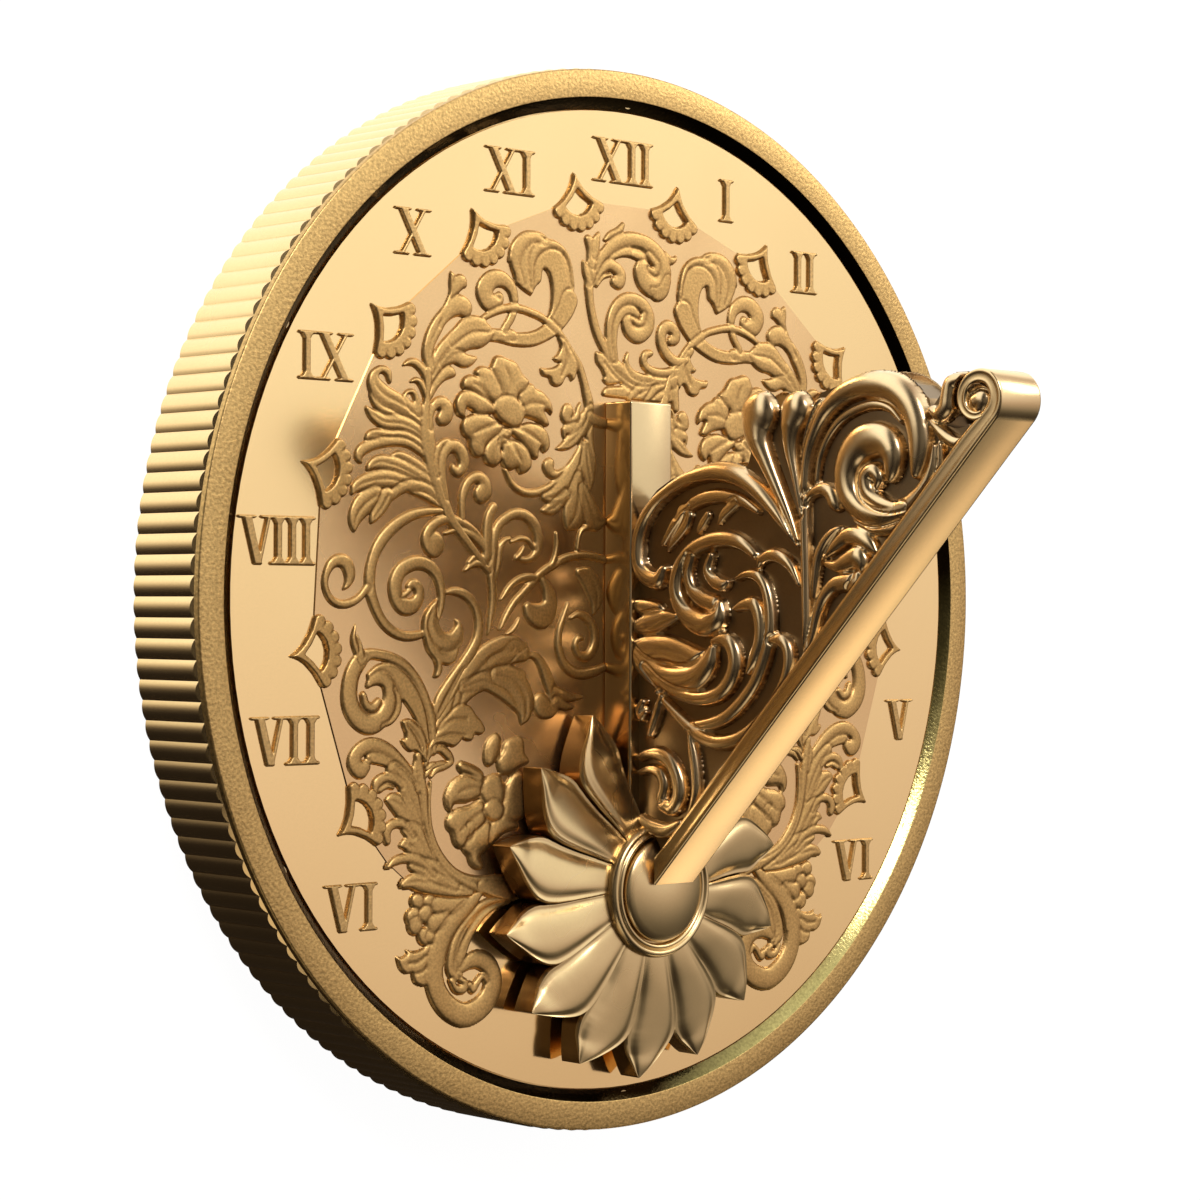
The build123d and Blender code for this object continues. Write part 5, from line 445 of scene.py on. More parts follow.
        ("s", "r", 1.1, [(-80.21, -13.33, 2.4), (-81.88, -11.04, 2), (-82.62, -8.75, 1.4), (-82, -5.83, 0.4)]),
        ("s", "r", 1.1, [(-80.42, -12.5, 1.8), (-80.62, -10.42, 1), (-81.46, -8.33, 0.5)]),
        ("p", "b", 1, [(-68.96, -27.29, 1), (-67.5, -26.88, 0), (-65.83, -27.08, 0), (-64.17, -28.33, 0), (-63.33, -28.75, 0), (-61.88, -31.67, 0),
         (-61.46, -35, 0), (-61.67, -37.08, 0), (-63.33, -35.42, 0), (-65, -34.17, 0), (-66.67, -34.17, 0), (-68.33, -32.92, 0), (-69.17, -31.46, 1),
         (-67.83, -31.17, 1), (-67.92, -30, 0), (-68.54, -28.75, 0)]),
        ("s", "g", 0.9, [(-67.5, -27.92, 0.5), (-65, -30.42, 0.7), (-62.92, -33.75, 0.8)]),
    ],
    "inner_scroll": [
        ("s", "r", 1.15, [(-43.54, -8.12, 0.7), (-42.83, -5, 1.6), (-42, -0.83, 2.4), (-42.17, 3.33, 2.4), (-42.5, 7.5, 2.8), (-41.88, 12.5, 2.6),
         (-40.62, 16.25, 2.4), (-38.12, 18.33, 2.4), (-35, 19.5, 2.4), (-31.67, 18.96, 2.6), (-28.96, 16.67, 2.8), (-28, 13.33, 2.6), (-28.75, 10.62,
         2.2), (-30.62, 9.17, 1.6), (-32.92, 8.96, 1.4), (-35, 9.79, 0.8)]),
        ("s", "r", 1.1, [(-41.33, 5, 1.2), (-40.33, 8.33, 1.6), (-39.79, 11.67, 1.6), (-38.33, 13.33, 1.2), (-36.67, 13.88, 0.6)]),
        ("s", "r", 1.1, [(-36.46, 13, 0.8), (-33.75, 13.83, 1.2), (-31.25, 13.42, 1.2), (-29.38, 11.67, 1)]),
        ("s", "r", 1.2, [(-35.21, 9.08, 0.7), (-33.75, 10.33, 1.2), (-32.62, 12, 0.6)]),
        ("s", "r", 1.15, [(-43.54, 6.25, 1.4), (-45.42, 7.83, 1.8), (-48.12, 7.83, 1.8), (-50.5, 6.33, 0.8)]),
        ("s", "r", 1.05, [(-43.96, 8.33, 1.2), (-47.08, 9.58, 1.4), (-49.58, 8.12, 0.8)]),
        ("s", "r", 1.15, [(-43.96, 9.58, 2.4), (-43.96, 14.58, 2.6), (-43.33, 18.33, 2.6), (-41.88, 20.83, 2.2)]),
        ("s", "r", 1.15, [(-40, -7.08, 0.7), (-38.33, -4.67, 1.6), (-35.83, -1.33, 1.8), (-32.92, 1.17, 1.9), (-29.58, 3.88, 2), (-26.67, 6.17, 2),
         (-23.33, 7.83, 2), (-20, 9.29, 2), (-16.67, 10, 2), (-13.33, 10.25, 2), (-10, 10, 2), (-6.88, 9.38, 1.8)]),
        ("s", "r", 1.1, [(-39.67, -0.29, 0.6), (-37.08, 2.42, 1.6), (-34.17, 4.29, 1.8), (-30.83, 4.96, 1.8), (-28.54, 4.79, 1.2)]),
        ("s", "r", 1.1, [(-37.83, -8.17, 0.6), (-35.62, -7, 1.4), (-33.92, -4.5, 0.6)]),
        ("s", "r", 1.2, [(-26.67, 4.38, 1.6), (-24.79, 1.67, 3.4), (-24.38, -1.67, 4.6), (-26.67, -3.96, 6), (-30, -3.33, 4.4), (-31.25, -2.08,
         2.6)]),
        ("s", "r", 1.1, [(-24.38, 7.29, 1), (-22.92, 9.58, 1.4), (-22.29, 12.5, 1.2), (-22.5, 15.33, 0.8)]),
        ("s", "r", 1.1, [(-15.83, 11.67, 1), (-15.17, 14.79, 1), (-13.75, 16.46, 1.4), (-11.67, 16.88, 1.6), (-9.58, 16.46, 1.2)]),
        ("s", "r", 1.15, [(-18.75, -1.04, 0.9), (-20, -4.17, 1.6), (-21.33, -7.5, 1.8), (-21.46, -11.25, 2.2), (-20, -14.79, 2.4), (-17.08, -16.88,
         2.6), (-13.33, -17.5, 2.6), (-9.58, -16.88, 2.4), (-6.88, -16.04, 1.8)]),
        ("s", "r", 1.15, [(-17.71, -4.38, 0.9), (-15.21, -3.54, 1.6), (-12.29, -4.58, 2.2), (-10.21, -7.08, 2.6), (-10, -10.62, 2.6), (-12.08, -13.33,
         2.4), (-15, -13.12, 2), (-16.25, -11.04, 1.8), (-15.33, -9.17, 1.6), (-13.83, -9.25, 1)]),
        ("s", "l", 0.9, [(-15, 6.25, 2.2), (-12.08, 5, 5), (-10, 2.08, 5.4), (-9.58, -0.83, 3.4), (-10.42, -3.33, 1)]),
        ("s", "r", 1.2, [(-12.83, 48.33, 2.6), (-12.08, 45.42, 3), (-12.29, 42.92, 3.2), (-12.08, 40, 2.6), (-11.67, 35.83, 2.4), (-11.04, 31.67,
         2.4), (-10.83, 28.33, 1.4)]),
        ("s", "l", 1.15, [(-11.88, 44.58, 2.4), (-13.54, 41.88, 4), (-15.62, 39.17, 4.2), (-18.33, 36.67, 3.2), (-20.62, 35.42, 1.8), (-22.5, 34.88,
         0.5)]),
        ("s", "r", 1.15, [(-14.92, 45.92, 0.6), (-15.62, 44.58, 1.2), (-16.25, 42.5, 1.8), (-17.92, 41.46, 2), (-19.58, 42.29, 3), (-18.96, 43.83,
         3.6)]),
        ("s", "r", 1, [(-16.67, 40.42, 2), (-18.75, 39.58, 2.6), (-20, 39.38, 1.6), (-20.17, 37.71, 0.8)]),
        ("s", "r", 1.1, [(-12.08, 42.92, 2.4), (-9.58, 41.88, 2.8), (-6.88, 41.46, 2.2)]),
        ("s", "r", 1.15, [(-14.38, 37.08, 1.2), (-15.21, 34.58, 1.8), (-17.08, 32.08, 1.8), (-19.58, 29.79, 2), (-22.08, 28.83, 2.2), (-24.17, 29.17,
         2.6), (-25.08, 30.62, 3.4), (-24.5, 31.46, 2.6)]),
        ("s", "r", 1.1, [(-38.42, 29.38, 1.2), (-36.46, 26.46, 1.6), (-33.33, 24.67, 1.8), (-29.58, 24.38, 1.9), (-25.83, 25.42, 1.9), (-22.5, 27.08,
         1.9), (-19.17, 29.58, 1.8), (-16.25, 32.92, 1.6), (-13.96, 36.67, 1.2)]),
        ("s", "l", 1.05, [(-14.38, 35, 2.4), (-15.83, 30.83, 5.4), (-18.75, 26.25, 7), (-22.5, 23.75, 5), (-26.67, 23.54, 1.4)]),
        ("s", "l", 1.05, [(-13.33, 36.25, 2), (-12.92, 32.08, 4), (-12.08, 28.75, 3.6), (-12.08, 25.83, 1.2)]),
        ("s", "l", 1.05, [(-15.83, 28.33, 3), (-15.83, 24.17, 6.5), (-16.67, 20, 7), (-18.33, 17.5, 3)]),
        ("s", "l", 1.05, [(-14.17, 25.83, 3), (-12.08, 21.67, 5), (-10.42, 18.75, 5.5), (-7.5, 18.33, 2)]),
        ("s", "l", 1, [(-20, 24.17, 3), (-23.33, 21.25, 3.4), (-26.67, 20.42, 1.2)]),
    ],
    "acanthus_fan": [
        ("s", "l", 1.1, [(-58.96, -29.58, 2.2), (-55, -25, 4.4), (-50, -19.58, 6.4), (-45, -15, 7.2), (-40.42, -12.5, 7), (-35.83, -11.67, 6.4),
         (-32.5, -12.5, 4)]),
        ("s", "l", 1.1, [(-58.33, -28.75, 2), (-53.33, -24.17, 3.6), (-47.92, -20, 4.2), (-42.5, -18.33, 4.4), (-37.5, -17.5, 4.6), (-33.33, -17.92,
         3.4)]),
        ("s", "r", 1.15, [(-53.96, -25.08, 1), (-52.92, -23.33, 1.8), (-52.17, -21.25, 1.8), (-50.58, -19.58, 0.6)]),
        ("s", "r", 1.15, [(-49.75, -20.5, 0.6), (-47.92, -18.75, 1.8), (-46.25, -18.25, 1.6), (-44.83, -18.33, 0.6)]),
        ("s", "l", 1.1, [(-50.83, -20, 3), (-45, -18.75, 4), (-40, -20, 5), (-35, -22.5, 5.6), (-32.5, -25.42, 4), (-33.12, -28.33, 1)]),
        ("s", "l", 1.1, [(-42.5, -14.58, 3), (-38.33, -13.33, 3.4), (-35.83, -11.25, 3.2), (-31.67, -10.54, 1)]),
        ("s", "r", 1.15, [(-31.25, -13.12, 0.8), (-28.54, -13.42, 2), (-26.46, -15.62, 2.8), (-24.79, -18.75, 3.4), (-23.33, -21.67, 3.6), (-22.5,
         -23.96, 3.4), (-24.17, -25.83, 3.6), (-26.46, -25.21, 5), (-27.08, -24.17, 5)]),
        ("s", "l", 1.05, [(-40.83, -17.5, 4), (-35.83, -18.75, 6), (-32.5, -22.5, 6), (-32.08, -26.25, 4), (-33.12, -28.67, 0.8)]),
        ("s", "r", 1.05, [(-22.5, -21.67, 3), (-19.58, -22.5, 2.6), (-16.67, -23.12, 1.6), (-13.75, -22.92, 0.6)]),
        ("s", "r", 1.05, [(-22.5, -23.75, 2.4), (-19.58, -25, 2), (-17.08, -25.21, 1)]),
        ("p", "b", 1.15, [(-59.08, -30.21, 1), (-57.5, -27.92, 0), (-55, -25.83, 0), (-53.33, -24.5, 0), (-51.25, -23.96, 0), (-48.75, -24.38, 0),
         (-47.42, -25.83, 1), (-46.88, -26.46, 0), (-45.33, -27.92, 0), (-44.33, -29.79, 0), (-45.42, -30.92, 0), (-47.42, -30.62, 1), (-48.25,
         -32.17, 0), (-49.92, -32.17, 0), (-51.04, -31.67, 1), (-53.33, -33.42, 0), (-55.83, -33, 0), (-58.33, -32.58, 0), (-60, -33.75, 0), (-61.42,
         -36.04, 0), (-61.75, -34.17, 0), (-60.42, -31.67, 0)]),
        ("s", "g", 1, [(-58.67, -30, 0.6), (-55, -27.5, 0.7), (-50, -27.17, 0.5)]),
        ("s", "g", 1, [(-59.58, -31.46, 0.5), (-55, -30.62, 0.7), (-50.42, -30.83, 0.4)]),
        ("s", "r", 1.1, [(-62.08, -37.5, 1), (-60.62, -34.79, 1.6), (-57.92, -33.75, 2), (-55.42, -35.08, 2.4), (-54.25, -36.75, 1.6), (-56.25,
         -37.71, 1.8), (-58.67, -38.42, 1.6), (-60.33, -40, 1)]),
        ("s", "r", 1.1, [(-61.67, -38.33, 1), (-60.21, -37.42, 1.4), (-58.96, -37, 0.8)]),
    ],
    "lower_leaf": [
        ("s", "b", 0.9, [(-65, -40.42, 2.6), (-68.33, -37.71, 3.4), (-71.67, -35.83, 4), (-75, -34.92, 4), (-77.92, -35.21, 2.4)]),
        ("s", "r", 1.1, [(-63.96, -42.5, 2.4), (-66.25, -39.17, 2.6), (-69.17, -36.25, 2.8), (-72.08, -33.96, 3), (-75.42, -32.58, 3.2), (-78.75,
         -32.58, 3.4), (-81.46, -34.08, 3.4), (-82.29, -36.25, 3.8), (-80.62, -37.71, 4.2), (-79.17, -37.08, 3)]),
        ("s", "l", 1.1, [(-61.88, -56.58, 2.2), (-65, -50.75, 4.8), (-68.33, -46.79, 5.4), (-71.25, -44.92, 3.6), (-73.25, -44.71, 0.8)]),
        ("s", "l", 1.05, [(-63.33, -49.5, 2.6), (-65.83, -44.5, 4.6), (-68.33, -40.75, 4.4), (-71.25, -38.25, 4)]),
        ("s", "r", 1.2, [(-69.08, -41.92, 1), (-71.04, -40.25, 1.9), (-73.67, -39.75, 2.3), (-75.75, -40.75, 2.6), (-76.33, -42.42, 2)]),
        ("s", "r", 1.1, [(-71.25, -42, 1), (-73.12, -41.58, 1.4), (-75, -42.42, 1.4)]),
        ("s", "l", 1.1, [(-55.83, -62.83, 2.4), (-60, -59.08, 5.2), (-64.17, -56.17, 5.2), (-67.08, -54.71, 3.2), (-69.17, -55, 0.8)]),
        ("s", "l", 1.05, [(-60, -60.33, 3), (-62.5, -56.17, 5), (-65.42, -52.42, 4.4), (-67.5, -51.17, 3)]),
        ("s", "r", 1.2, [(-65.62, -53.04, 1), (-67.29, -50.96, 1.7), (-69.58, -50, 2.1), (-71.75, -50.25, 2.3), (-73.12, -51.79, 2.6), (-72.83,
         -53.75, 2)]),
        ("s", "l", 1.1, [(-48.25, -66.67, 1.5), (-52.5, -65.75, 3.4), (-57.5, -64.5, 4.6), (-62.08, -63.46, 4.8), (-65.83, -63.04, 3.2), (-68.33,
         -63.67, 1.6)]),
        ("s", "l", 1.05, [(-53.33, -64.5, 3), (-57.5, -62, 4.6), (-61.67, -60.33, 4.2), (-65.42, -59.5, 3)]),
        ("s", "r", 1.2, [(-59.38, -62, 1), (-62.29, -59.42, 1.9), (-65.21, -58.17, 2.2), (-68.12, -57.83, 2.2), (-70.75, -58.33, 2), (-72.83, -59.58,
         0.8)]),
        ("s", "r", 1.15, [(-63.33, -42.5, 2.6), (-64.38, -38.75, 2.6), (-63.96, -35.83, 2.2), (-62.92, -33.33, 1.4)]),
        ("s", "r", 1.2, [(-64.17, -35.33, 2), (-63.33, -38.67, 2.2), (-62.71, -42, 2.4), (-62.17, -45.75, 2.6), (-61.17, -50.75, 2.6), (-59.38,
         -55.33, 2.6), (-56.67, -59.08, 2.6), (-53.33, -62, 2.6), (-49.58, -64.08, 2.6), (-46.67, -65.33, 2.6), (-45.21, -66.38, 2)]),
        ("s", "r", 1.1, [(-60.42, -41.17, 1), (-60.75, -46.17, 1), (-60.17, -51.58, 1.1), (-58.33, -56.17, 1.2), (-55, -59.92, 1.2), (-50.83, -62.42,
         1.2), (-45.83, -63.67, 1.4), (-40, -64, 2), (-35.83, -64.5, 2)]),
        ("s", "r", 1.1, [(-61.67, -39.5, 1.4), (-60, -37.83, 1.4), (-57.5, -37.21, 1.4), (-55, -37, 0.8)]),
        ("s", "b", 0.85, [(-45, -65.33, 3), (-41.25, -66.17, 4), (-37.08, -67, 4.2), (-34.17, -67.42, 3)]),
    ],
    "foot_scroll": [
        ("s", "r", 1.5, [(-64.04, -67.62, 3.9), (-63.88, -67.67, 3.9)]),
        ("s", "r", 1.5, [(-60.5, -68.04, 3.9), (-60.33, -68.08, 3.9)]),
        ("s", "r", 1.5, [(-65.17, -71.17, 4.4), (-65, -71.21, 4.4)]),
        ("s", "r", 1.5, [(-64.67, -73.04, 4.2), (-64.5, -73.08, 4.2)]),
        ("s", "r", 1.5, [(-61.75, -70.67, 4), (-61.58, -70.71, 4)]),
        ("s", "r", 1.5, [(-61.75, -75.54, 4.2), (-61.58, -75.58, 4.2)]),
        ("s", "r", 1.5, [(-60.08, -75.75, 3.4), (-59.92, -75.79, 3.4)]),
        ("s", "r", 1.5, [(-57.92, -69, 4.6), (-55, -69.5, 4.8), (-52.08, -69.08, 3.6), (-49.58, -68.04, 1.4)]),
        ("s", "r", 1.5, [(-59.25, -72.92, 4.4), (-57.29, -72.42, 3.8), (-55.83, -71.58, 2.6)]),
        ("p", "b", 1, [(-69.83, -79.29, 1), (-68.67, -79.83, 0), (-66.75, -79, 0), (-67.5, -78.04, 1), (-65, -78.75, 0), (-62.5, -78.33, 0), (-60.42,
         -77.33, 0), (-58.33, -78.67, 0), (-58.96, -82, 0), (-61.04, -86.25, 0), (-63.33, -86.42, 0), (-64.92, -85.42, 0), (-65.42, -83.33, 1),
         (-67.08, -83.5, 0), (-68.75, -82.5, 0), (-69.58, -80.75, 0)]),
        ("s", "g", 0.9, [(-66.67, -81.17, 0.5), (-64.17, -81.17, 0.7), (-61.67, -79.92, 0.6)]),
        ("s", "g", 0.9, [(-64.58, -83.67, 0.5), (-62.5, -83.25, 0.6), (-60.42, -81.58, 0.6)]),
        ("s", "b", 1, [(-36.67, -68.88, 2), (-40.83, -69.29, 3), (-45, -70.96, 4), (-48.12, -73.67, 4.6), (-50.83, -77.42, 5), (-52.29, -81.58, 4.8),
         (-51.88, -84.92, 3)]),
        ("s", "r", 1.15, [(-36.25, -68.58, 1.2), (-40.83, -68.75, 1.4), (-45.21, -69.92, 1.4), (-49.17, -72.42, 1.5), (-52.08, -75.75, 1.6), (-53.96,
         -79.92, 1.8), (-54.38, -83.67, 2), (-52.71, -85.83, 1.8)]),
        ("s", "g", 1, [(-37.08, -69.5, 0.5), (-41.67, -69.92, 0.6), (-45.42, -71.58, 0.7), (-48.33, -74.08, 0.7), (-50.83, -77.42, 0.7), (-52.5,
         -81.17, 0.7), (-52.29, -84.08, 0.5)]),
        ("s", "r", 1.2, [(-45.08, -66.67, 1.6), (-47.29, -68.25, 3), (-50.21, -70.33, 3.8), (-53.54, -72.92, 4.4), (-56.46, -76.17, 5), (-58.33,
         -80.33, 5.4), (-58.83, -84.92, 5.6), (-57.42, -89.08, 5.6), (-54.38, -92.33, 5.6), (-50.21, -94.17, 5.6), (-45.83, -93.33, 5.6), (-42.5,
         -90.75, 5.4), (-41.25, -87, 5.2), (-42.5, -83.67, 4.8), (-45.42, -82, 4.4), (-48.33, -82.21, 3.6), (-50.62, -83.67, 2)]),
        ("s", "g", 1.1, [(-56.25, -83.25, 0.8), (-55.62, -86.17, 1), (-53.33, -88.67, 1), (-50.42, -89.92, 1), (-47.5, -88.67, 1), (-46.25, -86.58,
         0.9)]),
        ("s", "r", 1.4, [(-53.96, -86.17, 1.4), (-52.5, -88.04, 2), (-50.42, -88.25, 2.4), (-49.79, -87, 2), (-51.04, -86.17, 1.4)]),
        ("s", "r", 1.35, [(-48.33, -87.42, 1.6), (-47.5, -88.67, 2), (-46.04, -87, 1.8), (-44.58, -85.75, 1.4), (-43.75, -87, 1.2)]),
    ],
    "upper_rosette": [
        ("p", "d", 1.7, [(-39.17, 39.17, 0), (-40.83, 38.33, 0), (-43.33, 36.25, 0), (-44.58, 34.58, 0), (-45, 32.08, 0), (-43.75, 30.42, 0), (-41.25,
         30.12, 0), (-39.58, 32.08, 0), (-40, 34.17, 0), (-37.5, 35.83, 0), (-36.67, 38.33, 0)]),
        ("p", "d", 1.7, [(-39.58, 35, 0), (-40.83, 35.21, 0), (-40.92, 36.25, 0), (-38.75, 36.46, 0), (-35.42, 36.25, 0), (-32.5, 35, 0), (-30.83,
         32.92, 0), (-30.42, 30.83, 0), (-31.67, 29.17, 0), (-33.96, 28.67, 0), (-35, 30, 0), (-36.67, 29.33, 0), (-38.75, 29.92, 0), (-39.79, 32.08,
         0)]),
        ("p", "d", 1.7, [(-39.58, 39.58, 0), (-43.75, 41.75, 0), (-47.08, 42, 0), (-50.42, 40.92, 0), (-51.75, 39.17, 0), (-51.33, 37.08, 0), (-49.58,
         35.75, 0), (-49.25, 33.96, 0), (-47.5, 32, 0), (-45.42, 32.42, 0), (-44.79, 34.58, 0), (-42.92, 36.25, 0), (-40.42, 37.92, 0)]),
        ("p", "d", 1.7, [(-37.5, 40.62, 0), (-34.58, 39.79, 0), (-31.25, 40.62, 0), (-27.5, 40, 0), (-25.42, 38.33, 0), (-24.71, 35.83, 0), (-25.42,
         34.25, 0), (-26.75, 33.75, 0), (-27.58, 35.08, 0), (-28.25, 33.67, 0), (-28.42, 32.42, 0), (-29.79, 32.25, 0), (-31.46, 33.96, 0), (-33.75,
         35.83, 0), (-36.67, 37.92, 0)]),
        ("p", "d", 1.8, [(-36.67, 42.5, 0), (-34.79, 45.42, 0), (-34.58, 47.08, 0), (-32.92, 48.96, 0), (-30.42, 49.58, 0), (-29.17, 48.54, 0),
         (-27.08, 47.92, 0), (-25, 46.25, 0), (-23.92, 44.17, 0), (-24.17, 42.42, 1), (-25.42, 43.42, 0), (-26.58, 43.42, 0), (-25.5, 41.67, 0), (-25,
         40.21, 0), (-26.67, 39.92, 0), (-29.17, 41.04, 0), (-32.08, 41.67, 0), (-34.58, 41.67, 0)]),
        ("p", "d", 1.8, [(-40.83, 42.5, 0), (-44.17, 41.88, 0), (-47.08, 41.67, 0), (-48.83, 42.5, 0), (-50.42, 43.12, 1), (-50.75, 41.58, 0),
         (-50.33, 40.62, 0), (-52.83, 41.17, 0), (-53.75, 43.25, 0), (-53.33, 45, 0), (-51.67, 46.75, 0), (-48.33, 47.08, 0), (-44.58, 45.83, 0),
         (-41.25, 44.17, 0)]),
        ("p", "d", 1.9, [(-39.58, 43.33, 0), (-42.92, 44.58, 0), (-46.25, 45.83, 0), (-49.17, 46.88, 0), (-51.58, 47.5, 0), (-51.25, 49.58, 0),
         (-49.17, 50.62, 0), (-47.42, 50.25, 0), (-47.92, 51.25, 0), (-46.58, 52.5, 0), (-44.58, 52.71, 0), (-42.42, 51.67, 0), (-40.83, 49.58, 0),
         (-39.17, 46.67, 0)]),
        ("p", "d", 2, [(-40, 44.58, 0), (-40, 47.08, 0), (-41.67, 50, 0), (-42.5, 51.25, 0), (-43.25, 52.5, 1), (-42.5, 53.75, 0), (-41.75, 55.08, 0),
         (-40, 55.42, 0), (-37.5, 54.75, 0), (-35.33, 54.17, 0), (-33.33, 51.67, 0), (-31.42, 50.25, 0), (-31.75, 49.17, 0), (-33.33, 47.71, 0),
         (-34.92, 46.67, 0), (-35, 44.58, 0), (-37.5, 43.33, 0)]),
        ("s", "g", 1.5, [(-38.75, 45.83, 0.8), (-37.5, 49.17, 0.9), (-38.75, 52.5, 0.6)]),
        ("s", "g", 1.3, [(-34.58, 43.75, 0.7), (-30.83, 45, 0.9), (-27.08, 45, 0.5)]),
        ("s", "g", 1.3, [(-42.5, 44.17, 0.7), (-45.83, 47.5, 0.9), (-48.75, 48.75, 0.5)]),
        ("s", "g", 1.3, [(-35.42, 39.17, 0.7), (-31.67, 37.92, 0.9), (-28.33, 36.25, 0.5)]),
        ("s", "g", 1.3, [(-38.33, 37.92, 0.7), (-36.25, 34.58, 0.9), (-34.17, 31.67, 0.5)]),
        ("s", "g", 1.3, [(-40.83, 40, 0.7), (-45, 38.75, 0.9), (-48.33, 37.5, 0.5)]),
        ("s", "r", 1.6, [(-40.62, 35, 1.2), (-40.33, 36.25, 1.4), (-38.75, 36.04, 1.2)]),
        ("p", "d", 2.7, [(-42.42, 43.33, 0), (-42.08, 45, 0), (-40, 46.17, 0), (-37.08, 46.33, 0), (-34.58, 45.21, 0), (-33.12, 43.33, 0), (-33.12,
         41.25, 0), (-34.58, 39.58, 0), (-37.08, 39.25, 0), (-40, 40.42, 0), (-41.67, 41.88, 0)]),
    ],
    "lower_rosette": [
        ("p", "d", 1.7, [(-45, -40.33, 0), (-48.33, -39.92, 0), (-51.25, -40.25, 0), (-53.75, -41.08, 0), (-55.33, -42.83, 0), (-56.12, -44.92, 0),
         (-55.62, -47.21, 0), (-54.67, -47.92, 0), (-53.96, -46.38, 0), (-52.08, -45.92, 0), (-50, -45.96, 0), (-47.5, -45.33, 0), (-45, -44.08, 0)]),
        ("p", "d", 1.7, [(-45, -46.17, 0), (-49.17, -47.21, 0), (-52.5, -47.67, 0), (-54.92, -48.88, 0), (-55.67, -50.54, 0), (-55.33, -51.79, 0),
         (-54.08, -52.83, 0), (-53.25, -55.33, 0), (-51.67, -56.25, 0), (-49.58, -55.75, 0), (-47.5, -53.67, 0), (-44.17, -50.33, 0)]),
        ("p", "d", 1.6, [(-43.33, -50.75, 0), (-46.25, -52, 0), (-48.75, -53.67, 0), (-50.42, -55.33, 0), (-50.58, -57.08, 0), (-49.17, -58.25, 0),
         (-48.54, -60.12, 0), (-46.46, -61.25, 0), (-44.58, -60.83, 0), (-45.75, -59.08, 0), (-45.21, -57.83, 0), (-43.33, -56.58, 0), (-40.83,
         -53.67, 0)]),
        ("p", "d", 1.8, [(-42.92, -47.83, 0), (-45.42, -45.33, 0), (-45.62, -42.83, 0), (-44.38, -41.17, 0), (-42.08, -40.33, 0), (-40, -40.33, 0),
         (-38.75, -42.42, 0), (-38.54, -45.33, 0), (-40, -47.83, 0)]),
        ("p", "d", 1.8, [(-40.83, -49.5, 0), (-38.75, -46.17, 0), (-37.92, -43.25, 0), (-35.83, -40.33, 0), (-33.33, -39.92, 0), (-31.25, -42, 0),
         (-30.62, -45.75, 0), (-31.67, -49.5, 0), (-35.83, -51.17, 0), (-39.17, -51.17, 0)]),
        ("p", "d", 1.6, [(-42.08, -50.33, 0), (-40, -49.5, 0), (-35.83, -50.75, 0), (-34.17, -52.42, 0), (-37.92, -53.25, 0), (-40.83, -54.92, 0),
         (-42.92, -56.17, 0), (-43.33, -53.67, 0)]),
        ("p", "d", 1.6, [(-52.5, -37.83, 0), (-51.67, -37, 0), (-49.58, -37.42, 0), (-47.29, -38.25, 0), (-45.21, -39.5, 0), (-45, -41.17, 0), (-47.5,
         -40.75, 0), (-49.58, -39.71, 0), (-51.67, -39.08, 0)]),
        ("p", "d", 1.6, [(-44.17, -34.17, 0), (-42.92, -32.08, 0), (-40.83, -30.92, 0), (-39.58, -32.5, 0), (-40.42, -35.42, 0), (-42.5, -37.92, 0),
         (-44.17, -37.5, 0)]),
        ("p", "d", 1.6, [(-40.42, -37.08, 0), (-38.75, -35, 0), (-37.92, -32.92, 0), (-35.42, -32.17, 0), (-32.92, -32.29, 0), (-32.5, -35.42, 0),
         (-30.83, -37.5, 0), (-33.33, -38.33, 0), (-36.67, -40, 0), (-39.58, -39.58, 0)]),
        ("s", "g", 1.3, [(-45.83, -43.25, 0.7), (-49.17, -42.83, 0.9), (-52.5, -43.67, 0.5)]),
        ("s", "g", 1.3, [(-45.42, -48.25, 0.7), (-49.17, -50.33, 0.9), (-52.08, -52.42, 0.5)]),
        ("s", "r", 1.4, [(-49.58, -51.17, 1), (-48.33, -51.58, 1.4), (-48.75, -53.67, 1.2), (-49.58, -54.29, 0.8)]),
        ("p", "d", 2.5, [(-45, -47.83, 0), (-43.75, -46.17, 0), (-41.67, -45.54, 0), (-39.58, -46.38, 0), (-38.75, -48.04, 0), (-39.58, -49.92, 0),
         (-41.67, -50.75, 0), (-43.96, -49.92, 0)]),
    ],
    "crest": [
        ("p", "b", 0.85, [(-10, 58.33, 1), (-9.92, 55.83, 0), (-8.33, 54.17, 0), (-7.29, 52.5, 1), (-7.71, 51.67, 0), (-6.25, 50.62, 0), (-2.08,
         51.25, 1), (-1.67, 50.62, 0), (-6.67, 50, 0), (-7.92, 48.54, 0), (-7.5, 47.92, 0), (4.17, 47.5, 0), (15, 47.5, 0), (15.42, 50, 0), (12.5,
         51.67, 0), (8.33, 51.67, 0), (1.67, 52.08, 0), (-3.33, 54.58, 0), (-7.08, 57.5, 0)]),
        ("s", "g", 0.8, [(-7.5, 55.83, 0.5), (-4.17, 52.92, 0.7), (0, 50.42, 0.8), (4.17, 49.17, 0.6)]),
        ("s", "r", 1.1, [(0.83, 47.71, 1.4), (3.33, 49.79, 2), (6.25, 51.25, 2.4), (9.17, 52.5, 2.4), (12.92, 53.33, 2.2)]),
        ("s", "r", 1.1, [(6.46, 47.71, 1.4), (8.75, 49.58, 2), (11.67, 51.67, 2.2), (14.17, 52.92, 2)]),
        ("s", "r", 1.1, [(6.88, 47.92, 1.4), (9.58, 50.42, 2.2), (12.5, 52.08, 2.4), (15, 54.17, 2.6)]),
        ("s", "r", 1.05, [(9.79, 48.33, 1.2), (11.67, 48.96, 1.8), (13.33, 48.12, 1.2)]),
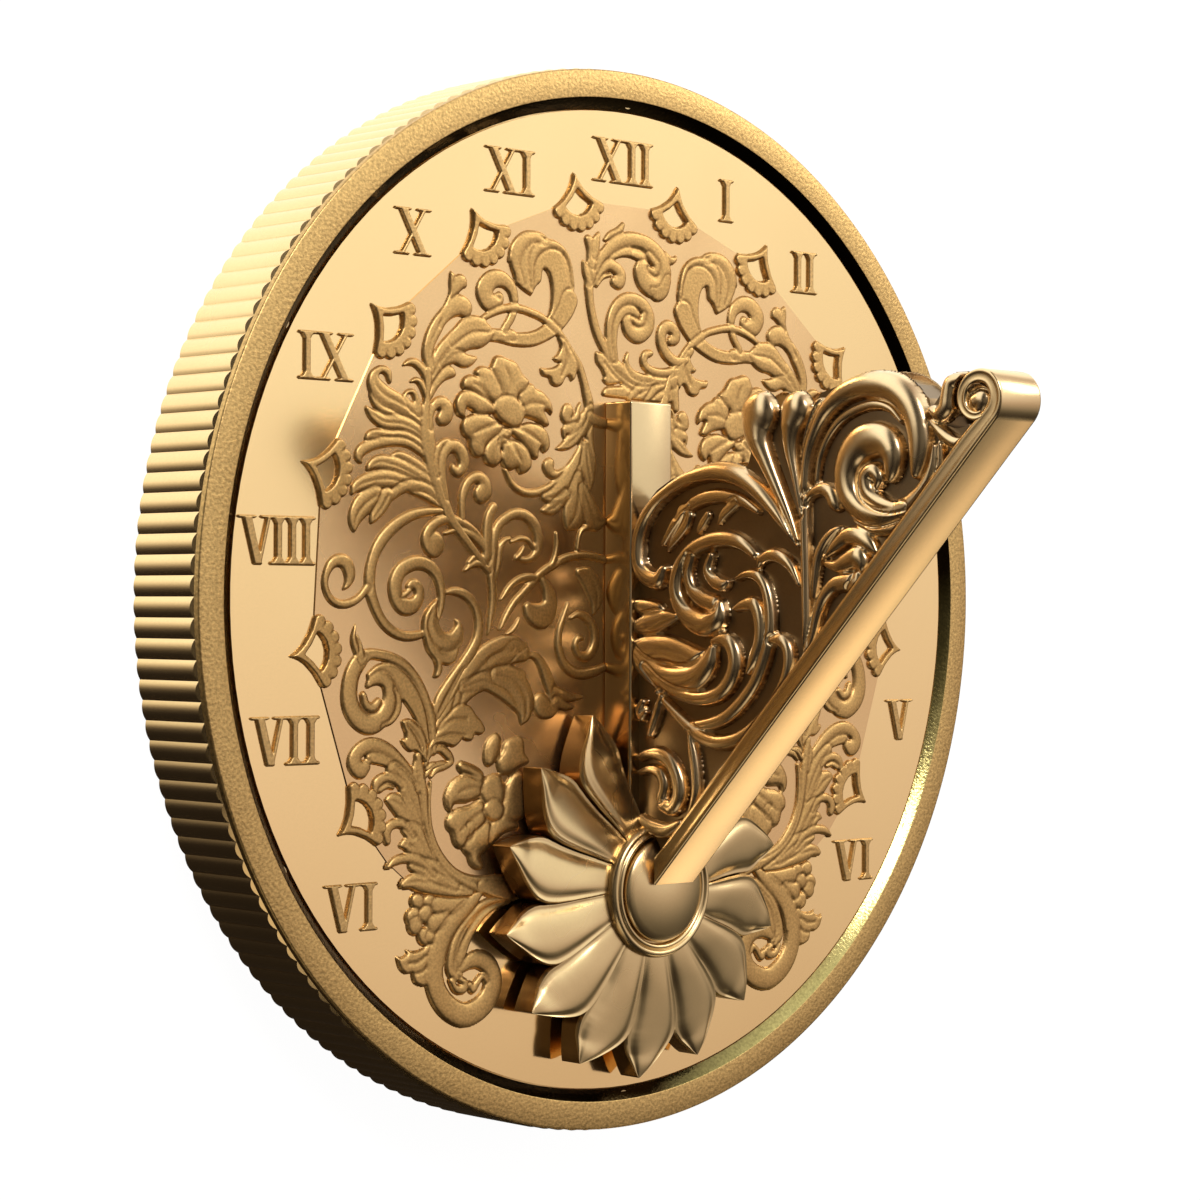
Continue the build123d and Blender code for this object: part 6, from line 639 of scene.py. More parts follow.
        ("s", "r", 1.15, [(16.46, 55.83, 3.4), (16.04, 53.33, 3.2), (16.25, 50, 2.6), (16.58, 46.25, 2.4)]),
        ("s", "r", 1.15, [(15, 52.5, 3.6), (17.08, 55, 3.4), (19.17, 57.42, 2.6), (21.67, 60.42, 2.2)]),
        ("s", "r", 1.1, [(12.58, 52.71, 1.6), (8.33, 52.5, 2.4), (5, 52.29, 2.8), (1.67, 52.83, 3), (-2.29, 54.79, 3), (-6.25, 58.12, 2.8), (-9.5,
         62.5, 2.6), (-11.25, 67.08, 2.4), (-12.08, 71.25, 2.4), (-12.17, 74.17, 3), (-11.25, 77.08, 4.4), (-10.42, 79.58, 4.6), (-9.17, 81.25, 2)]),
        ("s", "r", 1.05, [(-11.25, 79.17, 3.4), (-11.25, 82.08, 3.4), (-12.29, 84.17, 2.6), (-13.33, 84.75, 0.8)]),
        ("s", "r", 1.05, [(-10.42, 80.83, 2.4), (-10, 84.17, 2.4), (-9.08, 86.42, 0.6)]),
        ("s", "r", 1.05, [(-12.5, 74.17, 1.6), (-13.42, 76.67, 1.8), (-14.08, 79.08, 0.9)]),
        ("s", "r", 1.05, [(-7.29, 84.75, 0.8), (-5.42, 86.04, 1.8), (-2.71, 87.17, 2.2), (-1.25, 88.96, 1.2)]),
        ("s", "r", 1.05, [(12.5, 82.71, 2.4), (14.38, 81.67, 2.2), (16.04, 82, 1.4), (16.5, 82.83, 0.6)]),
        ("s", "b", 0.95, [(-9.17, 77.5, 2.4), (-7.08, 80.42, 3.4), (-3.75, 82.71, 4.2), (0, 83.54, 4.4), (3.33, 82.92, 4.2), (5.83, 81.67, 3)]),
        ("s", "r", 1.2, [(-9.79, 77.08, 1.8), (-8.12, 80.62, 2.6), (-4.58, 83.75, 3.2), (-0.42, 85.42, 3.6), (3.75, 85.5, 3.8), (7.5, 84.38, 4.4),
         (10.42, 82.08, 5), (12.29, 78.75, 5), (11.67, 75.83, 5), (8.96, 74.79, 5.4), (6.04, 76.04, 5.4), (4.79, 78.54, 4.6), (6.04, 79.79, 2.6)]),
        ("s", "r", 1.05, [(13.33, 76.67, 3), (12.08, 74.17, 3.6), (10, 73.12, 3.4), (8.12, 73.75, 2)]),
        ("s", "g", 1, [(1.67, 83.33, 0.7), (4.58, 83.12, 0.9), (6.67, 81.25, 0.9)]),
        ("s", "r", 1.3, [(6.88, 82.5, 1.6), (8.33, 81.25, 2), (9.58, 80, 2), (9.17, 78.33, 2), (7.29, 78.96, 1.6)]),
        ("s", "r", 1.2, [(-10.33, 74.08, 1.2), (-8.54, 77.08, 1.8), (-6.25, 78.83, 2.6), (-3.96, 78.54, 3), (-2.08, 77.08, 3.2), (-2.5, 75.21, 3.6),
         (-3.83, 75.08, 2.8)]),
        ("s", "r", 1.05, [(-9.79, 73.75, 1), (-7.92, 75.83, 1.2), (-5.42, 76.67, 1)]),
        ("s", "b", 0.9, [(-3.96, 57.08, 2.4), (-4.67, 60.83, 3), (-4.17, 65, 3.2), (-2.08, 67.92, 3), (0.83, 68.96, 2.8), (3.33, 67.92, 2)]),
        ("s", "r", 1.2, [(-4.79, 56.67, 1.6), (-5.83, 60.42, 1.9), (-5.75, 65, 2.1), (-4.17, 68.75, 2.4), (-1.25, 71.04, 2.8), (2.08, 71.46, 3.2),
         (5.42, 70.21, 3.6), (7.29, 67.5, 3.8), (6.75, 64.58, 3.8), (3.75, 62.92, 4), (0.92, 63.83, 3.6), (0, 65.83, 3), (0.92, 66.75, 1.8)]),
        ("s", "r", 1.25, [(1.67, 66.67, 1.2), (3.33, 65.83, 1.8), (5, 66.25, 1.8), (5.42, 67.92, 1.4)]),
        ("s", "r", 1.1, [(0.5, 58.54, 0.8), (-0.08, 56.25, 1.6), (1.67, 53.96, 2), (5, 53, 2), (7.92, 53, 1.6)]),
        ("s", "r", 1.15, [(8.12, 58.96, 1.6), (6.17, 58.33, 2.2), (5.92, 56.25, 2.2), (8.33, 54.79, 2.2), (12.5, 54.5, 2.2), (16.67, 55.42, 2.2)]),
        ("s", "r", 1.2, [(20, 57.92, 2.2), (16.67, 57.42, 2.8), (13.75, 58.75, 3.1), (11.75, 61.46, 3.1), (11.88, 64.38, 3.1), (13.75, 65.75, 3.2),
         (15.83, 65, 3.2), (16.33, 63.12, 3.2), (14.79, 62.29, 2.4)]),
    ],
    "scrollwork": [
        ("s", "r", 2.9, [(61.9, -13.57, 1.8), (61.67, -2.14, 2), (61.43, 7.38, 2), (61.1, 14.52, 2), (60.95, 21.67, 2.2), (61.29, 28.33, 2.2), (61.9,
         34.52, 2.4), (63.57, 39.29, 2.6), (65.71, 42.62, 3)]),
        ("s", "r", 3, [(61.19, 24.52, 1.8), (61.9, 31.19, 2.2), (63.81, 36.43, 2.6), (67.14, 41.43, 3.2), (71.9, 44.76, 3.8), (76.67, 46.29, 4.2),
         (81.43, 46.52, 4.6), (86.67, 45.48, 5), (90.95, 42.38, 5.2), (93.33, 38.33, 5), (94.19, 34.05, 4.6), (93.9, 30.24, 3.8), (93.33, 27.14,
         2.4)]),
        ("s", "r", 1.8, [(64.05, 25.48, 1.2), (65, 31.19, 1.5), (67.62, 35.95, 1.6), (71.43, 39.52, 1.7), (76.19, 41.52, 1.7), (80.95, 42.24, 1.7),
         (85.24, 41.19, 1.4), (88.57, 38.33, 1)]),
        ("s", "r", 2.6, [(99.9, 34.52, 1), (99.62, 28.33, 1.8), (97.62, 23.33, 2.2), (93.57, 18.71, 2.4), (88.81, 15.86, 2.4), (83.81, 15.1, 2.4),
         (79.05, 15.71, 1.8), (75.71, 17.38, 1)]),
        ("s", "r", 2.9, [(98.48, 32.62, 1), (97.62, 27.86, 2), (95.24, 23.57, 3), (91.43, 20.48, 3.6), (87.14, 19.05, 3.8), (82.38, 18.33, 4.2),
         (78.1, 19.52, 4.6), (74.52, 22.62, 5), (73.24, 26.9, 5.4), (74.52, 31.19, 6), (77.62, 34.05, 6.4), (81.43, 34.76, 6.2), (84.76, 33.81, 5.6),
         (86.67, 31.19, 4.6), (86.57, 27.86, 3.2), (86.1, 25.86, 1.4)]),
        ("s", "r", 2.9, [(90.48, 20, 1.4), (86.67, 20, 2.2), (82.86, 21.1, 2.8), (79.76, 23.33, 3.2), (79.05, 26.43, 3.4), (80.95, 27.86, 3.2),
         (82.76, 26.43, 2.6), (82.38, 24.52, 1.4)]),
        ("s", "r", 2.4, [(61.19, 21.1, 1), (62.86, 23.33, 1.8), (65.71, 24.29, 2.4), (68.33, 23.33, 2.8), (69.76, 21.1, 2.8), (71.05, 20, 1)]),
        ("s", "r", 2.4, [(63.9, 0.48, 1), (64.19, 5, 1.8), (65, 9.29, 2.2), (67.14, 12.86, 2.2), (70, 15, 1.8), (72.14, 15.57, 0.8)]),
        ("s", "r", 2.4, [(67.86, 10, 1.2), (70.24, 11.9, 2.4), (73.33, 13.81, 3.2), (76.43, 13.67, 3.6), (79.29, 12.38, 3.2), (82, 10.33, 1)]),
        ("s", "r", 2.6, [(67.62, 7.86, 1.4), (70.48, 7.38, 2.4), (73.81, 8.57, 3.4), (76.43, 9.29, 4), (77.86, 7.86, 3), (77.62, 5.95, 1.4)]),
        ("s", "r", 2.4, [(60.95, -14.05, 0.8), (63.24, -8.81, 1.8), (64.67, -3.57, 2.2), (66.67, 0.48, 2.6), (69.52, 3.1, 3), (72.62, 3.81, 3.2),
         (75.48, 3.81, 3.4), (76.43, 5, 2.4)]),
        ("s", "r", 2.4, [(75.24, 2.14, 2.2), (76.19, 3.1, 2.2), (76.43, 5.24, 1.4)]),
        ("s", "r", 2.6, [(97.62, 37.76, 1.4), (100.48, 35.1, 2.2), (103.81, 33.19, 2.4), (107.14, 33.33, 2.2), (110.71, 35, 1.8)]),
        ("s", "r", 2.9, [(105.71, 46.52, 2.2), (102.86, 45.71, 3), (102.14, 43.1, 3.4), (101.67, 40.71, 3.6), (99.52, 39.29, 2.8), (97.38, 40.48,
         1.4)]),
        ("s", "r", 3, [(113.33, 32.62, 2), (116.19, 36.43, 2.6), (117.86, 39.76, 3.2), (117.14, 43.1, 3.6), (114.52, 45.48, 3.6), (110.71, 46.05,
         3.4), (107.38, 44.52, 3.2), (105.95, 41.43, 3), (107.14, 38.57, 2.4), (109.76, 37.48, 2.2), (112.38, 39.05, 1.6)]),
        ("s", "r", 2.9, [(110, 41.43, 3.6), (111.43, 41.67, 4), (111.19, 40.24, 3.2)]),
        ("s", "r", 3, [(59.38, 12.14, 1.2), (56.43, 15.57, 2.2), (52.14, 19.86, 2.8), (47.38, 24.05, 3.2), (42.62, 26.9, 3.4), (37.86, 28.52, 3.6),
         (33.1, 29.05, 3.4), (28.33, 28.57, 3), (23.57, 27.38, 2.8), (18.81, 25.38, 2.6), (14.05, 22.52, 2.6), (10.71, 19.05, 2.8), (8.71, 15.24, 3),
         (8.1, 11.19, 3.2), (8.9, 7.38, 3.2), (11.67, 5, 3.4), (15, 4.52, 3.4), (17, 6.9, 2)]),
        ("s", "r", 2, [(46.43, 19.76, 1.2), (41.67, 22.14, 2), (36.9, 23.33, 2.4), (32.14, 23.57, 2.6), (27.38, 22.62, 2.6), (23.57, 20.71, 2.4),
         (19.76, 17.38, 2), (16.43, 13.1, 1.4)]),
        ("s", "r", 1.6, [(17.38, 11.19, 0.6), (20.24, 14.05, 1.6), (23.1, 16.9, 2), (24.52, 19.29, 1.6)]),
        ("s", "r", 1.6, [(27.38, 15.48, 1), (28.81, 17.38, 1.8), (30.48, 19.29, 1.6)]),
        ("s", "r", 1.6, [(34.05, 17.38, 0.8), (35.95, 19.76, 2), (39.29, 21.9, 1.8)]),
        ("s", "r", 1.6, [(20.48, 19.05, 0.8), (21.9, 20.95, 1.5), (24.52, 21.67, 1.2)]),
        ("s", "r", 2.8, [(47.38, 9.05, 1.4), (44.52, 11.1, 2.3), (40.71, 13.1, 2.9), (35.95, 13.86, 3.1), (31.19, 13.33, 3.1), (26.43, 11.57, 3.1),
         (22.86, 8.71, 3.1), (20.95, 5, 3.2), (21.1, 0.71, 3.4), (23.57, -2.86, 3.8), (26.9, -5, 4.4), (30.71, -5.71, 4.8), (34.05, -4.05, 4.6),
         (34.76, -1.43, 2.6)]),
        ("s", "r", 2.4, [(25.95, 9.76, 1.6), (24.62, 5.95, 2.3), (25.95, 2.14, 2.7), (29.29, 0, 3), (32.86, -0.95, 3)]),
        ("s", "r", 2.6, [(32.14, 10, 1.6), (30.95, 6.9, 2.2), (32.62, 4.52, 2.6), (35.48, 3.33, 2.6), (37.29, 3.95, 1.2)]),
        ("s", "r", 2.4, [(59.38, 3.33, 1.2), (56.9, 7.14, 2), (54.05, 9.19, 2.5), (50.71, 10, 2.4), (47.86, 9.05, 1.8), (46.9, 7.38, 1)]),
        ("s", "r", 2.4, [(40, 4.76, 1), (43.1, 5.71, 1.7), (46.43, 5.24, 2.2), (48.81, 2.86, 2.3), (50.14, -1.19, 2.4), (50.48, -5.95, 2.5), (49.52,
         -10.71, 2.7), (47.62, -15.48, 2.8), (45, -19.76, 2.8), (40.71, -24.05, 2.8), (35.48, -27.29, 2.6), (29.29, -28.71, 2.2), (23.57, -29.05,
         1.4)]),
        ("s", "r", 2.2, [(39.29, -2.14, 1), (42.14, -1.19, 2.2), (45.24, -1.19, 2.8), (46.9, -4.05, 2.8), (47.14, -8.81, 2.6), (45.48, -13.1, 2.4),
         (43.57, -16.43, 1.2)]),
        ("s", "r", 2.2, [(7.14, -1.19, 2), (10.71, -2.14, 3.6), (14.52, -3.1, 3.8), (15.48, -3.57, 2.4)]),
        ("s", "r", 2.2, [(7.14, -6.43, 2.4), (12.14, -5.71, 4.2), (16.9, -4.52, 3.4), (20.71, -4.05, 1.4)]),
        ("s", "l", 2.3, [(7.29, -10.95, 2.6), (12.14, -11.67, 5.4), (17.86, -11.67, 5.2), (23.57, -13.1, 5), (28.33, -14.29, 4.6), (32.14, -13.1,
         2.4)]),
        ("s", "l", 2.4, [(7.14, -12.62, 3), (10.71, -15.71, 4.2), (15.95, -18.1, 5), (21.67, -18.81, 5.4), (27.38, -17.62, 5), (31.19, -14.52, 4),
         (32.71, -10.95, 2)]),
        ("s", "r", 2.6, [(32.86, -9.52, 1.4), (35.95, -9.05, 2.8), (38.71, -10.71, 3.2), (39.67, -14.52, 3.3), (37.86, -18.81, 3.2), (34.05, -21.67,
         3), (28.33, -22.71, 2.8), (21.67, -21.76, 2.4), (15.95, -19.29, 2), (11.19, -15.57, 1.2)]),
        ("s", "r", 2.6, [(51.43, -9.05, 1.6), (53.81, -9.05, 2.6), (55.95, -10.95, 2.6), (56.19, -15, 2.6), (54.29, -19.76, 2.6), (50.24, -25, 2.6),
         (45.48, -28.81, 2.6), (40.24, -31.67, 2.8), (34.05, -32.62, 2.8), (28.33, -31.29, 2.6), (23.57, -28.43, 2.3), (18.81, -25, 1.8), (14.52,
         -21.43, 1)]),
        ("s", "r", 2.5, [(8.81, -37, 1.4), (11.43, -36.05, 2), (15.48, -36.05, 2.8), (19.29, -37.95, 3), (21.57, -41.67, 3.3), (21.9, -45.48, 3.3),
         (19.76, -48.1, 3.2), (16.67, -47.62, 2.8)]),
        ("s", "r", 2.2, [(8.81, -40.48, 1.2), (12.14, -39.67, 1.8), (15.48, -40.48, 2.4), (16.9, -43.1, 2.6), (15.95, -45.95, 2.4)]),
        ("s", "r", 2.5, [(25.48, -30.95, 1.4), (26.52, -35.48, 2.2), (27.38, -40.24, 2.2), (27.38, -44.52, 2.2), (25.86, -48.81, 1.4)]),
        ("s", "r", 2.4, [(15.95, -22.62, 1.4), (14.43, -26.43, 2), (12.24, -31.43, 1.4)]),
        ("s", "r", 2.3, [(9.76, -24.05, 1.6), (8.57, -25.95, 2), (9.29, -27.62, 1.8), (10.71, -26.43, 1.2)]),
        ("s", "r", 2.4, [(9.29, -51.29, 1.8), (13.1, -53.19, 2.8), (17.86, -53.67, 2.8), (22.14, -51.67, 1.6)]),
        ("s", "r", 2.9, [(59.29, 13.1, 1), (56.43, 18.81, 1.8), (53.1, 24.52, 2.6), (49.76, 30.24, 3.4), (47.14, 35, 4.6), (46.19, 38.81, 6.4),
         (46.67, 41.67, 8)]),
        ("s", "r", 2.9, [(60.33, 18.81, 1), (58.57, 26.43, 1.8), (56.9, 33.1, 2.8), (56.9, 38.33, 4.6), (58.1, 42.14, 6.4)]),
    ],
}

# ------------------------------------------------------------------ keep CAD nodes whose shape is right
KEEP = {"dial_plate": M_dial, "chapter_platform": M_plat, "gnomon_web": M_web, "flower_stem": M_fix,
        "flower_nut": M_fix, "gnomon_screws": M_fix, "rim_screws": M_fix, "base_drum": M_drum}
for n, m in KEEP.items():
    me = N[n].data
    me.materials.clear()
    me.materials.append(m)

# ------------------------------------------------------------------ relief castings on the dial
def dial_relief(name, key, ds=0.25, z0=PLAT, hs=1.0, sides=("west", "east"), trim=None):
    els = ORN[key]
    P = np.array([p[:2] for e in els for p in e[3]])
    xs = np.arange(P[:, 0].min() - 4.5, P[:, 0].max() + 4.5, ds); ys = np.arange(P[:, 1].min() - 4.5, P[:, 1].max() + 4.5, ds)
    X, Y = np.meshgrid(xs, ys)
    Z = blur(relief(els, X, Y, hs=hs), 1)
    if key == "lower_rosette":          # the lobes spring from one thin leaf
        m = (Z > 0.05).astype(float)
        for _ in range(3): m = blur(m, 2)
        Z = np.maximum(Z, 0.75 * np.clip((m - 0.22) / 0.2, 0, 1) - 0.1)
    Z = np.where(Z > 0, np.tanh(Z / 1.25) * 1.25, Z)
    if trim is not None: Z = np.where(trim(X, Y), -0.45, Z)
    floor = FIELD - z0 - 0.05 if z0 == FIELD else -0.15
    for s in sides:
        sg = -1.0 if s == "east" else 1.0
        V, F = grid_mesh(Z, X, Y, floor, lambda x, y, h: np.stack([sg * x, y, z0 + h], 1))
        node = name if len(sides) == 1 else s + "_" + name
        fast_object(node + "_relief", V, F, M_rel, (node,), flip=(s == "east"))


off_bar = lambda X, Y: (np.abs(X) < 6.6) & (Y < 46.4)
dial_relief("upper_scroll", "upper_scroll", trim=off_bar)
dial_relief("upper_rosette", "upper_rosette", trim=off_bar)
dial_relief("side_leaf", "side_leaf", trim=off_bar)
dial_relief("side_scroll", "side_scroll", trim=off_bar)
dial_relief("inner_scroll", "inner_scroll", trim=off_bar)
dial_relief("acanthus_fan", "acanthus_fan", trim=off_bar)
dial_relief("lower_rosette", "lower_rosette", trim=off_bar)
dial_relief("lower_leaf", "lower_leaf", trim=off_bar)
dial_relief("foot_scroll", "foot_scroll", z0=FIELD, hs=1.15)
dial_relief("crest_casting", "crest", sides=("one",), trim=off_bar)

# ------------------------------------------------------------------ numerals
LH = 10.5


def glyph_i(x, y):
    w, s, b = 4.6, 0.8, 0.62
    c = x + w / 2
    return [[(x, y), (x + w, y), (x + w, y + b), (c + s + .7, y + b + .1), (c + s, y + b + 1.1), (c + s, y + LH - b - 1.1),
             (c + s + .7, y + LH - b - .1), (x + w, y + LH - b), (x + w, y + LH), (x, y + LH), (x, y + LH - b),
             (c - s - .7, y + LH - b - .1), (c - s, y + LH - b - 1.1), (c - s, y + b + 1.1), (c - s - .7, y + b + .1), (x, y + b)]]


def lean(p, q, w):
    return [(p[0] - w / 2, p[1]), (p[0] + w / 2, p[1]), (q[0] + w / 2, q[1]), (q[0] - w / 2, q[1])]


def foot(xc, y, w, up):
    b = 0.62 if up else -0.62
    return [(xc - w / 2, y), (xc + w / 2, y), (xc + w / 2, y + b * .8), (xc + w / 2 - 1.0, y + b), (xc - w / 2 + 1.0, y + b),
            (xc - w / 2, y + b * .8)]


def glyph_x(x, y):
    w = 10.6
    return [lean((x + w - 2.4, y + .2), (x + 2.4, y + LH - .2), 2.2), lean((x + 2.1, y + .2), (x + w - 2.1, y + LH - .2), 1.05),
            foot(x + w - 2.4, y, 4.8, True), foot(x + 2.1, y, 4.2, True), foot(x + 2.4, y + LH, 4.8, False),
            foot(x + w - 2.1, y + LH, 4.2, False)]


def glyph_v(x, y):
    w = 10.4
    return [lean((x + w / 2 + .2, y), (x + 2.5, y + LH - .2), 2.2), lean((x + w / 2 + .4, y), (x + w - 2.2, y + LH - .2), 1.05),
            foot(x + 2.5, y + LH, 4.9, False), foot(x + w - 2.2, y + LH, 4.2, False)]


GLYPH = {"I": glyph_i, "V": glyph_v, "X": glyph_x}
NUM = {"numeral_12": ([("X", -10.9), ("I", -0.4), ("I", 4.1)], 98.5), "numeral_11": ([("X", -44.6), ("I", -34.1)], 92.7),
       "numeral_10": ([("X", -71.2)], 76.3), "numeral_9": ([("I", -97.8), ("X", -93.3)], 47.1),
       "numeral_8": ([("V", -113.9), ("I", -105.3), ("I", -101.5), ("I", -97.7)], 6.9),
       "numeral_7": ([("V", -110.3), ("I", -100.8), ("I", -96.3)], -36.1), "numeral_6_am": ([("V", -90.3), ("I", -80.0)], -73.1),
       "numeral_1": ([("I", 31.9)], 92.7), "numeral_2": ([("I", 57.9), ("I", 62.4)], 77.3),
       "numeral_3": ([("I", 83.6), ("I", 88.1), ("I", 92.6)], 47.1), "numeral_4": ([("I", 96.9), ("V", 100.9)], 6.9),
       "numeral_5": ([("V", 94.3)], -36.1), "numeral_6_pm": ([("V", 74.2), ("I", 84.5)], -71.6)}


def poly_dist(X, Y, c):
    """Signed distance to a straight-sided outline, positive inside."""
    c = np.array(c, float); inside = np.zeros(X.shape, bool); D = np.full(X.shape, 1e9)
    for a, b in zip(c, np.roll(c, -1, 0)):
        ab = b - a; L2 = ab @ ab + 1e-12
        t = np.clip(((X - a[0]) * ab[0] + (Y - a[1]) * ab[1]) / L2, 0, 1)
        D = np.minimum(D, (X - a[0] - t * ab[0])**2 + (Y - a[1] - t * ab[1])**2)
        if a[1] != b[1]:
            inside ^= ((a[1] > Y) != (b[1] > Y)) & (X < (b[0] - a[0]) * (Y - a[1]) / (b[1] - a[1]) + a[0])
    s = np.sqrt(D)
    return np.where(inside, s, -s)


def round_edge(sd, h, r, out=-0.3, wall=0.12):
    top = h - r + r * np.sqrt(np.maximum(1 - (1 - np.clip(sd / r, 0, 1))**2, 0))
    return np.where(sd > 0, top, (h - r) - (h - r - out) * np.clip(-sd / wall, 0, 1))


for nm, (cells, y0) in NUM.items():
    polys = [p for ch, x0 in cells for p in GLYPH[ch](x0, y0)]
    A = np.array([q for p in polys for q in p])
    ds = 0.14
    X, Y = np.meshgrid(np.arange(A[:, 0].min() - .6, A[:, 0].max() + .6, ds), np.arange(A[:, 1].min() - .6, A[:, 1].max() + .6, ds))
    sd = np.full(X.shape, -9.0)
    for p in polys: sd = np.maximum(sd, poly_dist(X, Y, p))
    Z = blur(round_edge(sd, 0.82, 0.34, out=-0.4), 1)
    V, F = grid_mesh(Z, X, Y, -0.1, lambda x, y, h: np.stack([x, y, FIELD + h], 1))
    fast_object(nm + "_cast", V, F, M_num, (nm,))

# ------------------------------------------------------------------ half-hour markers
SEATS = [((-15.9, 92.4), 99.8), ((-45.0, 81.9), 118.8), ((-72.1, 60.0), 140.2), ((-89.8, 27.2), 163.2), ((-92.5, -11.8), 187.3),
         ((-80.1, -48.1), 211.0)]
ds = 0.21
U, W = np.meshgrid(np.arange(-7.4, 8.2, ds), np.arange(-9.2, 9.2 + ds, ds))
side = np.array([(7.6, 0), (6.1, .55), (4.9, 1.2), (3.6, 2.15), (2.56, 3.3), (1.4, 4.7), (.54, 6.2), (-.1, 7.6), (-.5, 8.0)])
scal = []
for k in range(7):
    a0 = 110 + 20 * k
    for j in range(8):
        a = math.radians(a0 + 20 * j / 8)
        r = 8.35 + 0.75 * abs(math.sin(math.pi * j / 8))**0.7
        scal.append((2.4 + r * math.cos(a), r * math.sin(a)))
outer = list(side) + scal + [(u, -v) for u, v in side[::-1]][:-1]
hole = [(3.5, 0), (1.5, 1.8), (-.3, 4.2), (-1.4, 3.2), (-2.2, 1.9), (-2.6, 0), (-2.2, -1.9), (-1.4, -3.2), (-.3, -4.2), (1.5, -1.8)]
sd = np.minimum(poly_dist(U, W, outer), -poly_dist(U, W, hole))
Z = round_edge(sd, 1.15, 0.5, out=-0.4)
ang = np.degrees(np.arctan2(W, U - 2.4)) % 360; rr = np.hypot(U - 2.4, W)
for k in range(8):        # flutes between the scallops
    d = rr * np.radians(ang - (110 + 20 * k))
    Z -= 0.20 * np.exp(-(d / 0.25)**2) * np.clip((rr - 6.6) / 1.4, 0, 1) * (sd > 0)
Z = blur(Z, 1)
VV, FF, base_i = [], [], 0
for (cx, cy), a in SEATS:
    ca, sa = math.cos(math.radians(a)), math.sin(math.radians(a))
    for sg in (1, -1):
        V, F = grid_mesh(Z, U, W, -0.1, lambda u, v, h: np.stack([sg * (cx + u * ca - v * sa), cy + u * sa + v * ca, FIELD + h], 1))
        if sg < 0: F = F[:, ::-1]
        VV.append(V); FF.append(F + base_i); base_i += len(V)
fast_object("half_hour_markers_cast", np.concatenate(VV), np.concatenate(FF), M_rel, ("half_hour_markers",))

# ------------------------------------------------------------------ gnomon scrollwork, both faces
ds = 0.2
ZS = np.arange(6.5, 122, ds); YS = np.arange(-62, 52, ds)
X, Y = np.meshgrid(ZS, YS)
els = [(e[0], "r" if e[1] == "l" else e[1], e[2] * 1.05, [(p[0], p[1], p[2] * 1.28 if e[0] == "s" and e[1] != "g" else p[2]) for p in e[3]]) for e in ORN["scrollwork"]]
Z = blur(relief(els, X, Y, base=0.8), 1)
front = 15.5 + 0.9657 * (Y + 66.4)
TC = (42.0, 133.9)
HT = np.hypot(Y - TC[0], X + TOP - TC[1])
Z = np.where(((X < 7.5) | (X > front - 6.5) | (HT < 6.9) | (X + TOP > 132.5)) & (HT > 3.3), -0.45, Z)
for s, sg in (("west", -1.0), ("east", 1.0)):
    V, F = grid_mesh(Z, X, Y, -0.1, lambda z, y, h: np.stack([sg * (3.75 + h), y, TOP + z], 1))
    fast_object("scrollwork_" + s + "_relief", V, F, M_gno_rel, ("scrollwork_" + s,), flip=(s == "west"))

# ------------------------------------------------------------------ style bar, wrapping round the tip
A44 = math.radians(44.0)
T = np.array([math.cos(A44), math.sin(A44)]); NN = np.array([-math.sin(A44), math.cos(A44)])
foot_p = np.array([-66.4, 38.5]); tip_c = np.array(TC); TR = 6.69
half = [(0.0, 0.0), (6.05, 0.0), (6.35, -0.05), (6.58, -0.18), (6.70, -0.40), (6.74, -0.7), (6.72, -1.1), (6.66, -1.4), (6.62, -1.8),
        (6.62, -2.8), (6.66, -3.2), (6.70, -3.5), (6.66, -4.0), (6.5, -4.35), (6.1, -4.56), (3.6, -4.6)]
sec = [(-x, n) for x, n in half[1:]][::-1] + half
L = float((tip_c - foot_p) @ T)
st = []          # outer point, inward direction, thickness, along
for s in [0.0, 0.15, 0.5] + list(np.linspace(1.5, L - 6.0, 60)) + list(np.linspace(L - 5.0, L, 8)):
    u = max(0.0, (s - (L - 9)) / 9)
    st.append((foot_p + s * T, -NN, 4.6 - 0.7 * u * u * (3 - 2 * u), True))
for k in range(1, 91):
    u = k / 90
    ph = math.radians(134 - 335 * u)
    d = np.array([math.cos(ph), math.sin(ph)])
    r = TR - 2.5 * max(0, u - 0.3) / 0.7
    st.append((tip_c + r * d, -d, 3.9 - 2.2 * u, False))
V, F = [], []
for O, D, th, straight in st:
    for x, n in sec:
        p = O - n * (th / 4.6) * D
        if straight and p[1] < 38.62:      # the foot is cut level where it rests on the dome
            p = p + T * ((38.62 - p[1]) / T[1])
        V.append((x, p[0], p[1]))
m = len(sec)
for k in range(len(st) - 1):
    for j in range(m):
        F.append((k * m + j, k * m + (j + 1) % m, (k + 1) * m + (j + 1) % m, (k + 1) * m + j))
F.append(tuple(range(m))[::-1]); F.append(tuple((len(st) - 1) * m + j for j in range(m)))
mesh_object("style_bar_cast", V, F, M_gno, ("style_bar",), sharp=40)

# eye of the volute, sunk between the band's edges
V, F = [], []
prof = [(0.0, 4.35), (3.8, 4.35), (4.6, 4.3), (4.9, 4.0), (4.9, -4.0), (4.6, -4.3), (3.8, -4.35), (0.0, -4.35)]
seg = 96
for r, x in prof[1:-1]:
    for i in range(seg):
        a = 2 * math.pi * i / seg
        V.append((x, tip_c[0] + r * math.cos(a), tip_c[1] + r * math.sin(a)))
nr = len(prof) - 2
for k in range(nr - 1):
    for i in range(seg):
        F.append((k * seg + i, (k + 1) * seg + i, (k + 1) * seg + (i + 1) % seg, k * seg + (i + 1) % seg))
F.append(tuple(range(seg))); F.append(tuple((nr - 1) * seg + i for i in range(seg))[::-1])
mesh_object("tip_volute_cast", V, F, M_web, ("tip_volute",), sharp=40)


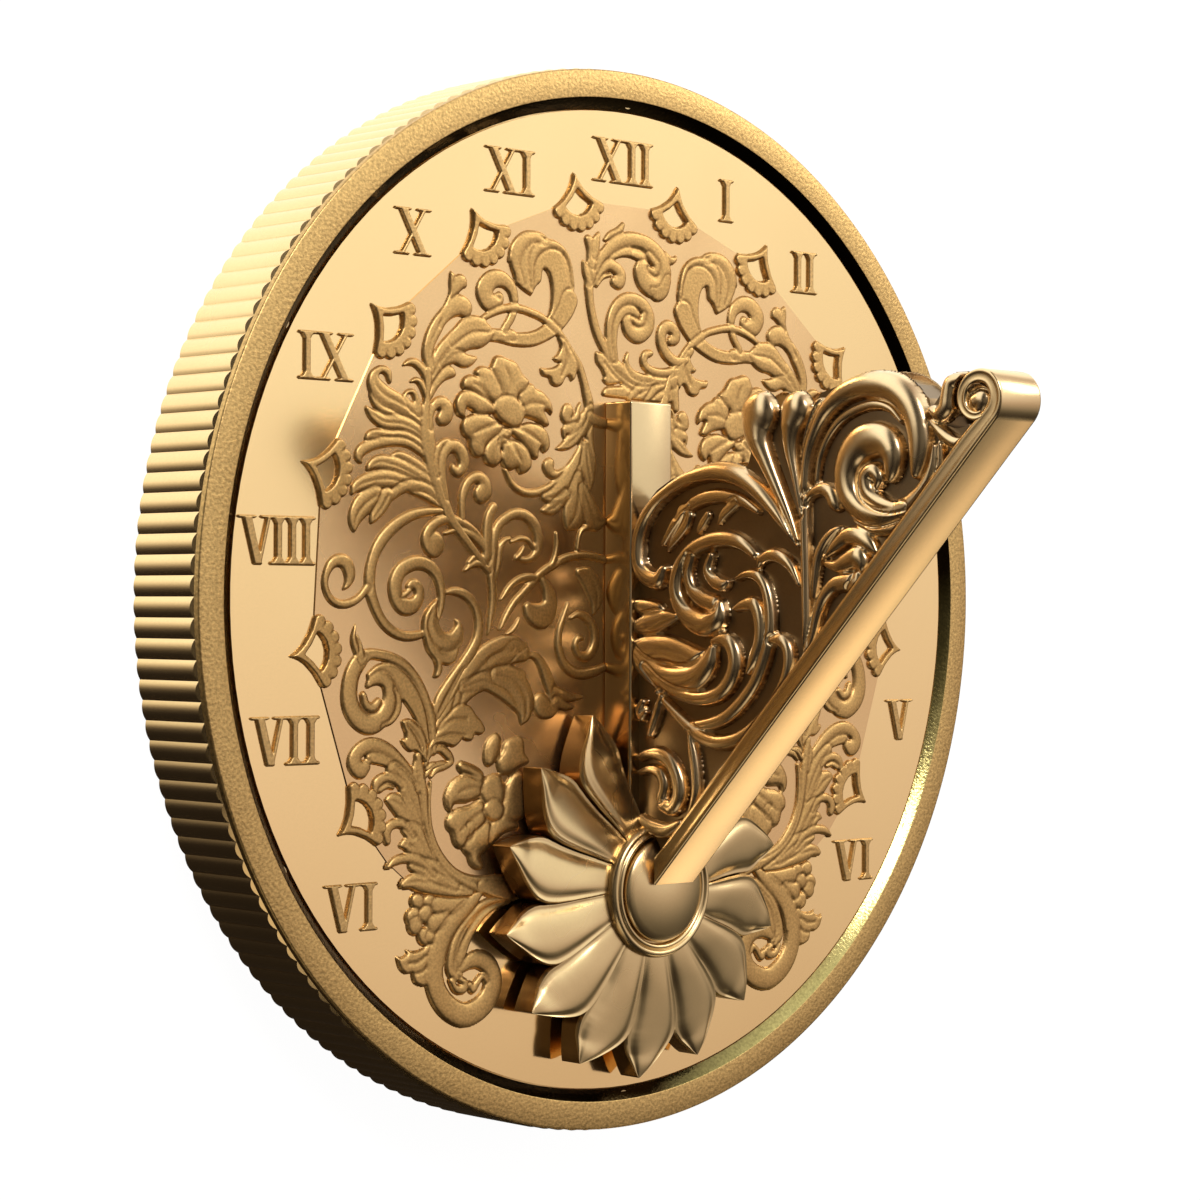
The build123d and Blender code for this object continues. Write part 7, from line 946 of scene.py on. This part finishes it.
def bevel_box(name, x0, x1, y0, y1, z0, z1, b, mat, rep):
    me = bpy.data.meshes.new(name); bm = bmesh.new()
    bmesh.ops.create_cube(bm, size=1.0)
    for v in bm.verts:
        v.co = Vector(((x0 + x1) / 2 + v.co.x * (x1 - x0), (y0 + y1) / 2 + v.co.y * (y1 - y0), (z0 + z1) / 2 + v.co.z * (z1 - z0))) * MM
    bmesh.ops.bevel(bm, geom=bm.edges[:], offset=b * MM, segments=3, affect="EDGES", profile=0.5)
    bm.to_mesh(me); bm.free()
    me.polygons.foreach_set("use_smooth", [True] * len(me.polygons)); me.set_sharp_from_angle(angle=math.radians(40))
    me.materials.append(mat)
    ob = link(bpy.data.objects.new(name, me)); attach(ob, "root"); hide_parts(*rep)
    return ob


bevel_box("back_bar_cast", -6.75, 6.75, -50.0, 46.5, 21.5, 30.4, 0.55, M_bar, ("back_bar",))

# ------------------------------------------------------------------ rim ring: grained top, polished wall
prof = [(119.9, 19.0), (119.9, 21.4), (125.0, 21.4), (125.0, 22.45), (124.93, 22.75), (124.75, 22.93), (124.5, 23.0), (118.62, 23.0), (118.45, 22.97),
        (118.33, 22.86), (115.85, 21.18), (115.8, 21.1), (115.8, 19.0)]
V, F = [], []
seg = 720
for r, z in prof:
    for i in range(seg):
        a = 2 * math.pi * i / seg
        V.append((r * math.cos(a), r * math.sin(a), z))
np_ = len(prof)
wall_faces = []
for k in range(np_):
    k2 = (k + 1) % np_
    for i in range(seg):
        j = (i + 1) % seg
        if 8 <= k <= 10: wall_faces.append(len(F))
        F.append((k * seg + i, k2 * seg + i, k2 * seg + j, k * seg + j)[::-1])
rim = mesh_object("rim_ring_cast", V, F, M_rim, ("rim_ring",), sharp=35)
# the wall faces get the material with the painted reflection
rim.data.materials.append(M_wall)
for i in wall_faces: rim.data.polygons[i].material_index = 1

# ------------------------------------------------------------------ flower
HC = (0.0, -68.0)
hr = np.array([14.0, 31.0, 32.5, 34, 35.5, 37, 38.5, 40, 41.5, 42.8, 43.8, 44.4, 44.6])
hw = np.array([12.857, 12.857, 12.8, 12.5, 11.7, 10.2, 8.2, 6.1, 4.1, 2.5, 1.2, 0.4, 0.05])       # half angle, degrees
sr = np.array([14.0, 18, 22, 26, 30, 33, 36, 38.5, 41, 43, 44.6])
sw = np.array([0.0, 0.9, 1.8, 2.5, 2.7, 2.3, 1.2, 0.0, -1.3, -2.2, -2.8])                      # swirl, degrees


def petal(a_deg, V, F):
    rs = np.concatenate([np.linspace(14, 33, 24), np.linspace(33.6, 43.6, 26), [44.0, 44.3, 44.5, 44.6]])
    vs = np.concatenate([[-1, -0.995, -0.975, -0.94, -0.9, -0.85, -0.78], np.linspace(-0.68, 0.68, 15), [0.78, 0.85, 0.9, 0.94, 0.975, 0.995, 1]])
    start = len(V); nv = len(vs)
    for r in rs:
        h = float(np.interp(r, hr, hw)); sh = float(np.interp(r, sr, sw))
        u = max(0.0, (r - 16) / 28.6)
        zc = 32.8 - 3.7 * u**1.5 + 0.30 * math.exp(-((u - 0.90) / 0.08)**2)
        k = min(1.0, h * r * 0.01745 / 5.0) * min(1.0, 0.35 + u * 2.2)
        for v in vs:
            t = abs(v)
            z = zc + 0.85 * k * v - 1.15 * k * t**2.8
            z += 0.26 * k * math.exp(-((t - 0.93) / 0.045)**2) - 0.30 * k * math.exp(-((t - 0.76) / 0.12)**2)
            z -= 0.55 * k * max(0.0, (t - 0.955) / 0.045)**2
            a = math.radians(a_deg + sh + v * h)
            V.append((r * math.cos(a) + HC[0], r * math.sin(a) + HC[1], min(z, 33.0)))
    for i in range(len(rs) - 1):
        for j in range(nv - 1):
            p = start + i * nv + j
            F.append((p, p + nv, p + nv + 1, p + 1))
    # walls and underside
    ring = [start + i * nv for i in range(len(rs))] + [start + (len(rs) - 1) * nv + j for j in range(1, nv)] \
        + [start + i * nv + nv - 1 for i in range(len(rs) - 2, -1, -1)] + [start + j for j in range(nv - 2, 0, -1)]
    low = len(V)
    for q in ring:
        V.append((V[q][0], V[q][1], 23.1))
    n = len(ring)
    flank.extend(range(len(F), len(F) + n))
    for i in range(n):
        F.append((ring[i], low + i, low + (i + 1) % n, ring[(i + 1) % n])[::-1])
    F.append(tuple(low + i for i in range(n)))


V, F, flank = [], [], []
for k in range(14):
    if k == 7: continue          # the gnomon stands here
    petal(270.2 + 360 / 14 * k, V, F)
pet = mesh_object("flower_petals_cast", V, F, M_flo, ("flower_petals",), sharp=50)
M_flank = bronze("petal_flank_bronze", (0.42, 0.27, 0.13), (0.34, 0.21, 0.10), 0.28, 0.04, 0.06, 1500, 40, 0.01)
pet.data.materials.append(M_flank)
for i in flank: pet.data.polygons[i].material_index = 1


def lathe(name, prof, mat, rep, seg=192, centre=HC, sharp=40):
    V, F = [], []
    for r, z in prof:
        for i in range(seg):
            a = 2 * math.pi * i / seg
            V.append((centre[0] + r * math.cos(a), centre[1] + r * math.sin(a), z))
    for k in range(len(prof) - 1):
        for i in range(seg):
            j = (i + 1) % seg
            F.append((k * seg + i, k * seg + j, (k + 1) * seg + j, (k + 1) * seg + i))
    if prof[0] == prof[-1]:
        pass
    else:
        F.append(tuple(range(seg))[::-1]); F.append(tuple((len(prof) - 1) * seg + i for i in range(seg)))
    return mesh_object(name, V, F, mat, rep, sharp=sharp)


# hub under the ring, closing the petals
lathe("flower_hub", [(3.4, 23.1), (15.9, 23.1), (15.9, 32.9), (15.2, 33.0), (3.4, 33.0)], M_flo, ())
ring_prof = [(12.62, 33.0), (16.0, 33.0), (16.0, 33.35), (15.92, 33.9), (15.75, 34.35), (15.5, 34.72), (15.2, 34.93), (14.9, 34.99), (14.6, 34.93),
             (14.38, 34.75), (14.25, 34.5), (14.12, 34.42), (13.98, 34.48), (13.85, 34.7), (13.65, 34.9), (13.4, 34.98), (13.15, 34.92),
             (12.9, 34.7), (12.72, 34.3), (12.62, 33.8), (12.62, 33.0)]
lathe("flower_ring_cast", ring_prof, M_flo, ("flower_ring",))
dp = [(12.25, 33.0), (12.25, 34.7), (12.2, 35.0), (12.05, 35.3), (11.8, 35.56), (11.4, 35.8)]
for r in np.linspace(10.8, 0.15, 26):
    dp.append((float(r), 38.28 - 2.45 * (float(r) / 11.5)**2))
lathe("flower_dome_cast", dp, M_flo, ("flower_dome",))

# ------------------------------------------------------------------ floor, light, camera
fl = bpy.data.meshes.new("studio_floor")
fl.from_pydata([(-6, -6, 0), (6, -6, 0), (6, 6, 0), (-6, 6, 0)], [], [(0, 1, 2, 3)])
flo = link(bpy.data.objects.new("studio_floor", fl))
flo.location.z = -0.0002
mf = bpy.data.materials.new("studio_floor")
mf.use_nodes = True
nt = mf.node_tree; nt.nodes.clear()
o = nt.nodes.new("ShaderNodeOutputMaterial"); ad = nt.nodes.new("ShaderNodeAddShader")
em = nt.nodes.new("ShaderNodeEmission"); em.inputs[0].default_value = (1, 1, 1, 1); em.inputs[1].default_value = 0.97
df = nt.nodes.new("ShaderNodeBsdfDiffuse"); df.inputs[0].default_value = (0.12, 0.12, 0.12, 1)
nt.links.new(em.outputs[0], ad.inputs[0]); nt.links.new(df.outputs[0], ad.inputs[1]); nt.links.new(ad.outputs[0], o.inputs[0])
fl.materials.append(mf)
flo.visible_glossy = False

w = bpy.data.worlds.new("studio") if not bpy.context.scene.world else bpy.context.scene.world
bpy.context.scene.world = w
w.use_nodes = True
nt = w.node_tree; nt.nodes.clear()
out = nt.nodes.new("ShaderNodeOutputWorld"); bg = nt.nodes.new("ShaderNodeBackground")
tc = nt.nodes.new("ShaderNodeTexCoord"); sep = nt.nodes.new("ShaderNodeSeparateXYZ")
nt.links.new(tc.outputs["Generated"], sep.inputs[0])


def mth(op, a, b=None, c=None, clamp=False):
    n = nt.nodes.new("ShaderNodeMath"); n.operation = op; n.use_clamp = clamp
    for i, v in enumerate((a, b, c)):
        if v is None: continue
        if isinstance(v, (int, float)): n.inputs[i].default_value = v
        else: nt.links.new(v, n.inputs[i])
    return n.outputs[0]


x, y, z = sep.outputs[0], sep.outputs[1], sep.outputs[2]
s = mth("ADD", mth("ADD", mth("MULTIPLY", x, 0.45), mth("MULTIPLY", y, 0.55)), mth("MULTIPLY", z, 0.70))
up = mth("MULTIPLY_ADD", s, 0.5, 0.5)
ramp = nt.nodes.new("ShaderNodeValToRGB")
E = [(0.0, (0.010, 0.008, 0.006)), (0.52, (0.022, 0.017, 0.012)), (0.64, (0.045, 0.036, 0.026)), (0.72, (0.13, 0.115, 0.085)),
     (0.77, (0.30, 0.26, 0.21)), (0.825, (0.50, 0.42, 0.34)), (0.857, (0.62, 0.51, 0.43)), (0.898, (0.83, 0.73, 0.66)), (0.92, (0.92, 0.85, 0.765)), (0.9475, (1.08, 1.06, 0.96)), (1.0, (1.3, 1.28, 1.15))]
cr = ramp.color_ramp
cr.elements[0].position = E[0][0]; cr.elements[0].color = (*E[0][1], 1)
cr.elements[1].position = E[-1][0]; cr.elements[1].color = (*E[-1][1], 1)
for p, c in E[1:-1]:
    e = cr.elements.new(p); e.color = (*c, 1)
nt.links.new(up, ramp.inputs["Fac"])
# below the horizon: a pale table towards +Y, dark towards -Y
low = nt.nodes.new("ShaderNodeValToRGB"); lr = low.color_ramp
lr.elements[0].position = 0.0; lr.elements[0].color = (0.012, 0.009, 0.006, 1)
lr.elements[1].position = 1.0; lr.elements[1].color = (1.6, 1.55, 1.42, 1)
for p, c in ((0.34, (0.024, 0.019, 0.015)), (0.44, (0.075, 0.062, 0.048)), (0.50, (0.30, 0.255, 0.195)), (0.56, (0.78, 0.69, 0.54)), (0.64, (1.40, 1.34, 1.16))):
    e = lr.elements.new(p); e.color = (*c, 1)
nt.links.new(mth("MULTIPLY_ADD", y, 0.5, 0.5), low.inputs["Fac"])
mix = nt.nodes.new("ShaderNodeMix"); mix.data_type = "RGBA"
nt.links.new(mth("MULTIPLY_ADD", z, -6.0, 0.0, clamp=True), mix.inputs["Factor"])
nt.links.new(ramp.outputs[0], mix.inputs["A"]); nt.links.new(low.outputs[0], mix.inputs["B"])
# a warm panel low on the south-east, which the style's front face looks at
dx = mth("SUBTRACT", x, 0.69); dy = mth("SUBTRACT", y, -0.72); dz = mth("SUBTRACT", z, 0.06)
d2 = mth("ADD", mth("ADD", mth("MULTIPLY", dx, dx), mth("MULTIPLY", dy, dy)), mth("MULTIPLY", dz, dz))
pan = mth("SMOOTH_MIN", 1.0, mth("MULTIPLY", mth("SUBTRACT", 0.085, d2, clamp=False), 26.0), 0.1, clamp=True)
warm_r = nt.nodes.new("ShaderNodeValToRGB"); wr_ = warm_r.color_ramp
wr_.elements[0].position = 0.0; wr_.elements[0].color = (1.75, 1.35, 0.92, 1)
wr_.elements[1].position = 1.0; wr_.elements[1].color = (0.22, 0.195, 0.145, 1)
for p_, c_ in ((0.22, (2.0, 1.72, 1.08)), (0.42, (1.75, 1.27, 0.80)), (0.60, (0.85, 0.67, 0.46)), (0.8, (0.28, 0.25, 0.18))):
    e = wr_.elements.new(p_); e.color = (*c_, 1)
nt.links.new(mth("MULTIPLY_ADD", z, 4.6, 0.40, clamp=True), warm_r.inputs["Fac"])
mix2 = nt.nodes.new("ShaderNodeMix"); mix2.data_type = "RGBA"
nt.links.new(pan, mix2.inputs["Factor"]); nt.links.new(mix.outputs["Result"], mix2.inputs["A"]); nt.links.new(warm_r.outputs[0], mix2.inputs["B"])
nt.links.new(mix2.outputs["Result"], bg.inputs[0])
ax_ = mth("SUBTRACT", x, -0.82); ay_ = mth("SUBTRACT", y, 0.05); az_ = mth("SUBTRACT", z, 0.58)
e2 = mth("ADD", mth("ADD", mth("MULTIPLY", ax_, ax_), mth("MULTIPLY", ay_, ay_)), mth("MULTIPLY", az_, az_))
pan2 = mth("MULTIPLY", mth("SUBTRACT", 0.24, e2), 5.5, clamp=True)
soft = nt.nodes.new("ShaderNodeRGB"); soft.outputs[0].default_value = (0.125, 0.108, 0.082, 1)
mix3 = nt.nodes.new("ShaderNodeMix"); mix3.data_type = "RGBA"
nt.links.new(pan2, mix3.inputs["Factor"]); nt.links.new(mix2.outputs["Result"], mix3.inputs["A"]); nt.links.new(soft.outputs[0], mix3.inputs["B"])
cx_ = mth("SUBTRACT", x, -0.54); cy_ = mth("SUBTRACT", y, -0.80); cz_ = mth("SUBTRACT", z, 0.16)
g2 = mth("ADD", mth("ADD", mth("MULTIPLY", cx_, cx_), mth("MULTIPLY", cy_, cy_)), mth("MULTIPLY", cz_, cz_))
pan4 = mth("MULTIPLY", mth("SUBTRACT", 0.10, g2), 16.0, clamp=True)
low_l = nt.nodes.new("ShaderNodeRGB"); low_l.outputs[0].default_value = (0.85, 0.72, 0.52, 1)
mix4 = nt.nodes.new("ShaderNodeMix"); mix4.data_type = "RGBA"
nt.links.new(pan4, mix4.inputs["Factor"]); nt.links.new(mix3.outputs["Result"], mix4.inputs["A"]); nt.links.new(low_l.outputs[0], mix4.inputs["B"])
nt.links.new(mix4.outputs["Result"], bg.inputs[0])
bg.inputs[1].default_value = 1.0
nt.links.new(bg.outputs[0], out.inputs[0])


def area(name, loc, target, size, power, color=(1, 1, 1)):
    ld = bpy.data.lights.new(name, "AREA"); ld.energy = power; ld.size = size; ld.color = color
    ob = link(bpy.data.objects.new(name, ld)); ob.location = loc
    ob.rotation_euler = (Vector(target) - Vector(loc)).to_track_quat("-Z", "Y").to_euler()
    return ob


area("key", (-0.35, 0.9, 1.1), (0, 0, 0.02), 0.5, 8.0, (1.0, 0.97, 0.92))
area("back_key", (1.0, 0.62, 0.7), (0, 0, 0.02), 0.45, 2.5, (1.0, 0.95, 0.80))

cam = bpy.data.cameras.new("camera"); cam.lens = 89.9; cam.sensor_width = 36; cam.clip_end = 20; cam.clip_start = 0.01
co = link(bpy.data.objects.new("camera", cam))
R = Vector((0.72492, 0.00406, 0.68882)); Uv = Vector((-0.00462, 0.99999, -0.00104)); Fw = Vector((0.68882, 0.00243, -0.72493))
Fw.normalize(); R = (R - Fw * R.dot(Fw)).normalized(); Uv = R.cross(Fw).normalized()
co.matrix_world = Matrix(((R.x, Uv.x, -Fw.x, -0.49464), (R.y, Uv.y, -Fw.y, -0.00189), (R.z, Uv.z, -Fw.z, 0.53355), (0, 0, 0, 1)))
bpy.context.scene.camera = co
bpy.context.scene.view_settings.view_transform = "Standard"
bpy.context.scene.view_settings.look = "None"
